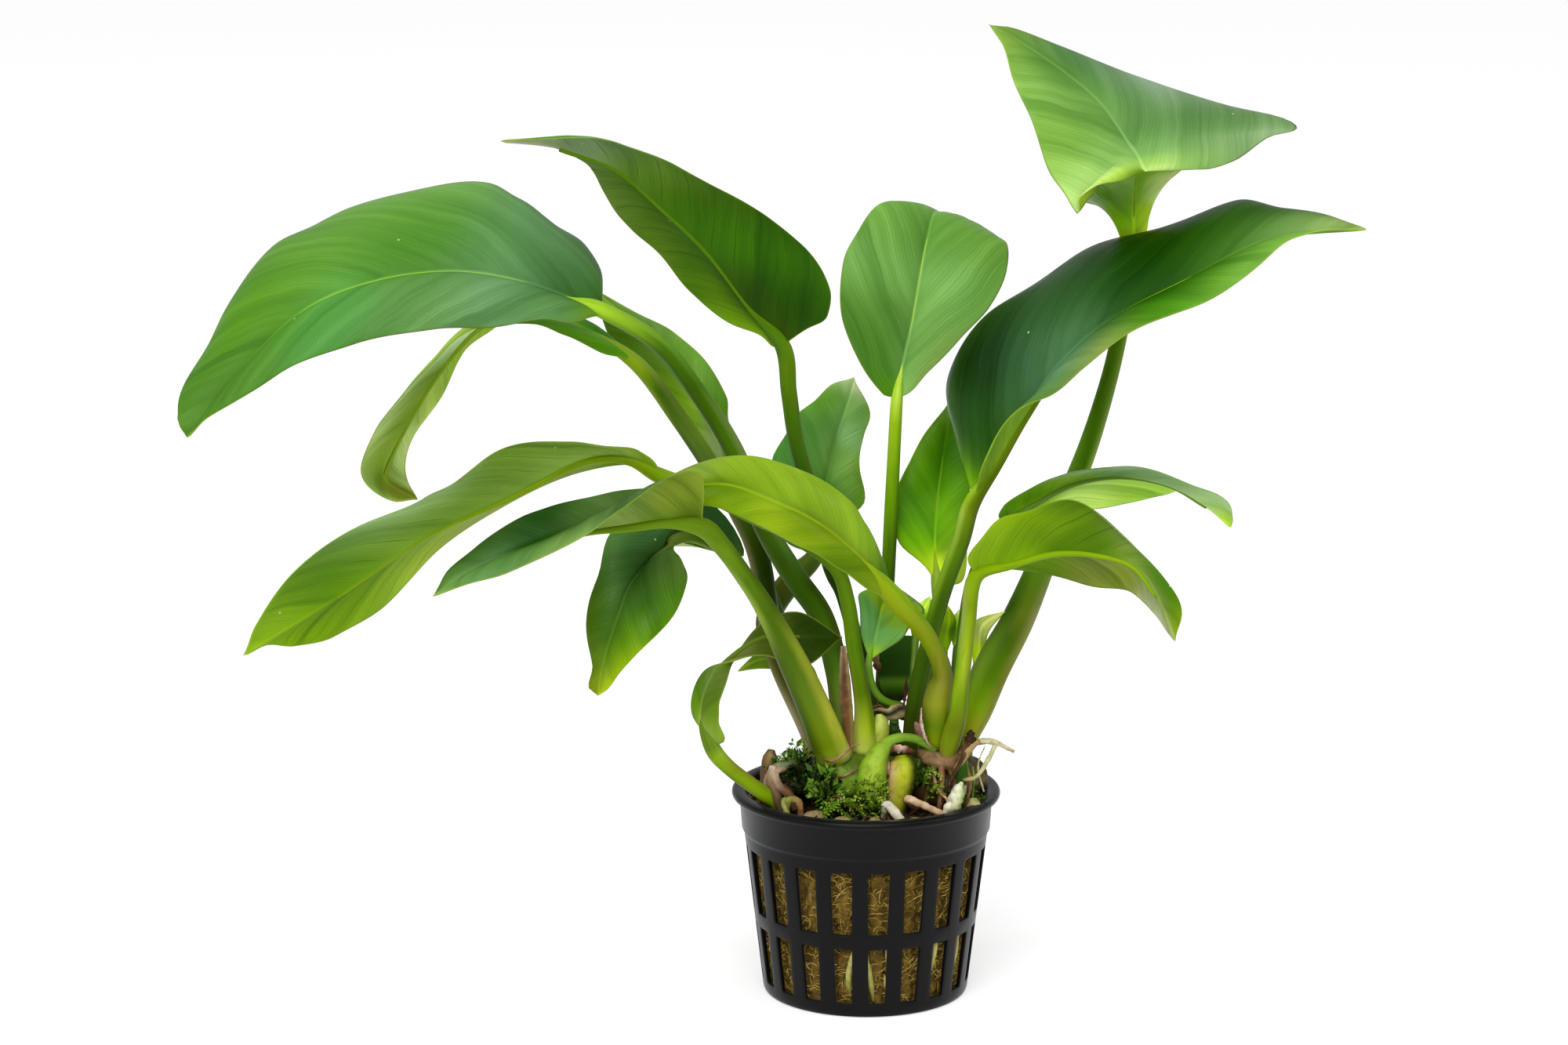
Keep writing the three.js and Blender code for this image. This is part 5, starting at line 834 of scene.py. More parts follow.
def along(values, u):
    """One number that passes smoothly through the values as u goes from 0 to 1."""
    return smooth_line([(v,) for v in values], u)[:, 0]


def unit(v):
    return v / np.maximum(np.linalg.norm(v, axis=-1, keepdims=True), 1e-9)


def run_length(line):
    """Millimetres from the line's start to each of its points."""
    steps = np.linalg.norm(np.diff(line, axis=0), axis=1)
    return np.concatenate([[0], np.cumsum(steps)])


def smooth_step(low, high, x):
    part = np.clip((x - low) / (high - low), 0, 1)
    return part * part * (3 - 2 * part)


def linear(colour):
    """A screen colour such as '5a8c2d' as linear light."""
    parts = np.array([int(colour[i:i + 2], 16) / 255 for i in (0, 2, 4)])
    return np.where(parts <= 0.04045, parts / 12.92, ((parts + 0.055) / 1.055) ** 2.4)


def rough(points, size, seed=0.0):
    """Smooth random bumps from -1 to 1, one for each point, with features of that size."""
    flat = np.asarray(points, float).reshape(-1, 3) / size + seed
    return np.array([noise.noise(Vector(p)) for p in flat]).reshape(np.shape(points)[:-1])


class Form:
    """Gathers grids of points into one mesh, with the colours and marks that its paints read."""

    def __init__(self, name, paints):
        self.name = name
        self.paints = paints
        self.points = []
        self.faces = []
        self.face_paints = []
        self.tones = []
        self.marks = []
        self.count = 0

    def add(self, points, faces, tone, marks=(0, 0, 0), paint=0):
        points = np.asarray(points, float).reshape(-1, 3)
        size = len(points)
        self.points.append(points)
        self.faces.append(np.asarray(faces, int) + self.count)
        self.face_paints.append(np.broadcast_to(paint, len(faces)))
        self.tones.append(np.broadcast_to(np.asarray(tone, float).reshape(-1, 3), (size, 3)))
        self.marks.append(np.broadcast_to(np.asarray(marks, float).reshape(-1, 3), (size, 3)))
        self.count += size

    def grid(self, points, tone, marks=(0, 0, 0), paint=0, ring=False, keep=None):
        """Quads between rows and columns of points. A ring closes each row; keep drops quads."""
        rows, columns = points.shape[:2]
        index = np.arange(rows * columns).reshape(rows, columns)
        if ring:
            index = np.hstack([index, index[:, :1]])
        corners = [index[:-1, :-1], index[:-1, 1:], index[1:, 1:], index[1:, :-1]]
        quads = np.stack(corners, -1)
        quads = quads[keep] if keep is not None else quads.reshape(-1, 4)
        self.add(points, quads, tone, marks, paint)

    def draw_into_pot(self):
        """Draws what lies below the lip back inside the pot's wall."""
        room = COLLAR_R_LOW - WALL - 0.2
        for i, points in enumerate(self.points):
            reach = np.linalg.norm(points[:, :2], axis=1)
            low = points[:, 2] < POT_HEIGHT - 0.3
            pull = np.where(low, np.minimum(1, room / np.maximum(reach, 1)), 1)
            self.points[i] = points * np.stack([pull, pull, np.ones(len(points))], -1)

    def build(self, nodes, smooth=True):
        """Makes the object, lets it ride on the body and stand for its CAD nodes."""
        points = np.concatenate(self.points) * MM
        faces = np.concatenate(self.faces)
        mesh = bpy.data.meshes.new(self.name)
        mesh.vertices.add(len(points))
        mesh.vertices.foreach_set("co", points.ravel())
        mesh.loops.add(faces.size)
        mesh.loops.foreach_set("vertex_index", faces.ravel())
        mesh.polygons.add(len(faces))
        mesh.polygons.foreach_set("loop_start", np.arange(len(faces)) * faces.shape[1])
        mesh.polygons.foreach_set("material_index", np.concatenate(self.face_paints))
        mesh.polygons.foreach_set("use_smooth", np.full(len(faces), smooth))
        tone = mesh.attributes.new("tone", "FLOAT_COLOR", "POINT")
        rgba = np.hstack([np.concatenate(self.tones), np.ones((len(points), 1))])
        tone.data.foreach_set("color", rgba.ravel())
        marks = mesh.attributes.new("marks", "FLOAT_VECTOR", "POINT")
        marks.data.foreach_set("vector", np.concatenate(self.marks).ravel())
        mesh.update(calc_edges=True)
        for paint in self.paints:
            mesh.materials.append(paint)
        piece = bpy.data.objects.new(self.name, mesh)
        bpy.context.collection.objects.link(piece)
        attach(piece, "root")
        if nodes:
            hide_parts(*nodes)
        return piece


def tube(centres, radii, sides, squash=None, start=0.0):
    """Rings of points round a line: rows along it, columns round it."""
    ahead = np.vstack([centres[1:], centres[-1:]])
    behind = np.vstack([centres[:1], centres[:-1]])
    tangent = unit(ahead - behind)
    across = unit(np.cross(tangent, (0, 1, 0)))
    deep = np.cross(across, tangent)
    turn = start + 2 * math.pi * np.arange(sides) / sides
    radii = np.asarray(radii, float)
    if radii.ndim == 1:
        radii = np.repeat(radii[:, None], sides, axis=1)
    flat = 1 if squash is None else squash
    sideways = (radii * np.cos(turn))[..., None] * across[:, None]
    depth = (radii * np.sin(turn) * flat)[..., None] * deep[:, None]
    return centres[:, None] + sideways + depth


def capped(rings):
    """The same rings with each end drawn in to its middle."""
    first = np.broadcast_to(rings[:1].mean(axis=1, keepdims=True), rings[:1].shape)
    last = np.broadcast_to(rings[-1:].mean(axis=1, keepdims=True), rings[-1:].shape)
    return np.concatenate([first, rings, last])


class Wire:
    """An output of a shader node, so that shader sums are written as Python sums."""

    def __init__(self, paint, socket):
        self.paint = paint
        self.socket = socket

    def sum(self, operation, *values):
        settings = dict(operation=operation)
        return self.paint.add("ShaderNodeMath", settings, dict(enumerate(values)))

    def __add__(self, other):
        return self.sum("ADD", self, other)

    def __radd__(self, other):
        return self.sum("ADD", other, self)

    def __sub__(self, other):
        return self.sum("SUBTRACT", self, other)

    def __rsub__(self, other):
        return self.sum("SUBTRACT", other, self)

    def __mul__(self, other):
        return self.sum("MULTIPLY", self, other)

    def __rmul__(self, other):
        return self.sum("MULTIPLY", other, self)

    def __truediv__(self, other):
        return self.sum("DIVIDE", self, other)

    def __pow__(self, other):
        return self.sum("POWER", self, other)

    def __abs__(self):
        return self.sum("ABSOLUTE", self)

    def fold(self, step):
        """Distance to the nearest multiple of step."""
        return self.sum("PINGPONG", self + step * 1000, step / 2)

    def rise(self, low, high):
        """0 below low, 1 above high, smooth between; it falls instead where low is the larger."""
        if low > high:
            return 1 - self.rise(high, low)
        settings = dict(interpolation_type="SMOOTHSTEP")
        sockets = {"Value": self, "From Min": low, "From Max": high}
        return self.paint.add("ShaderNodeMapRange", settings, sockets)


class Paint:
    """A material or the studio's surroundings, built node by node."""

    def __init__(self, name, kind="materials"):
        self.material = getattr(bpy.data, kind).new(name)
        self.material.use_nodes = True
        self.tree = self.material.node_tree
        self.tree.nodes.clear()

    def add(self, kind, settings=None, sockets=None, out=0):
        node = self.tree.nodes.new(kind)
        for name, value in (settings or {}).items():
            if name == "stops":
                self.set_stops(node.color_ramp, value)
            else:
                setattr(node, name, value)
        for name, value in (sockets or {}).items():
            if isinstance(value, Wire):
                self.tree.links.new(value.socket, node.inputs[name])
            elif isinstance(value, np.ndarray):
                node.inputs[name].default_value = (*value, 1)
            else:
                node.inputs[name].default_value = value
        return None if out is None else Wire(self, node.outputs[out])

    def set_stops(self, ramp, stops):
        while len(ramp.elements) < len(stops):
            ramp.elements.new(1)
        for element, (place, colour) in zip(ramp.elements, stops):
            element.position = place
            element.color = (*colour, 1)

    def read(self, name, out=0):
        return self.add("ShaderNodeAttribute", dict(attribute_name=name), out=out)

    def marks(self):
        """The three marks that the mesh carries at each point."""
        vector = self.read("marks", out=1)
        return [self.add("ShaderNodeSeparateXYZ", {}, {"Vector": vector}, out=i) for i in range(3)]

    def place(self):
        return self.add("ShaderNodeTexCoord", out=3)

    def place_from(self, first, second):
        """A flat place given by two lengths in mm, for patterns that follow the leaf."""
        return self.add("ShaderNodeCombineXYZ", {}, {0: first * MM, 1: second * MM})

    def cloud(self, size, detail=2, place=None, roughness=0.5):
        """Soft random patches with features of about that many millimetres."""
        place = place or self.place()
        sockets = {"Vector": place, "Scale": 1 / (size * MM), "Detail": detail,
                   "Roughness": roughness}
        return self.add("ShaderNodeTexNoise", {}, sockets)

    def specks(self, size):
        """Distance from the nearest of many scattered dots, in dot spacings."""
        return self.add("ShaderNodeTexVoronoi", {}, {"Vector": self.place(), "Scale": 1 / (size * MM)})

    def mix(self, part, first, second, blend="MIX"):
        """Colour first where part is 0, second where it is 1."""
        settings = dict(data_type="RGBA", blend_type=blend)
        return self.add("ShaderNodeMix", settings, {0: part, 6: first, 7: second}, out=2)

    def bump(self, height, depth, strength=1.0, normal=None):
        sockets = {"Height": height, "Distance": depth * MM, "Strength": strength}
        if normal:
            sockets["Normal"] = normal
        return self.add("ShaderNodeBump", {}, sockets)

    def part(self, vector, axis):
        return self.add("ShaderNodeSeparateXYZ", {}, {"Vector": vector}, out=axis)

    def finish(self, colour, roughness, normal=None, **constants):
        sockets = {"Base Color": colour, "Roughness": roughness}
        if normal:
            sockets["Normal"] = normal
        for name, value in constants.items():
            sockets[name.replace("_", " ").title().replace("Ior", "IOR")] = value
        return self.show(self.add("ShaderNodeBsdfPrincipled", {}, sockets))

    def show(self, shader, kind="ShaderNodeOutputMaterial"):
        self.add(kind, {}, {"Surface": shader}, out=None)
        return self.material


def trimmed(line, picks, s):
    """A margin moved sideways and up by the picked (s, x, z) amounts in mm, smooth between picks."""
    if not picks:
        return line
    places = np.array([pick[0] for pick in picks])
    moves = np.array([(pick[1], 0, pick[2]) for pick in picks], float)
    i = np.clip(np.searchsorted(places, s) - 1, 0, len(picks) - 2)
    part = smooth_step(0, 1, (s - places[i]) / (places[i + 1] - places[i]))[:, None]
    return line + moves[i] * (1 - part) + moves[i + 1] * part


def blade_surface(sheet, s, t):
    """The blade's middle surface at rows s from base to tip and columns t from -1 to 1."""
    middle = smooth_line(sheet["rib"], s)
    left = trimmed(smooth_line(sheet["left"], s), sheet.get("left_trim"), s)
    right = trimmed(smooth_line(sheet["right"], s), sheet.get("right_trim"), s)
    step = 0.002
    tangent = smooth_line(sheet["rib"], s + step) - smooth_line(sheet["rib"], s - step)
    up = unit(np.cross(tangent, left - right))
    margin = np.where((t < 0)[None, :, None], left[:, None], right[:, None])
    part = np.abs(t)[None, :, None]
    reach = np.linalg.norm(margin - middle[:, None], axis=-1, keepdims=True)
    rise = sheet.get("crown", 0) * reach * 4 * part * (1 - part)
    return middle[:, None] * (1 - part) + margin * part + up[:, None] * rise


def surface_normals(points):
    along_rows = np.gradient(points, axis=0)
    along_columns = np.gradient(points, axis=1)
    return unit(np.cross(along_columns, along_rows))


def picked_colours(picks, s, t, spread=0.066):
    """Colours at (s, t), blended from the nearest listed ones."""
    shades = np.array([linear(pick[2]) for pick in picks])
    away = (s[..., None] - [pick[0] for pick in picks]) ** 2
    away = away + (0.2 * (t[..., None] - [pick[1] for pick in picks])) ** 2
    weight = np.exp(-away / (2 * spread**2)) + 1e-4
    weight = weight / weight.sum(-1, keepdims=True)
    return weight @ shades / LIGHT_GAIN


def stalk_route(leaf):
    """Control points of the stalk, run on under the blade as its rib, and their radii."""
    sheet = leaf.get("funnel", leaf)
    rib, left, right = (np.array(sheet[key], float) for key in ("rib", "left", "right"))
    route = [np.array(p, float) for p in leaf["stem"]]
    steps = len(route) - 1
    radii = list(along(leaf["radii"], np.linspace(0, 1, steps + 1)))
    rib_r = leaf.get("rib_r", radii[-1] * 0.6)
    for i in range(1, len(rib) - 1):
        radius = max(rib_r * (1 - i / len(rib)) if "rib_r" not in leaf else rib_r, RIB_END_R)
        below = unit(np.cross(rib[i + 1] - rib[i - 1], left[i] - right[i])) * radius
        route.append(rib[i] - below)
        radii.append(radius)
    return route, radii, steps


def make_leaf(name, leaf, paints):
    form = Form(name + "_fine", paints)
    add_stalk(form, leaf)
    sheets = [leaf]
    if "funnel" in leaf:
        sheets.append(leaf["funnel"])
    for sheet in sheets:
        add_blade(form, leaf, sheet)
    return form.build([name])


def add_stalk(form, leaf):
    route, radii, steps = stalk_route(leaf)
    whole = len(route) - 1
    rings = int(max(24, 1.3 * run_length(np.array(route))[-1] / 1.6))
    u = np.linspace(0, 1, rings)
    centres = smooth_line(route, u)
    width = along(radii, u)
    turn = np.linspace(0, 2 * math.pi, STALK_SIDES, endpoint=False)
    shape = np.repeat(width[:, None], STALK_SIDES, axis=1)
    up_stalk = np.clip(u * whole / steps, 0, 1)
    for ridge in leaf.get("ridges", []):
        close = np.exp(-(((turn - math.radians(ridge["at"]) + math.pi) % (2 * math.pi) - math.pi)
                         / 0.22) ** 2)
        fade = 1 - smooth_step(ridge["until"] * 0.6, ridge["until"], up_stalk)
        shape = shape + ridge["height"] * fade[:, None] * close[None]
    points = tube(centres, shape, STALK_SIDES, leaf.get("flat"))
    length = run_length(centres)
    # Painted light: a stalk's colours are brightened by its own gain where it stands in shade.
    tone = round_tone(leaf["stalk"], up_stalk, turn) * leaf.get("stalk_painted_light_gain", 1)
    marks = np.zeros(points.shape)
    marks[..., 0] = length[:, None]
    marks[..., 1] = turn[None]
    points = capped(points)
    tone = np.concatenate([tone[:1], tone, tone[-1:]])
    marks = np.concatenate([marks[:1], marks, marks[-1:]])
    form.grid(points, tone, marks, paint=0, ring=True)


def round_tone(picks, u, turn):
    """Colours of a tube from its foot to its top, from picks of (u, left, middle, right) as seen.
    Where left and right differ they paint light and shade, a lit side and a shaded side, besides the
    tube's own colour round it.
    """
    picks = [pick if len(pick) > 2 else (pick[0], pick[1], pick[1], pick[1]) for pick in picks]
    places = [pick[0] for pick in picks]
    sides = []
    for column in (1, 2, 3):
        shades = np.array([linear(pick[column]) for pick in picks])
        blend = np.stack([np.interp(u, places, shades[:, i]) for i in range(3)], -1)
        sides.append(blend[:, None] / LIGHT_GAIN)
    left_part = smooth_step(0.15, 0.85, np.cos(turn))[None, :, None]
    right_part = smooth_step(0.15, 0.85, -np.cos(turn))[None, :, None]
    return sides[0] * left_part + sides[2] * right_part + sides[1] * (1 - left_part - right_part)


def add_blade(form, leaf, sheet):
    reach = run_length(smooth_line(sheet["rib"], np.linspace(0, 1, 60)))[-1]
    rows = int(np.clip(reach / 0.9, 24, 130))
    half = np.array(BLADE_COLUMNS if reach > 30 else BLADE_COLUMNS[::2])
    t = np.concatenate([-half[:0:-1], half])
    s = np.linspace(0, 1, rows + 1)
    middle = blade_surface(sheet, s, t)
    normal = surface_normals(middle)
    arc = run_length(middle[:, len(half) - 1])
    out = np.linalg.norm(middle - middle[:, len(half) - 1][:, None], axis=-1)
    side = np.sign(t)[None]
    width = np.linalg.norm(middle[:, -1] - middle[:, 0], axis=-1)[:, None]
    edge = np.abs(np.where(side < 0, out[:, :1], out[:, -1:]) - out)
    vein = arc[:, None] - VEIN_SWEEP * out + (side > 0) * 0.45 * SIDE_VEIN_STEP
    relief = blade_relief(leaf, middle, arc, out, edge, vein, reach)
    thin = BLADE_THICKNESS / 2 * np.sqrt(np.clip(1 - t**6, 0, 1))[None]
    shift = relief * np.minimum(1, width / 8)
    upper = middle + normal * (shift + thin)[..., None]
    lower = middle + normal * (shift - thin)[..., None]
    s_grid, t_grid = np.broadcast_arrays(s[:, None], t[None])
    top = picked_colours(sheet.get("upper", leaf["upper"]), s_grid, t_grid)
    bottom = picked_colours(sheet.get("under", leaf["under"]), s_grid, t_grid)
    # Painted light: each leaf's colours are scaled by its own gain, mostly brighter, for leaves in
    # shade or lit from behind.
    lift = sheet.get("lift", leaf.get("lift", 1))
    top, bottom = (lift * strengthened(tone, leaf.get("contrast", 1)) for tone in (top, bottom))
    marks = np.stack([vein, out * side, edge], -1)
    loop = np.concatenate([upper, lower[:, -2:0:-1]], axis=1)
    loop_tone = np.concatenate([top, bottom[:, -2:0:-1]], axis=1)
    loop_marks = np.concatenate([marks, marks[:, -2:0:-1]], axis=1)
    count = loop.shape[1]
    is_under = np.arange(count) >= len(t) - 1
    sides = np.broadcast_to(np.where(is_under, 2, 1), (rows, count)).ravel()
    form.grid(loop, loop_tone, loop_marks, paint=sides, ring=True)


def strengthened(tone, contrast):
    """Colours pushed further from their own average."""
    middle = np.exp(np.log(tone + 1e-4).mean((0, 1)))
    return middle * ((tone + 1e-4) / middle) ** contrast


def blade_relief(leaf, middle, arc, out, edge, vein, reach):
    """How far the blade stands off its middle surface, in mm: veins, quilting and soft waves."""
    step = SIDE_VEIN_STEP
    between = np.abs(((vein / step) % 1) - 0.5) * 2
    inside = smooth_step(0.6, 4, edge) * smooth_step(0.5, 4, out)
    quilt = leaf.get("quilt", 0.16) * (1 - between**3) * inside
    waves = 0.5 * rough(middle, 24, seed=reach) * smooth_step(2, 12, out)
    groove = -0.3 * np.exp(-((out / 0.8) ** 2)) * (1 - smooth_step(0.6, 1, arc / arc[-1]))[:, None]
    return quilt + waves + groove


def slot_half_angle(row, r, z):
    """Half the angle that a wall slot takes at height z, wider towards its top."""
    part = (z - row["bottom"]) / (row["top"] - row["bottom"])
    width = row["bottom_width"] + (row["top_width"] - row["bottom_width"]) * np.clip(part, 0, 1)
    return width / 2 / r


def pot_profile():
    """Rows of the pot's wall, from its foot up the outside, over the lip and down the inside."""
    slope = (BODY_R_HIGH - FOOT_R) / (COLLAR_Z - LIP_ROUNDING - FOOT_CHAMFER)
    inner_low = BODY_R_LOW - WALL
    inner_high = COLLAR_R_HIGH - WALL
    levels = sorted({row[key] for row in SLOT_ROWS for key in ("bottom", "top")}
                    | set(np.linspace(1.6, 33, 22).round(2)))
    levels = [z for z in levels
              if all(abs(z - row[key]) > 0.5 or z == row[key]
                     for row in SLOT_ROWS for key in ("bottom", "top"))]
    outside = [(FOOT_R + slope * (z - FOOT_CHAMFER), z) for z in levels]
    inner_slope = (inner_high - inner_low) / (POT_HEIGHT - LIP_THICKNESS - FLOOR_THICKNESS)
    inside = [(inner_low + inner_slope * (z - FLOOR_THICKNESS), z) for z in reversed(levels)]
    under_lip = POT_HEIGHT - LIP_THICKNESS
    rim = [(LIP_R - LIP_THICKNESS / 2 * (1 - math.cos(a)), POT_HEIGHT - LIP_THICKNESS / 2
            + LIP_THICKNESS / 2 * math.sin(a)) for a in np.linspace(-1.4, 1.4, 9)]
    profile = [(FLOOR_DISC_R, 0), (FOOT_R - FOOT_CHAMFER, 0),
               (FOOT_R - FOOT_CHAMFER * 0.3, FOOT_CHAMFER * 0.25), (FOOT_R, FOOT_CHAMFER)]
    profile += outside
    profile += [(BODY_R_HIGH, COLLAR_Z - LIP_ROUNDING), (COLLAR_R_LOW - 0.12, COLLAR_Z - 0.14),
                (COLLAR_R_LOW, COLLAR_Z + 0.12), (COLLAR_R_HIGH, under_lip - 0.25),
                (COLLAR_R_HIGH + 0.2, under_lip)]
    profile += rim
    profile += [(inner_high + LIP_ROUNDING, POT_HEIGHT), (inner_high + 0.15, POT_HEIGHT - 0.2),
                (inner_high, POT_HEIGHT - 0.6), (inner_high, under_lip)]
    profile += inside
    profile += [(inner_low, FLOOR_THICKNESS), (FLOOR_DISC_R, FLOOR_THICKNESS)]
    return profile


def make_pot():
    form = Form("pot", [paints["pot"]])
    profile = pot_profile()
    sector = 2 * math.pi / SLOTS_AROUND
    slot_parts = np.linspace(-1, 1, 5)
    rib_parts = np.linspace(0, 1, 5)[1:-1]
    start = math.radians(SLOT_START_DEG - 90)
    rows = []
    for r, z in profile:
        row = SLOT_ROWS[0] if z < SLOT_ROWS[1]["bottom"] - 1 else SLOT_ROWS[1]
        half = slot_half_angle(row, r, z)
        angles = []
        for i in range(SLOTS_AROUND):
            centre = start + sector * i
            angles += [centre + half * part for part in slot_parts]
            angles += [centre + half + (sector - 2 * half) * part for part in rib_parts]
        rows.append([(r * math.cos(a), r * math.sin(a), z) for a in angles])
    points = np.array(rows)
    count = len(profile)
    columns = points.shape[1]
    per_sector = len(slot_parts) + len(rib_parts)
    in_slot = np.arange(columns) % per_sector < len(slot_parts) - 1
    heights = np.array([z for _, z in profile])
    in_row = np.zeros(count - 1, bool)
    for row in SLOT_ROWS:
        low = np.minimum(heights[:-1], heights[1:])
        high = np.maximum(heights[:-1], heights[1:])
        in_row |= (low >= row["bottom"] - 1e-6) & (high <= row["top"] + 1e-6) & (high > low)
    keep = ~(in_row[:, None] & in_slot[None])
    form.grid(points, linear("1a1c1f"), ring=True, keep=keep)
    add_slot_walls(form, points, heights, in_row, per_sector, len(slot_parts))
    add_inner_foot(form, points)
    add_floor(form)
    pot = form.build(["net_pot"])
    weld_and_round(pot)
    return pot


def add_slot_walls(form, points, heights, in_row, per_sector, slot_columns):
    """Joins the outside of each slot's edge to its inside through the wall."""
    turn = len(heights) // 2
    for row in SLOT_ROWS:
        open_rows = [i for i, z in enumerate(heights)
                     if row["bottom"] - ROUND_OFF <= z <= row["top"] + ROUND_OFF]
        outside = [i for i in open_rows if i < turn]
        inside = [i for i in open_rows if i >= turn][::-1]
        for k in range(SLOTS_AROUND):
            first = k * per_sector
            last = first + slot_columns - 1
            loop = [(i, first) for i in range(len(outside))]
            loop += [(len(outside) - 1, c) for c in range(first + 1, last + 1)]
            loop += [(i, last) for i in range(len(outside) - 2, -1, -1)]
            loop += [(0, c) for c in range(last - 1, first, -1)]
            outer = np.array([points[outside[i], c] for i, c in loop])
            inner = np.array([points[inside[i], c] for i, c in loop])
            form.grid(np.stack([inner, outer]), linear("1a1c1f"), ring=True)


def add_inner_foot(form, points):
    """The short step that closes the wall's section where it meets the floor disc."""
    form.grid(np.stack([points[-1], points[0]]), linear("1a1c1f"), ring=True)


def add_floor(form):
    """The floor disc with its radial slots."""
    radii = [0.6, 3, 5.4, FLOOR_SLOT_INNER_R, 10, 13, FLOOR_SLOT_OUTER_R, 17.6, FLOOR_DISC_R + 0.05]
    sector = 2 * math.pi / FLOOR_SLOTS
    slot_parts = np.linspace(-1, 1, 5)
    rib_parts = np.linspace(0, 1, 9)[1:-1]
    per_sector = len(slot_parts) + len(rib_parts)
    sheets = []
    for z in (0, FLOOR_THICKNESS):
        rows = []
        for r in radii:
            half = FLOOR_SLOT_WIDTH / 2 / max(r, FLOOR_SLOT_INNER_R)
            angles = []
            for i in range(FLOOR_SLOTS):
                angles += [sector * i + half * part for part in slot_parts]
                angles += [sector * i + half + (sector - 2 * half) * part for part in rib_parts]
            rows.append([(r * math.cos(a), r * math.sin(a), z) for a in angles])
        sheets.append(np.array(rows))
    columns = sheets[0].shape[1]
    in_slot = np.arange(columns) % per_sector < len(slot_parts) - 1
    first, last = radii.index(FLOOR_SLOT_INNER_R), radii.index(FLOOR_SLOT_OUTER_R)
    in_row = np.array([first <= i < last for i in range(len(radii) - 1)])
    keep = ~(in_row[:, None] & in_slot[None])
    tone = linear("1a1c1f")
    form.grid(sheets[0][::-1], tone, ring=True, keep=keep[::-1])
    form.grid(sheets[1], tone, ring=True, keep=keep)
    form.grid(np.stack([sheets[1][0], sheets[0][0]]), tone, ring=True)
    for k in range(FLOOR_SLOTS):
        a = k * per_sector
        b = a + len(slot_parts) - 1
        loop = [(i, a) for i in range(first, last)] + [(last, c) for c in range(a, b)]
        loop += [(i, b) for i in range(last, first, -1)] + [(first, c) for c in range(b, a, -1)]
        low = np.array([sheets[0][i, c] for i, c in loop])
        high = np.array([sheets[1][i, c] for i, c in loop])
        form.grid(np.stack([high, low]), tone, ring=True)


def weld_and_round(piece):
    """Joins coincident edges and rounds every sharp one a little, as moulding does."""
    weld = piece.modifiers.new("weld", "WELD")
    weld.merge_threshold = 0.01 * MM
    bevel = piece.modifiers.new("rounding", "BEVEL")
    bevel.width = 0.14 * MM
    bevel.segments = 2
    bevel.limit_method = "ANGLE"
    bevel.angle_limit = math.radians(40)
    bevel.harden_normals = False


def wool_radius(z):
    return WOOL_R_FOOT + WOOL_SLOPE * (z - FLOOR_THICKNESS)


def behind_bars(points):
    """1 behind the upright bars of the pot, 0 in the middle of a slot."""
    angle = np.degrees(np.arctan2(points[..., 1], points[..., 0])) - SLOT_START_DEG
    pitch = 360 / SLOTS_AROUND
    away = np.abs((angle / pitch + 0.5) % 1 - 0.5) * pitch
    return smooth_step(3, 5.5, away)


def make_wool():
    form = Form("wool", [paints["wool"], paints["fibre"]])
    levels = np.linspace(WOOL_FOOT_Z, WOOL_EDGE_Z, 90)
    wall = [(wool_radius(z), z) for z in levels]
    rise = WOOL_CROWN_Z - WOOL_EDGE_Z
    edge_r = wool_radius(WOOL_EDGE_Z)
    crown = [(edge_r * (1 - part), WOOL_EDGE_Z + rise * math.sin(part * math.pi / 2))
             for part in np.linspace(0, 1, 30)[1:]]
    foot = [(WOOL_R_FOOT * part, WOOL_FOOT_Z) for part in np.linspace(0, 1, 8)[:-1]]
    profile = foot + wall + crown
    angles = np.linspace(0, 2 * math.pi, 240, endpoint=False)
    points = np.array([[(r * math.cos(a), r * math.sin(a), z) for a in angles] for r, z in profile])
    inward = unit(points * (1, 1, 0)) * (-1, -1, 0)
    fuzz = 0.5 * rough(points, 2.2, 3) + 0.45 * rough(points, 0.9, 8)
    bumps = fuzz - 0.25 - 1.1 * behind_bars(points)
    near_foot = smooth_step(WOOL_FOOT_Z, WOOL_FOOT_Z + 1, points[..., 2])
    points = points - inward * (bumps * near_foot)[..., None]
    on_top = smooth_step(edge_r - 0.5, edge_r - 3, np.linalg.norm(points[..., :2], axis=-1))
    on_top = on_top * (points[..., 2] > WOOL_EDGE_Z - 1)
    points[..., 2] += on_top * (0.9 * rough(points, 3.5, 5) + 0.5 * rough(points, 1.2, 2))
    # Painted shade: the wall is darker where its fuzz sinks in and lighter where it stands out, and the
    # top under the plant is painted near black as shade.
    painted_fuzz_shade = 1 + 0.9 * np.clip(fuzz, -0.8, 1)
    tone = linear("655020") * ((1 - on_top) * painted_fuzz_shade)[..., None]
    tone = tone + linear("241a0a") * on_top[..., None]
    form.grid(points, tone, ring=True)
    add_wool_fibres(form)
    return form.build(["wool_plug"])


def add_wool_fibres(form):
    rng = np.random.default_rng(11)
    for _ in range(WOOL_FIBRES):
        z = rng.uniform(WOOL_FOOT_Z + 1, WOOL_EDGE_Z)
        angle = rng.uniform(0, 2 * math.pi)
        add_fibre(form, rng, angle, z)


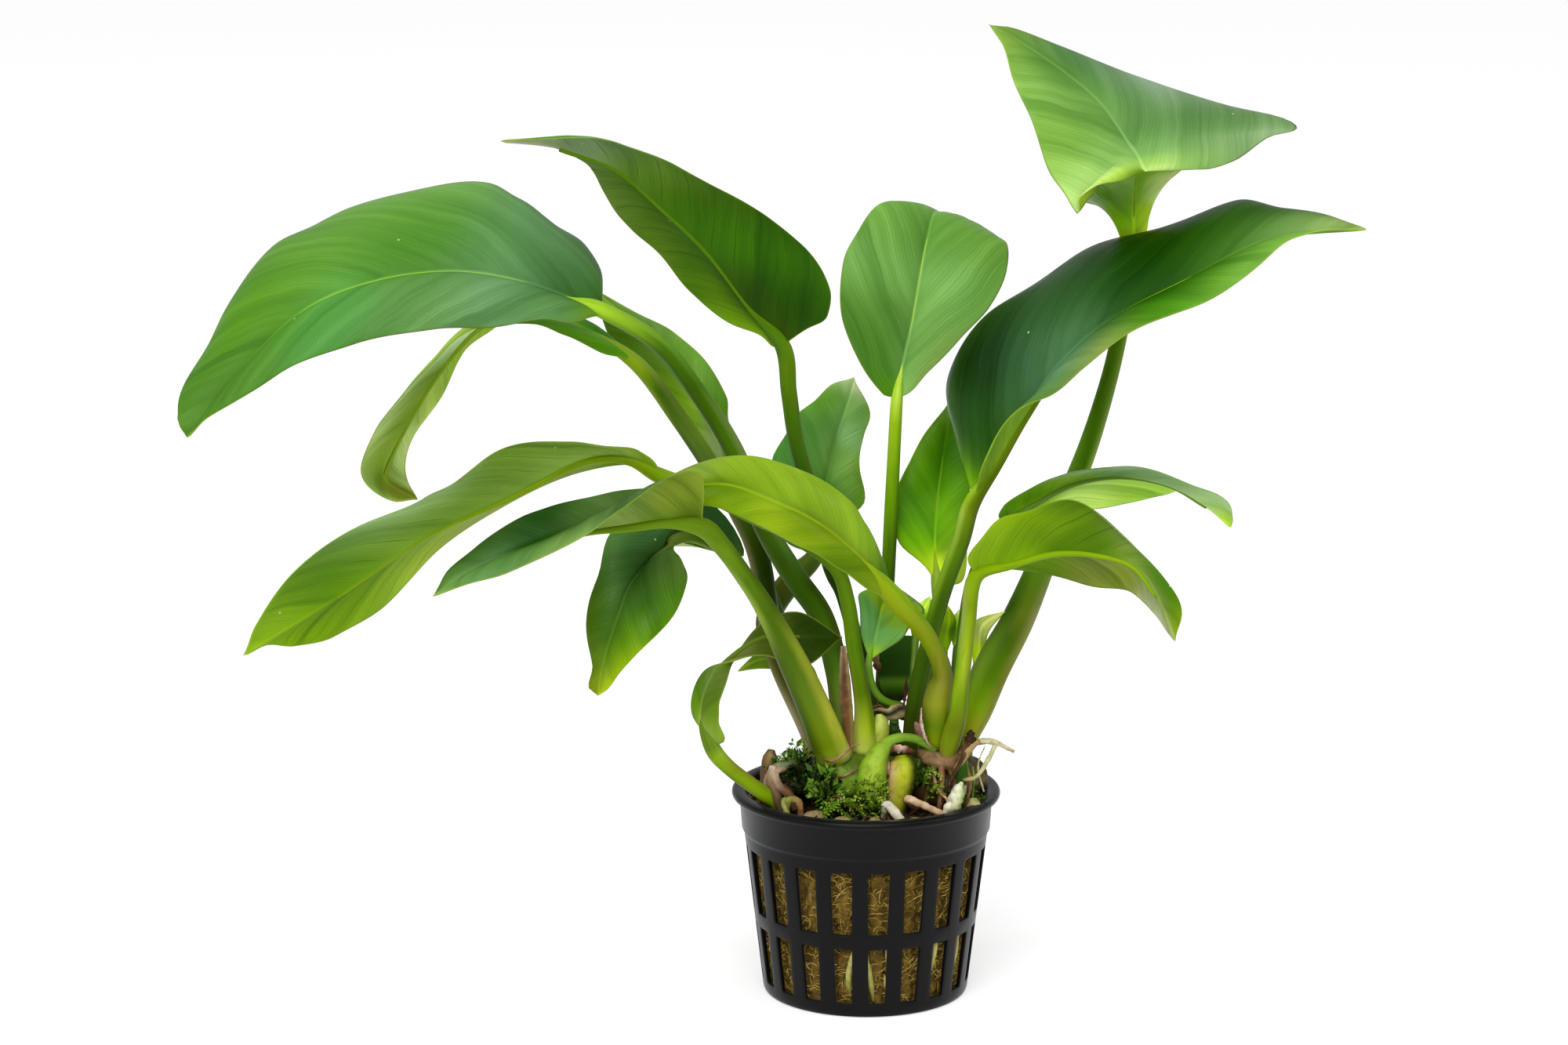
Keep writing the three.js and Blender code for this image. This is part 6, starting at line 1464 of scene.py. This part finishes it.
def add_fibre(form, rng, angle, z):
    """A curled thread lying on the wool's wall."""
    steps = 6
    length = rng.uniform(1.2, 4)
    heading = rng.uniform(0, math.pi)
    bend = rng.uniform(-3, 3)
    line = []
    for i in range(steps):
        part = i / (steps - 1)
        way = heading + bend * part
        angle += length / steps * math.cos(way) / 20
        z += length / steps * math.sin(way)
        z = min(max(z, WOOL_FOOT_Z), WOOL_EDGE_Z)
        r = wool_radius(z) + 0.1 + 0.7 * math.sin(part * math.pi) * rng.uniform(0.2, 1)
        line.append((r * math.cos(angle), r * math.sin(angle), z))
    shade = linear(rng.choice(["a58a38", "b79c48", "7e6a20", "4b3c10", "c8ac58"]))
    form.grid(tube(np.array(line), np.full(steps, rng.uniform(0.04, 0.08)), 3), shade, paint=1,
              ring=True)


def bumpy_tube(run, rings, sides, bumps=0.25, size=2.0, seed=0.0, scar=0.0, scar_step=2.2):
    """A tube along a run, roughened, with ring scars or twisted strands round it."""
    u = np.linspace(0, 1, rings)
    centres = smooth_line(run["points"], u)
    radii = along(run["radii"], u)
    points = tube(centres, radii, sides)
    outward = unit(points - centres[:, None])
    shift = bumps * rough(points, size, seed) + 0.4 * bumps * rough(points, size * 0.4, seed + 9)
    length = run_length(centres)[:, None] + 0.5 * rough(points, 4, seed + 4)
    shift = shift - scar * np.exp(-((((length / scar_step) % 1) - 0.5) / 0.12) ** 2)
    turn = 2 * math.pi * np.arange(sides) / sides
    shift = shift + run.get("twist", 0) * np.cos(3 * turn - length * 1.1)
    ends = np.minimum(1, np.minimum(u, 1 - u) * rings / 3)[:, None]
    return capped(points + outward * (shift * ends)[..., None])


def tube_tone(run, rings, sides):
    turn = 2 * math.pi * np.arange(sides) / sides
    return round_tone(run["shades"], np.linspace(0, 1, rings + 2), turn)


def make_rhizome():
    form = Form("creeping_stem", [paints["rhizome"]])
    rings, sides = 110, 48
    for i, run in enumerate(RHIZOME_RUNS):
        points = bumpy_tube(run, rings, sides, run["bumps"], 2.6, 10 * i, run["scar"], 2.6)
        patch = run["wear"] * smooth_step(-0.1, 0.5, rough(points, 2.4, 7 + i))[..., None]
        tone = tube_tone(run, rings, sides)
        form.grid(points, tone * (1 - patch) + tone * (0.45, 0.4, 0.4) * patch, ring=True)
    return form.build(["rhizome"])


def add_root(form, run, rings, sides, seed):
    points = bumpy_tube(run, rings, sides, run.get("bumps", 0.14), 1.5, seed, 0.05, 1.3)
    blotch_and_twist_shade = 1 + 0.35 * rough(points, 1.1, seed + 5)
    if "twist" in run:
        u = np.linspace(0, 1, rings + 2)
        length = run_length(smooth_line(run["points"], u))[:, None]
        turn = 2 * math.pi * np.arange(sides) / sides
        # Painted light and shade: the twisted strands lighter and the grooves between them darker.
        blotch_and_twist_shade = blotch_and_twist_shade * (0.75 + 0.75 * np.cos(3 * turn - length * 1.1))
    form.grid(points, tube_tone(run, rings, sides) * blotch_and_twist_shade[..., None], ring=True)


def make_shoot(name, shoot):
    form = Form(name + "_fine", [paints["root"]])
    add_root(form, shoot, 72, 20, len(name))
    if "branch" in shoot:
        add_root(form, shoot["branch"], 28, 12, len(name) + 3)
    return form.build([name])


def make_rootlets():
    form = Form("rootlets", [paints["root"]])
    for i, run in enumerate(ROOTLETS):
        add_root(form, run, 36, 14, 20 + i)
    rng = np.random.default_rng(5)
    for _ in range(LOOSE_ROOTLETS):
        angle = rng.uniform(0, 2 * math.pi)
        r = 22 * math.sqrt(rng.uniform(0, 1))
        start = np.array([r * math.cos(angle), r * math.sin(angle), WOOL_CROWN_Z - 0.006 * r * r])
        lean = np.append(rng.normal(0, 1.6, 2), rng.uniform(-0.6, 1.4))
        bow = np.append(rng.normal(0, 0.8, 2), rng.uniform(0.2, 1))
        line = np.array([start, start + lean * 0.5 + bow, start + lean])
        u = np.linspace(0, 1, 6)
        shade = linear(rng.choice(["1c1206", "2e1e0c", "5a4020", "84683a", "24240c"])) / LIGHT_GAIN
        form.grid(tube(smooth_line(line, u), np.full(6, rng.uniform(0.05, 0.16)), 4), shade, ring=True)
    form.draw_into_pot()
    return form.build([])


def make_slot_roots():
    form = Form("slot_roots", [paints["root"]])
    for i, root in enumerate(SLOT_ROOTS):
        angle = np.radians([point[0] for point in root])
        height = np.array([point[1] for point in root], float)
        r = wool_radius(height) + 0.15
        line = np.stack([r * np.cos(angle), r * np.sin(angle), height], -1)
        run = dict(points=[tuple(point) for point in line], radii=[0.25, 0.7, 0.6, 0.2],
                   shades=[(0, "6a6020"), (0.4, "b8b45c"), (0.8, "c8bc78"), (1, "5a4c1c")])
        add_root(form, run, 30, 12, 70 + i)
    return form.build([])


def make_scales():
    """Thin curled sheets with ragged edges."""
    form = Form("old_scales", [paints["scale"]])
    for i, scale in enumerate(SCALES):
        u = np.linspace(0, 1, 40)
        line = smooth_line(scale["points"], u)
        tangent = unit(np.gradient(line, axis=0))
        upward = unit(np.cross(tangent, (0.3, 1, 0.2)))
        forward = np.cross(upward, tangent)
        v = np.linspace(-1, 1, 13)
        spread = scale["width"] * np.sin(np.clip(u, 0.04, 0.96) * math.pi) ** 0.6
        ragged = 1 + 0.5 * rough(line, 0.6, i)
        flat = (spread * ragged)[:, None] * v[None]
        curl = 0.5 * spread[:, None] * (1 - v[None] ** 2)
        sheet = line[:, None] + upward[:, None] * flat[..., None] - forward[:, None] * curl[..., None]
        sheet = sheet + 0.15 * rough(sheet, 0.6, 3 + i)[..., None]
        tone = round_tone(scale["shades"], u, np.zeros(len(v))) * (1 + 0.3 * v[None, :, None])
        form.grid(sheet, tone)
        form.grid(sheet[:, ::-1] + forward[:, None] * 0.12, tone[:, ::-1])
    return form.build([])


def make_back_sheath():
    """The dark open sheath behind the stalks, seen into from the front."""
    form = Form("back_sheath", [leaf_paints[0]])
    u = np.linspace(0, 1, 30)
    turn = np.radians(np.linspace(-105, 105, 41))
    height = 56.5 + 14 * u
    reach = 3.9 * np.sqrt(np.clip(1 - (1 - u) ** 3, 0.02, 1))
    deep = 0.9 * reach / 3.9
    x = 5.9 + 0.4 * u[:, None] + reach[:, None] * np.sin(turn)[None]
    y = 10.2 + deep[:, None] * np.cos(turn)[None]
    sheet = np.stack([x, y, np.broadcast_to(height[:, None], x.shape)], -1)
    # Its near-black foot is painted shade deep inside the sheath.
    picks = [(0, "14140a"), (0.1, "1c2c08"), (0.2, "3c640c"), (0.32, "6a9a28"), (0.42, "2c5408"),
             (0.7, "34640c"), (1, "447a14")]
    tone = round_tone(picks, u, np.full(len(turn), math.pi / 2))
    rim = smooth_step(0.75, 0.95, np.sin(turn))[None, :, None] * smooth_step(0.3, 0.6, u)[:, None, None]
    tone = tone * (1 - rim) + linear("b8e060") / LIGHT_GAIN * rim
    form.grid(sheet[:, ::-1], tone[:, ::-1])
    form.grid(sheet + (0, 0.3, 0), tone)
    return form.build([])


def add_strand(form, line, shade, leaf_size, rng):
    """A moss strand: a hair-thin stem with small pointed leaflets all the way along."""
    length = run_length(line)[-1]
    count = max(4, int(length / (leaf_size * 0.42)))
    u = np.linspace(0, 1, 7)
    form.grid(tube(smooth_line(line, u), np.linspace(0.08, 0.03, 7), 3), shade * 0.8, ring=True)
    places = smooth_line(line, np.linspace(0.08, 1, count))
    tangent = unit(np.gradient(places, axis=0))
    sideways = unit(np.cross(tangent, rng.normal(0, 1, 3)))
    turn = np.where(np.arange(count) % 2 == 0, 1, -1)[:, None]
    out = unit(sideways * turn + tangent * 0.9 + rng.normal(0, 0.25, (count, 3)))
    flat = unit(np.cross(out, tangent))
    size = leaf_size * np.linspace(1.05, 0.55, count)[:, None] * rng.uniform(0.8, 1.2, (count, 1))
    broad = unit(np.cross(out, flat)) * size * 0.24
    corners = np.stack([places, places + out * size * 0.45 + broad, places + out * size,
                        places + out * size * 0.45 - broad], axis=1)
    faces = np.arange(count * 4).reshape(count, 4)
    tones = shade * rng.uniform(0.7, 1.3, (count, 1))
    form.add(corners, faces, np.repeat(tones, 4, axis=0))


def make_moss():
    form = Form("moss", [paints["moss"]])
    rng = np.random.default_rng(3)
    for tuft in MOSS_TUFTS:
        for _ in range(tuft["strands"]):
            away = rng.normal(0, 0.5, 3)
            start = np.array(tuft["at"]) + away * tuft["reach"]
            heading = unit(away * (1, 1, 0.6) + (0, -0.3, 0.7) + rng.normal(0, 0.4, 3))
            length = tuft["length"] * rng.uniform(0.5, 1.2)
            droop = np.array([0, 0, -0.28 * length])
            line = np.array([start, start + heading * length * 0.5, start + heading * length + droop])
            shade = linear(rng.choice(tuft["shades"])) / LIGHT_GAIN
            add_strand(form, line, shade, tuft["leaf"] * rng.uniform(0.7, 1.2), rng)
    for frond in MOSS_FRONDS:
        for _ in range(3):
            line = np.array(frond) + rng.normal(0, 0.25, (len(frond), 3))
            shade = linear(rng.choice(["7ea824", "9cc438", "5f8c1a"])) / LIGHT_GAIN
            add_strand(form, line, shade, 0.95, rng)
    form.draw_into_pot()
    return form.build([])


def make_grain(name, grain):
    form = Form(name + "_fine", [paints["grain"]])
    turn = np.linspace(0, 2 * math.pi, 32, endpoint=False)
    tilt = np.linspace(-math.pi / 2, math.pi / 2, 20)
    ball = np.stack([np.cos(tilt)[:, None] * np.cos(turn)[None],
                     np.cos(tilt)[:, None] * np.sin(turn)[None],
                     np.broadcast_to(np.sin(tilt)[:, None], (20, 32))], -1)
    points = ball * grain["size"]
    points = points * (1 + 0.08 * rough(ball, 0.6, len(name) + grain["turn"]))[..., None]
    c, s = math.cos(grain["turn"]), math.sin(grain["turn"])
    points = points @ np.array([[c, s, 0], [-s, c, 0], [0, 0, 1]]) + grain["at"]
    tone = (linear("a08a5c") * (1 + 0.3 * rough(ball, 0.25, 4))[..., None]) / LIGHT_GAIN
    form.grid(points, tone, ring=True)
    return form.build([name])


def pot_paint():
    paint = Paint("black satin plastic")
    grain = paint.cloud(0.5, 3)
    haze = paint.cloud(9, 2)
    colour = paint.mix(haze, linear("040405"), linear("09090a"))
    return paint.finish(colour, haze * 0.12 + 0.28, paint.bump(grain, 0.02, 0.3),
                        specular_ior_level=0.12, sheen_weight=0.1, sheen_roughness=0.35,
                        sheen_tint=linear("c8d0dc"))


def stalk_paint(name="stalk"):
    paint = Paint(name)
    tone = paint.read("tone")
    length, turn, _ = paint.marks()
    grain = paint.place_from(length * 0.08, turn)
    stripe = paint.cloud(0.7, 3, grain)
    patches = paint.cloud(5, 3)
    colour = paint.mix(stripe.rise(0.5, 0.75) * 0.22, tone, linear("2c4400") / LIGHT_GAIN)
    colour = paint.mix(patches.rise(0.55, 0.8) * 0.2, colour, linear("6a5c20") / LIGHT_GAIN)
    normal = paint.bump(stripe, 0.06, 0.3)
    return paint.finish(colour, 0.3 + patches * 0.15, normal, specular_ior_level=0.05)


def blade_paint(name, is_upper):
    paint = Paint(name)
    tone = paint.read("tone")
    vein, across, edge = paint.marks()
    out = abs(across)
    wander = paint.cloud(18, 2)
    line = vein + wander * 7
    side = line.fold(SIDE_VEIN_STEP)
    fine = line.fold(SIDE_VEIN_STEP / 6)
    flow = paint.place_from(line, across * 0.16)
    streak = paint.cloud(3.4, 3, flow)
    broad = paint.cloud(9, 2, flow)
    light = paint.mix(1.0, tone, np.array((1.6, 1.4, 1.8)), "MULTIPLY")
    dark = paint.mix(1.0, tone, np.array((0.45, 0.58, 0.4)), "MULTIPLY")
    inside = out.rise(0.3, 3) * edge.rise(0.3, 2)
    # Painted sheen: the lighter, bluish streaks along the side veins stand in for soft glossy
    # highlights; the darker streaks darken the tone between them.
    colour = paint.mix(broad.rise(0.5, 0.72) * 0.6, tone, dark)
    colour = paint.mix(broad.rise(0.5, 0.3) * 0.5, colour, light)
    colour = paint.mix(streak.rise(0.5, 0.75) * inside * 0.35, colour, dark)
    colour = paint.mix(streak.rise(0.5, 0.28) * inside * 0.4, colour, light)
    vein_line = side.rise(0.4, 0.05) * inside * wander.rise(0.65, 0.4)
    colour = paint.mix(vein_line * 0.4, colour, light if is_upper else dark)
    fine_line = fine.rise(0.3, 0.05) * inside
    colour = paint.mix(fine_line * 0.15, colour, dark)
    rib = out.rise(0.5, 0.2)
    colour = paint.mix(rib * (0.7 if is_upper else 0.4), colour, light)
    colour = paint.mix(edge.rise(0.3, 0.1) * 0.5, colour, linear("a8c040") / LIGHT_GAIN)
    specks = paint.specks(9).rise(0.035, 0.02)
    colour = paint.mix(specks * 0.6, colour, linear("d6e2a8") / LIGHT_GAIN)
    height = vein_line * -0.4 + fine_line * -0.1 + streak * 0.5 + broad * 0.5
    normal = paint.bump(height, 0.3, 0.6)
    roughness = streak * 0.2 + (0.2 if is_upper else 0.35)
    return paint.finish(colour, roughness, normal, specular_ior_level=0.05)


def plain_paint(name, light, dark, size=1.2, roughness=0.7, depth=0.2, wander=0.5):
    """A rough natural surface that wanders from its own tone towards a lighter and a darker one."""
    paint = Paint(name)
    tone = paint.read("tone")
    cloud = paint.cloud(size, 4)
    colour = paint.mix(cloud.rise(0.5, 0.3) * wander, tone, linear(dark) / LIGHT_GAIN)
    colour = paint.mix(cloud.rise(0.58, 0.8) * wander * 0.8, colour, linear(light) / LIGHT_GAIN)
    return paint.finish(colour, cloud * 0.2 + roughness - 0.1, paint.bump(cloud, depth, 0.8),
                        specular_ior_level=0.15)


def make_floor():
    side = FLOOR_HALF
    mesh = bpy.data.meshes.new("floor")
    corners = [(-side, -side, 0), (side, -side, 0), (side, side, 0), (-side, side, 0)]
    mesh.from_pydata(corners, [], [(0, 1, 2, 3)])
    floor = bpy.data.objects.new("floor", mesh)
    bpy.context.collection.objects.link(floor)
    paint = Paint("white studio floor")
    cloud = paint.cloud(900, 1)
    colour = paint.mix(cloud, linear("f2f2f2"), linear("f8f8f8"))
    lit = paint.add("ShaderNodeBsdfDiffuse", {}, {"Color": colour})
    glow = paint.add("ShaderNodeEmission", {}, {"Color": (1, 1, 1, 1), "Strength": FLOOR_GLOW})
    both = paint.add("ShaderNodeMixShader", {}, {0: GLOW_SHARE, 1: lit, 2: glow})
    mesh.materials.append(paint.show(both))


def make_light(name, at, look_at, size, watts, colour=(1, 1, 1)):
    lamp = bpy.data.lights.new(name, "AREA")
    lamp.shape = "RECTANGLE"
    lamp.size, lamp.size_y = size
    lamp.energy = watts
    lamp.color = colour
    light = bpy.data.objects.new(name, lamp)
    light.location = at
    light.rotation_euler = (Vector(look_at) - Vector(at)).to_track_quat("-Z", "Y").to_euler()
    bpy.context.collection.objects.link(light)
    return light


def make_sun(angle, strength, tilt):
    """Wide soft light from above, the same all over the floor."""
    lamp = bpy.data.lights.new("overhead", "SUN")
    lamp.angle = math.radians(angle)
    lamp.energy = strength
    sun = bpy.data.objects.new("overhead", lamp)
    sun.rotation_euler = [math.radians(a) for a in tilt]
    bpy.context.collection.objects.link(sun)


def make_surroundings():
    """A white studio: bright behind and above, dim on the viewer's side."""
    paint = Paint("studio", "worlds")
    way = paint.add("ShaderNodeTexCoord")
    behind = paint.part(way, 1).rise(-0.5, 0.6)
    above = paint.part(way, 2).rise(0.2, 1)
    strength = behind * 0.35 + above * 0.15 + 0.22
    glow = paint.add("ShaderNodeBackground", {}, {"Color": (1, 1, 1, 1), "Strength": strength})
    bpy.context.scene.world = paint.show(glow, "ShaderNodeOutputWorld")


def make_camera():
    lens = bpy.data.cameras.new("camera")
    lens.lens = LENS_MM
    lens.sensor_width = SENSOR_MM
    lens.sensor_fit = "HORIZONTAL"
    lens.clip_end = 50
    camera = bpy.data.objects.new("camera", lens)
    camera.location = CAMERA_AT
    camera.rotation_euler = (math.radians(90 - CAMERA_DOWN), 0, 0)
    bpy.context.collection.objects.link(camera)
    bpy.context.scene.camera = camera


paints = dict(
    pot=pot_paint(),
    wool=plain_paint("mineral wool", "a58a38", "30250a", 1.4, 0.95, 0.5, 0.65),
    fibre=plain_paint("wool fibre", "b79c58", "5a4818", 1.0, 0.8, 0.05),
    rhizome=plain_paint("creeping stem", "c3cf6a", "4a5a1c", 1.6, 0.42, 0.2, 0.35),
    root=plain_paint("root skin", "d9c7a0", "3c2412", 1.0, 0.5, 0.12, 0.25),
    scale=plain_paint("papery scale", "c09a78", "2c180c", 0.8, 0.6, 0.1, 0.4),
    moss=plain_paint("moss leaflet", "c4d848", "1c2c04", 0.8, 0.5, 0.03, 0.3),
    grain=plain_paint("tan grain", "cdbb92", "5c4726", 0.7, 0.75, 0.12),
)
leaf_paints = [stalk_paint(), blade_paint("blade upper face", True), blade_paint("blade under face",
                                                                                 False)]

for name, leaf in LEAVES.items():
    make_leaf(name, leaf, leaf_paints)
for name, shoot in SHOOTS.items():
    make_shoot(name, shoot)
for name, grain in GRAINS.items():
    make_grain(name, grain)
make_pot()
make_wool()
make_rhizome()
make_rootlets()
make_slot_roots()
make_scales()
make_back_sheath()
make_moss()
make_floor()
make_surroundings()
make_sun(60, 1.55, (34, -6, 0))
make_light("front softbox", (-0.2, -1.3, 1.0), (0, 0, 0.1), (1.0, 0.6), 13)
make_light("left softbox", (-1.0, -0.3, 1.0), (0, 0, 0.1), (0.5, 0.7), 6)
make_light("right softbox", (1.1, -0.3, 0.9), (0, 0, 0.1), (0.4, 0.7), 5)
make_camera()
bpy.context.scene.view_settings.view_transform = "Standard"
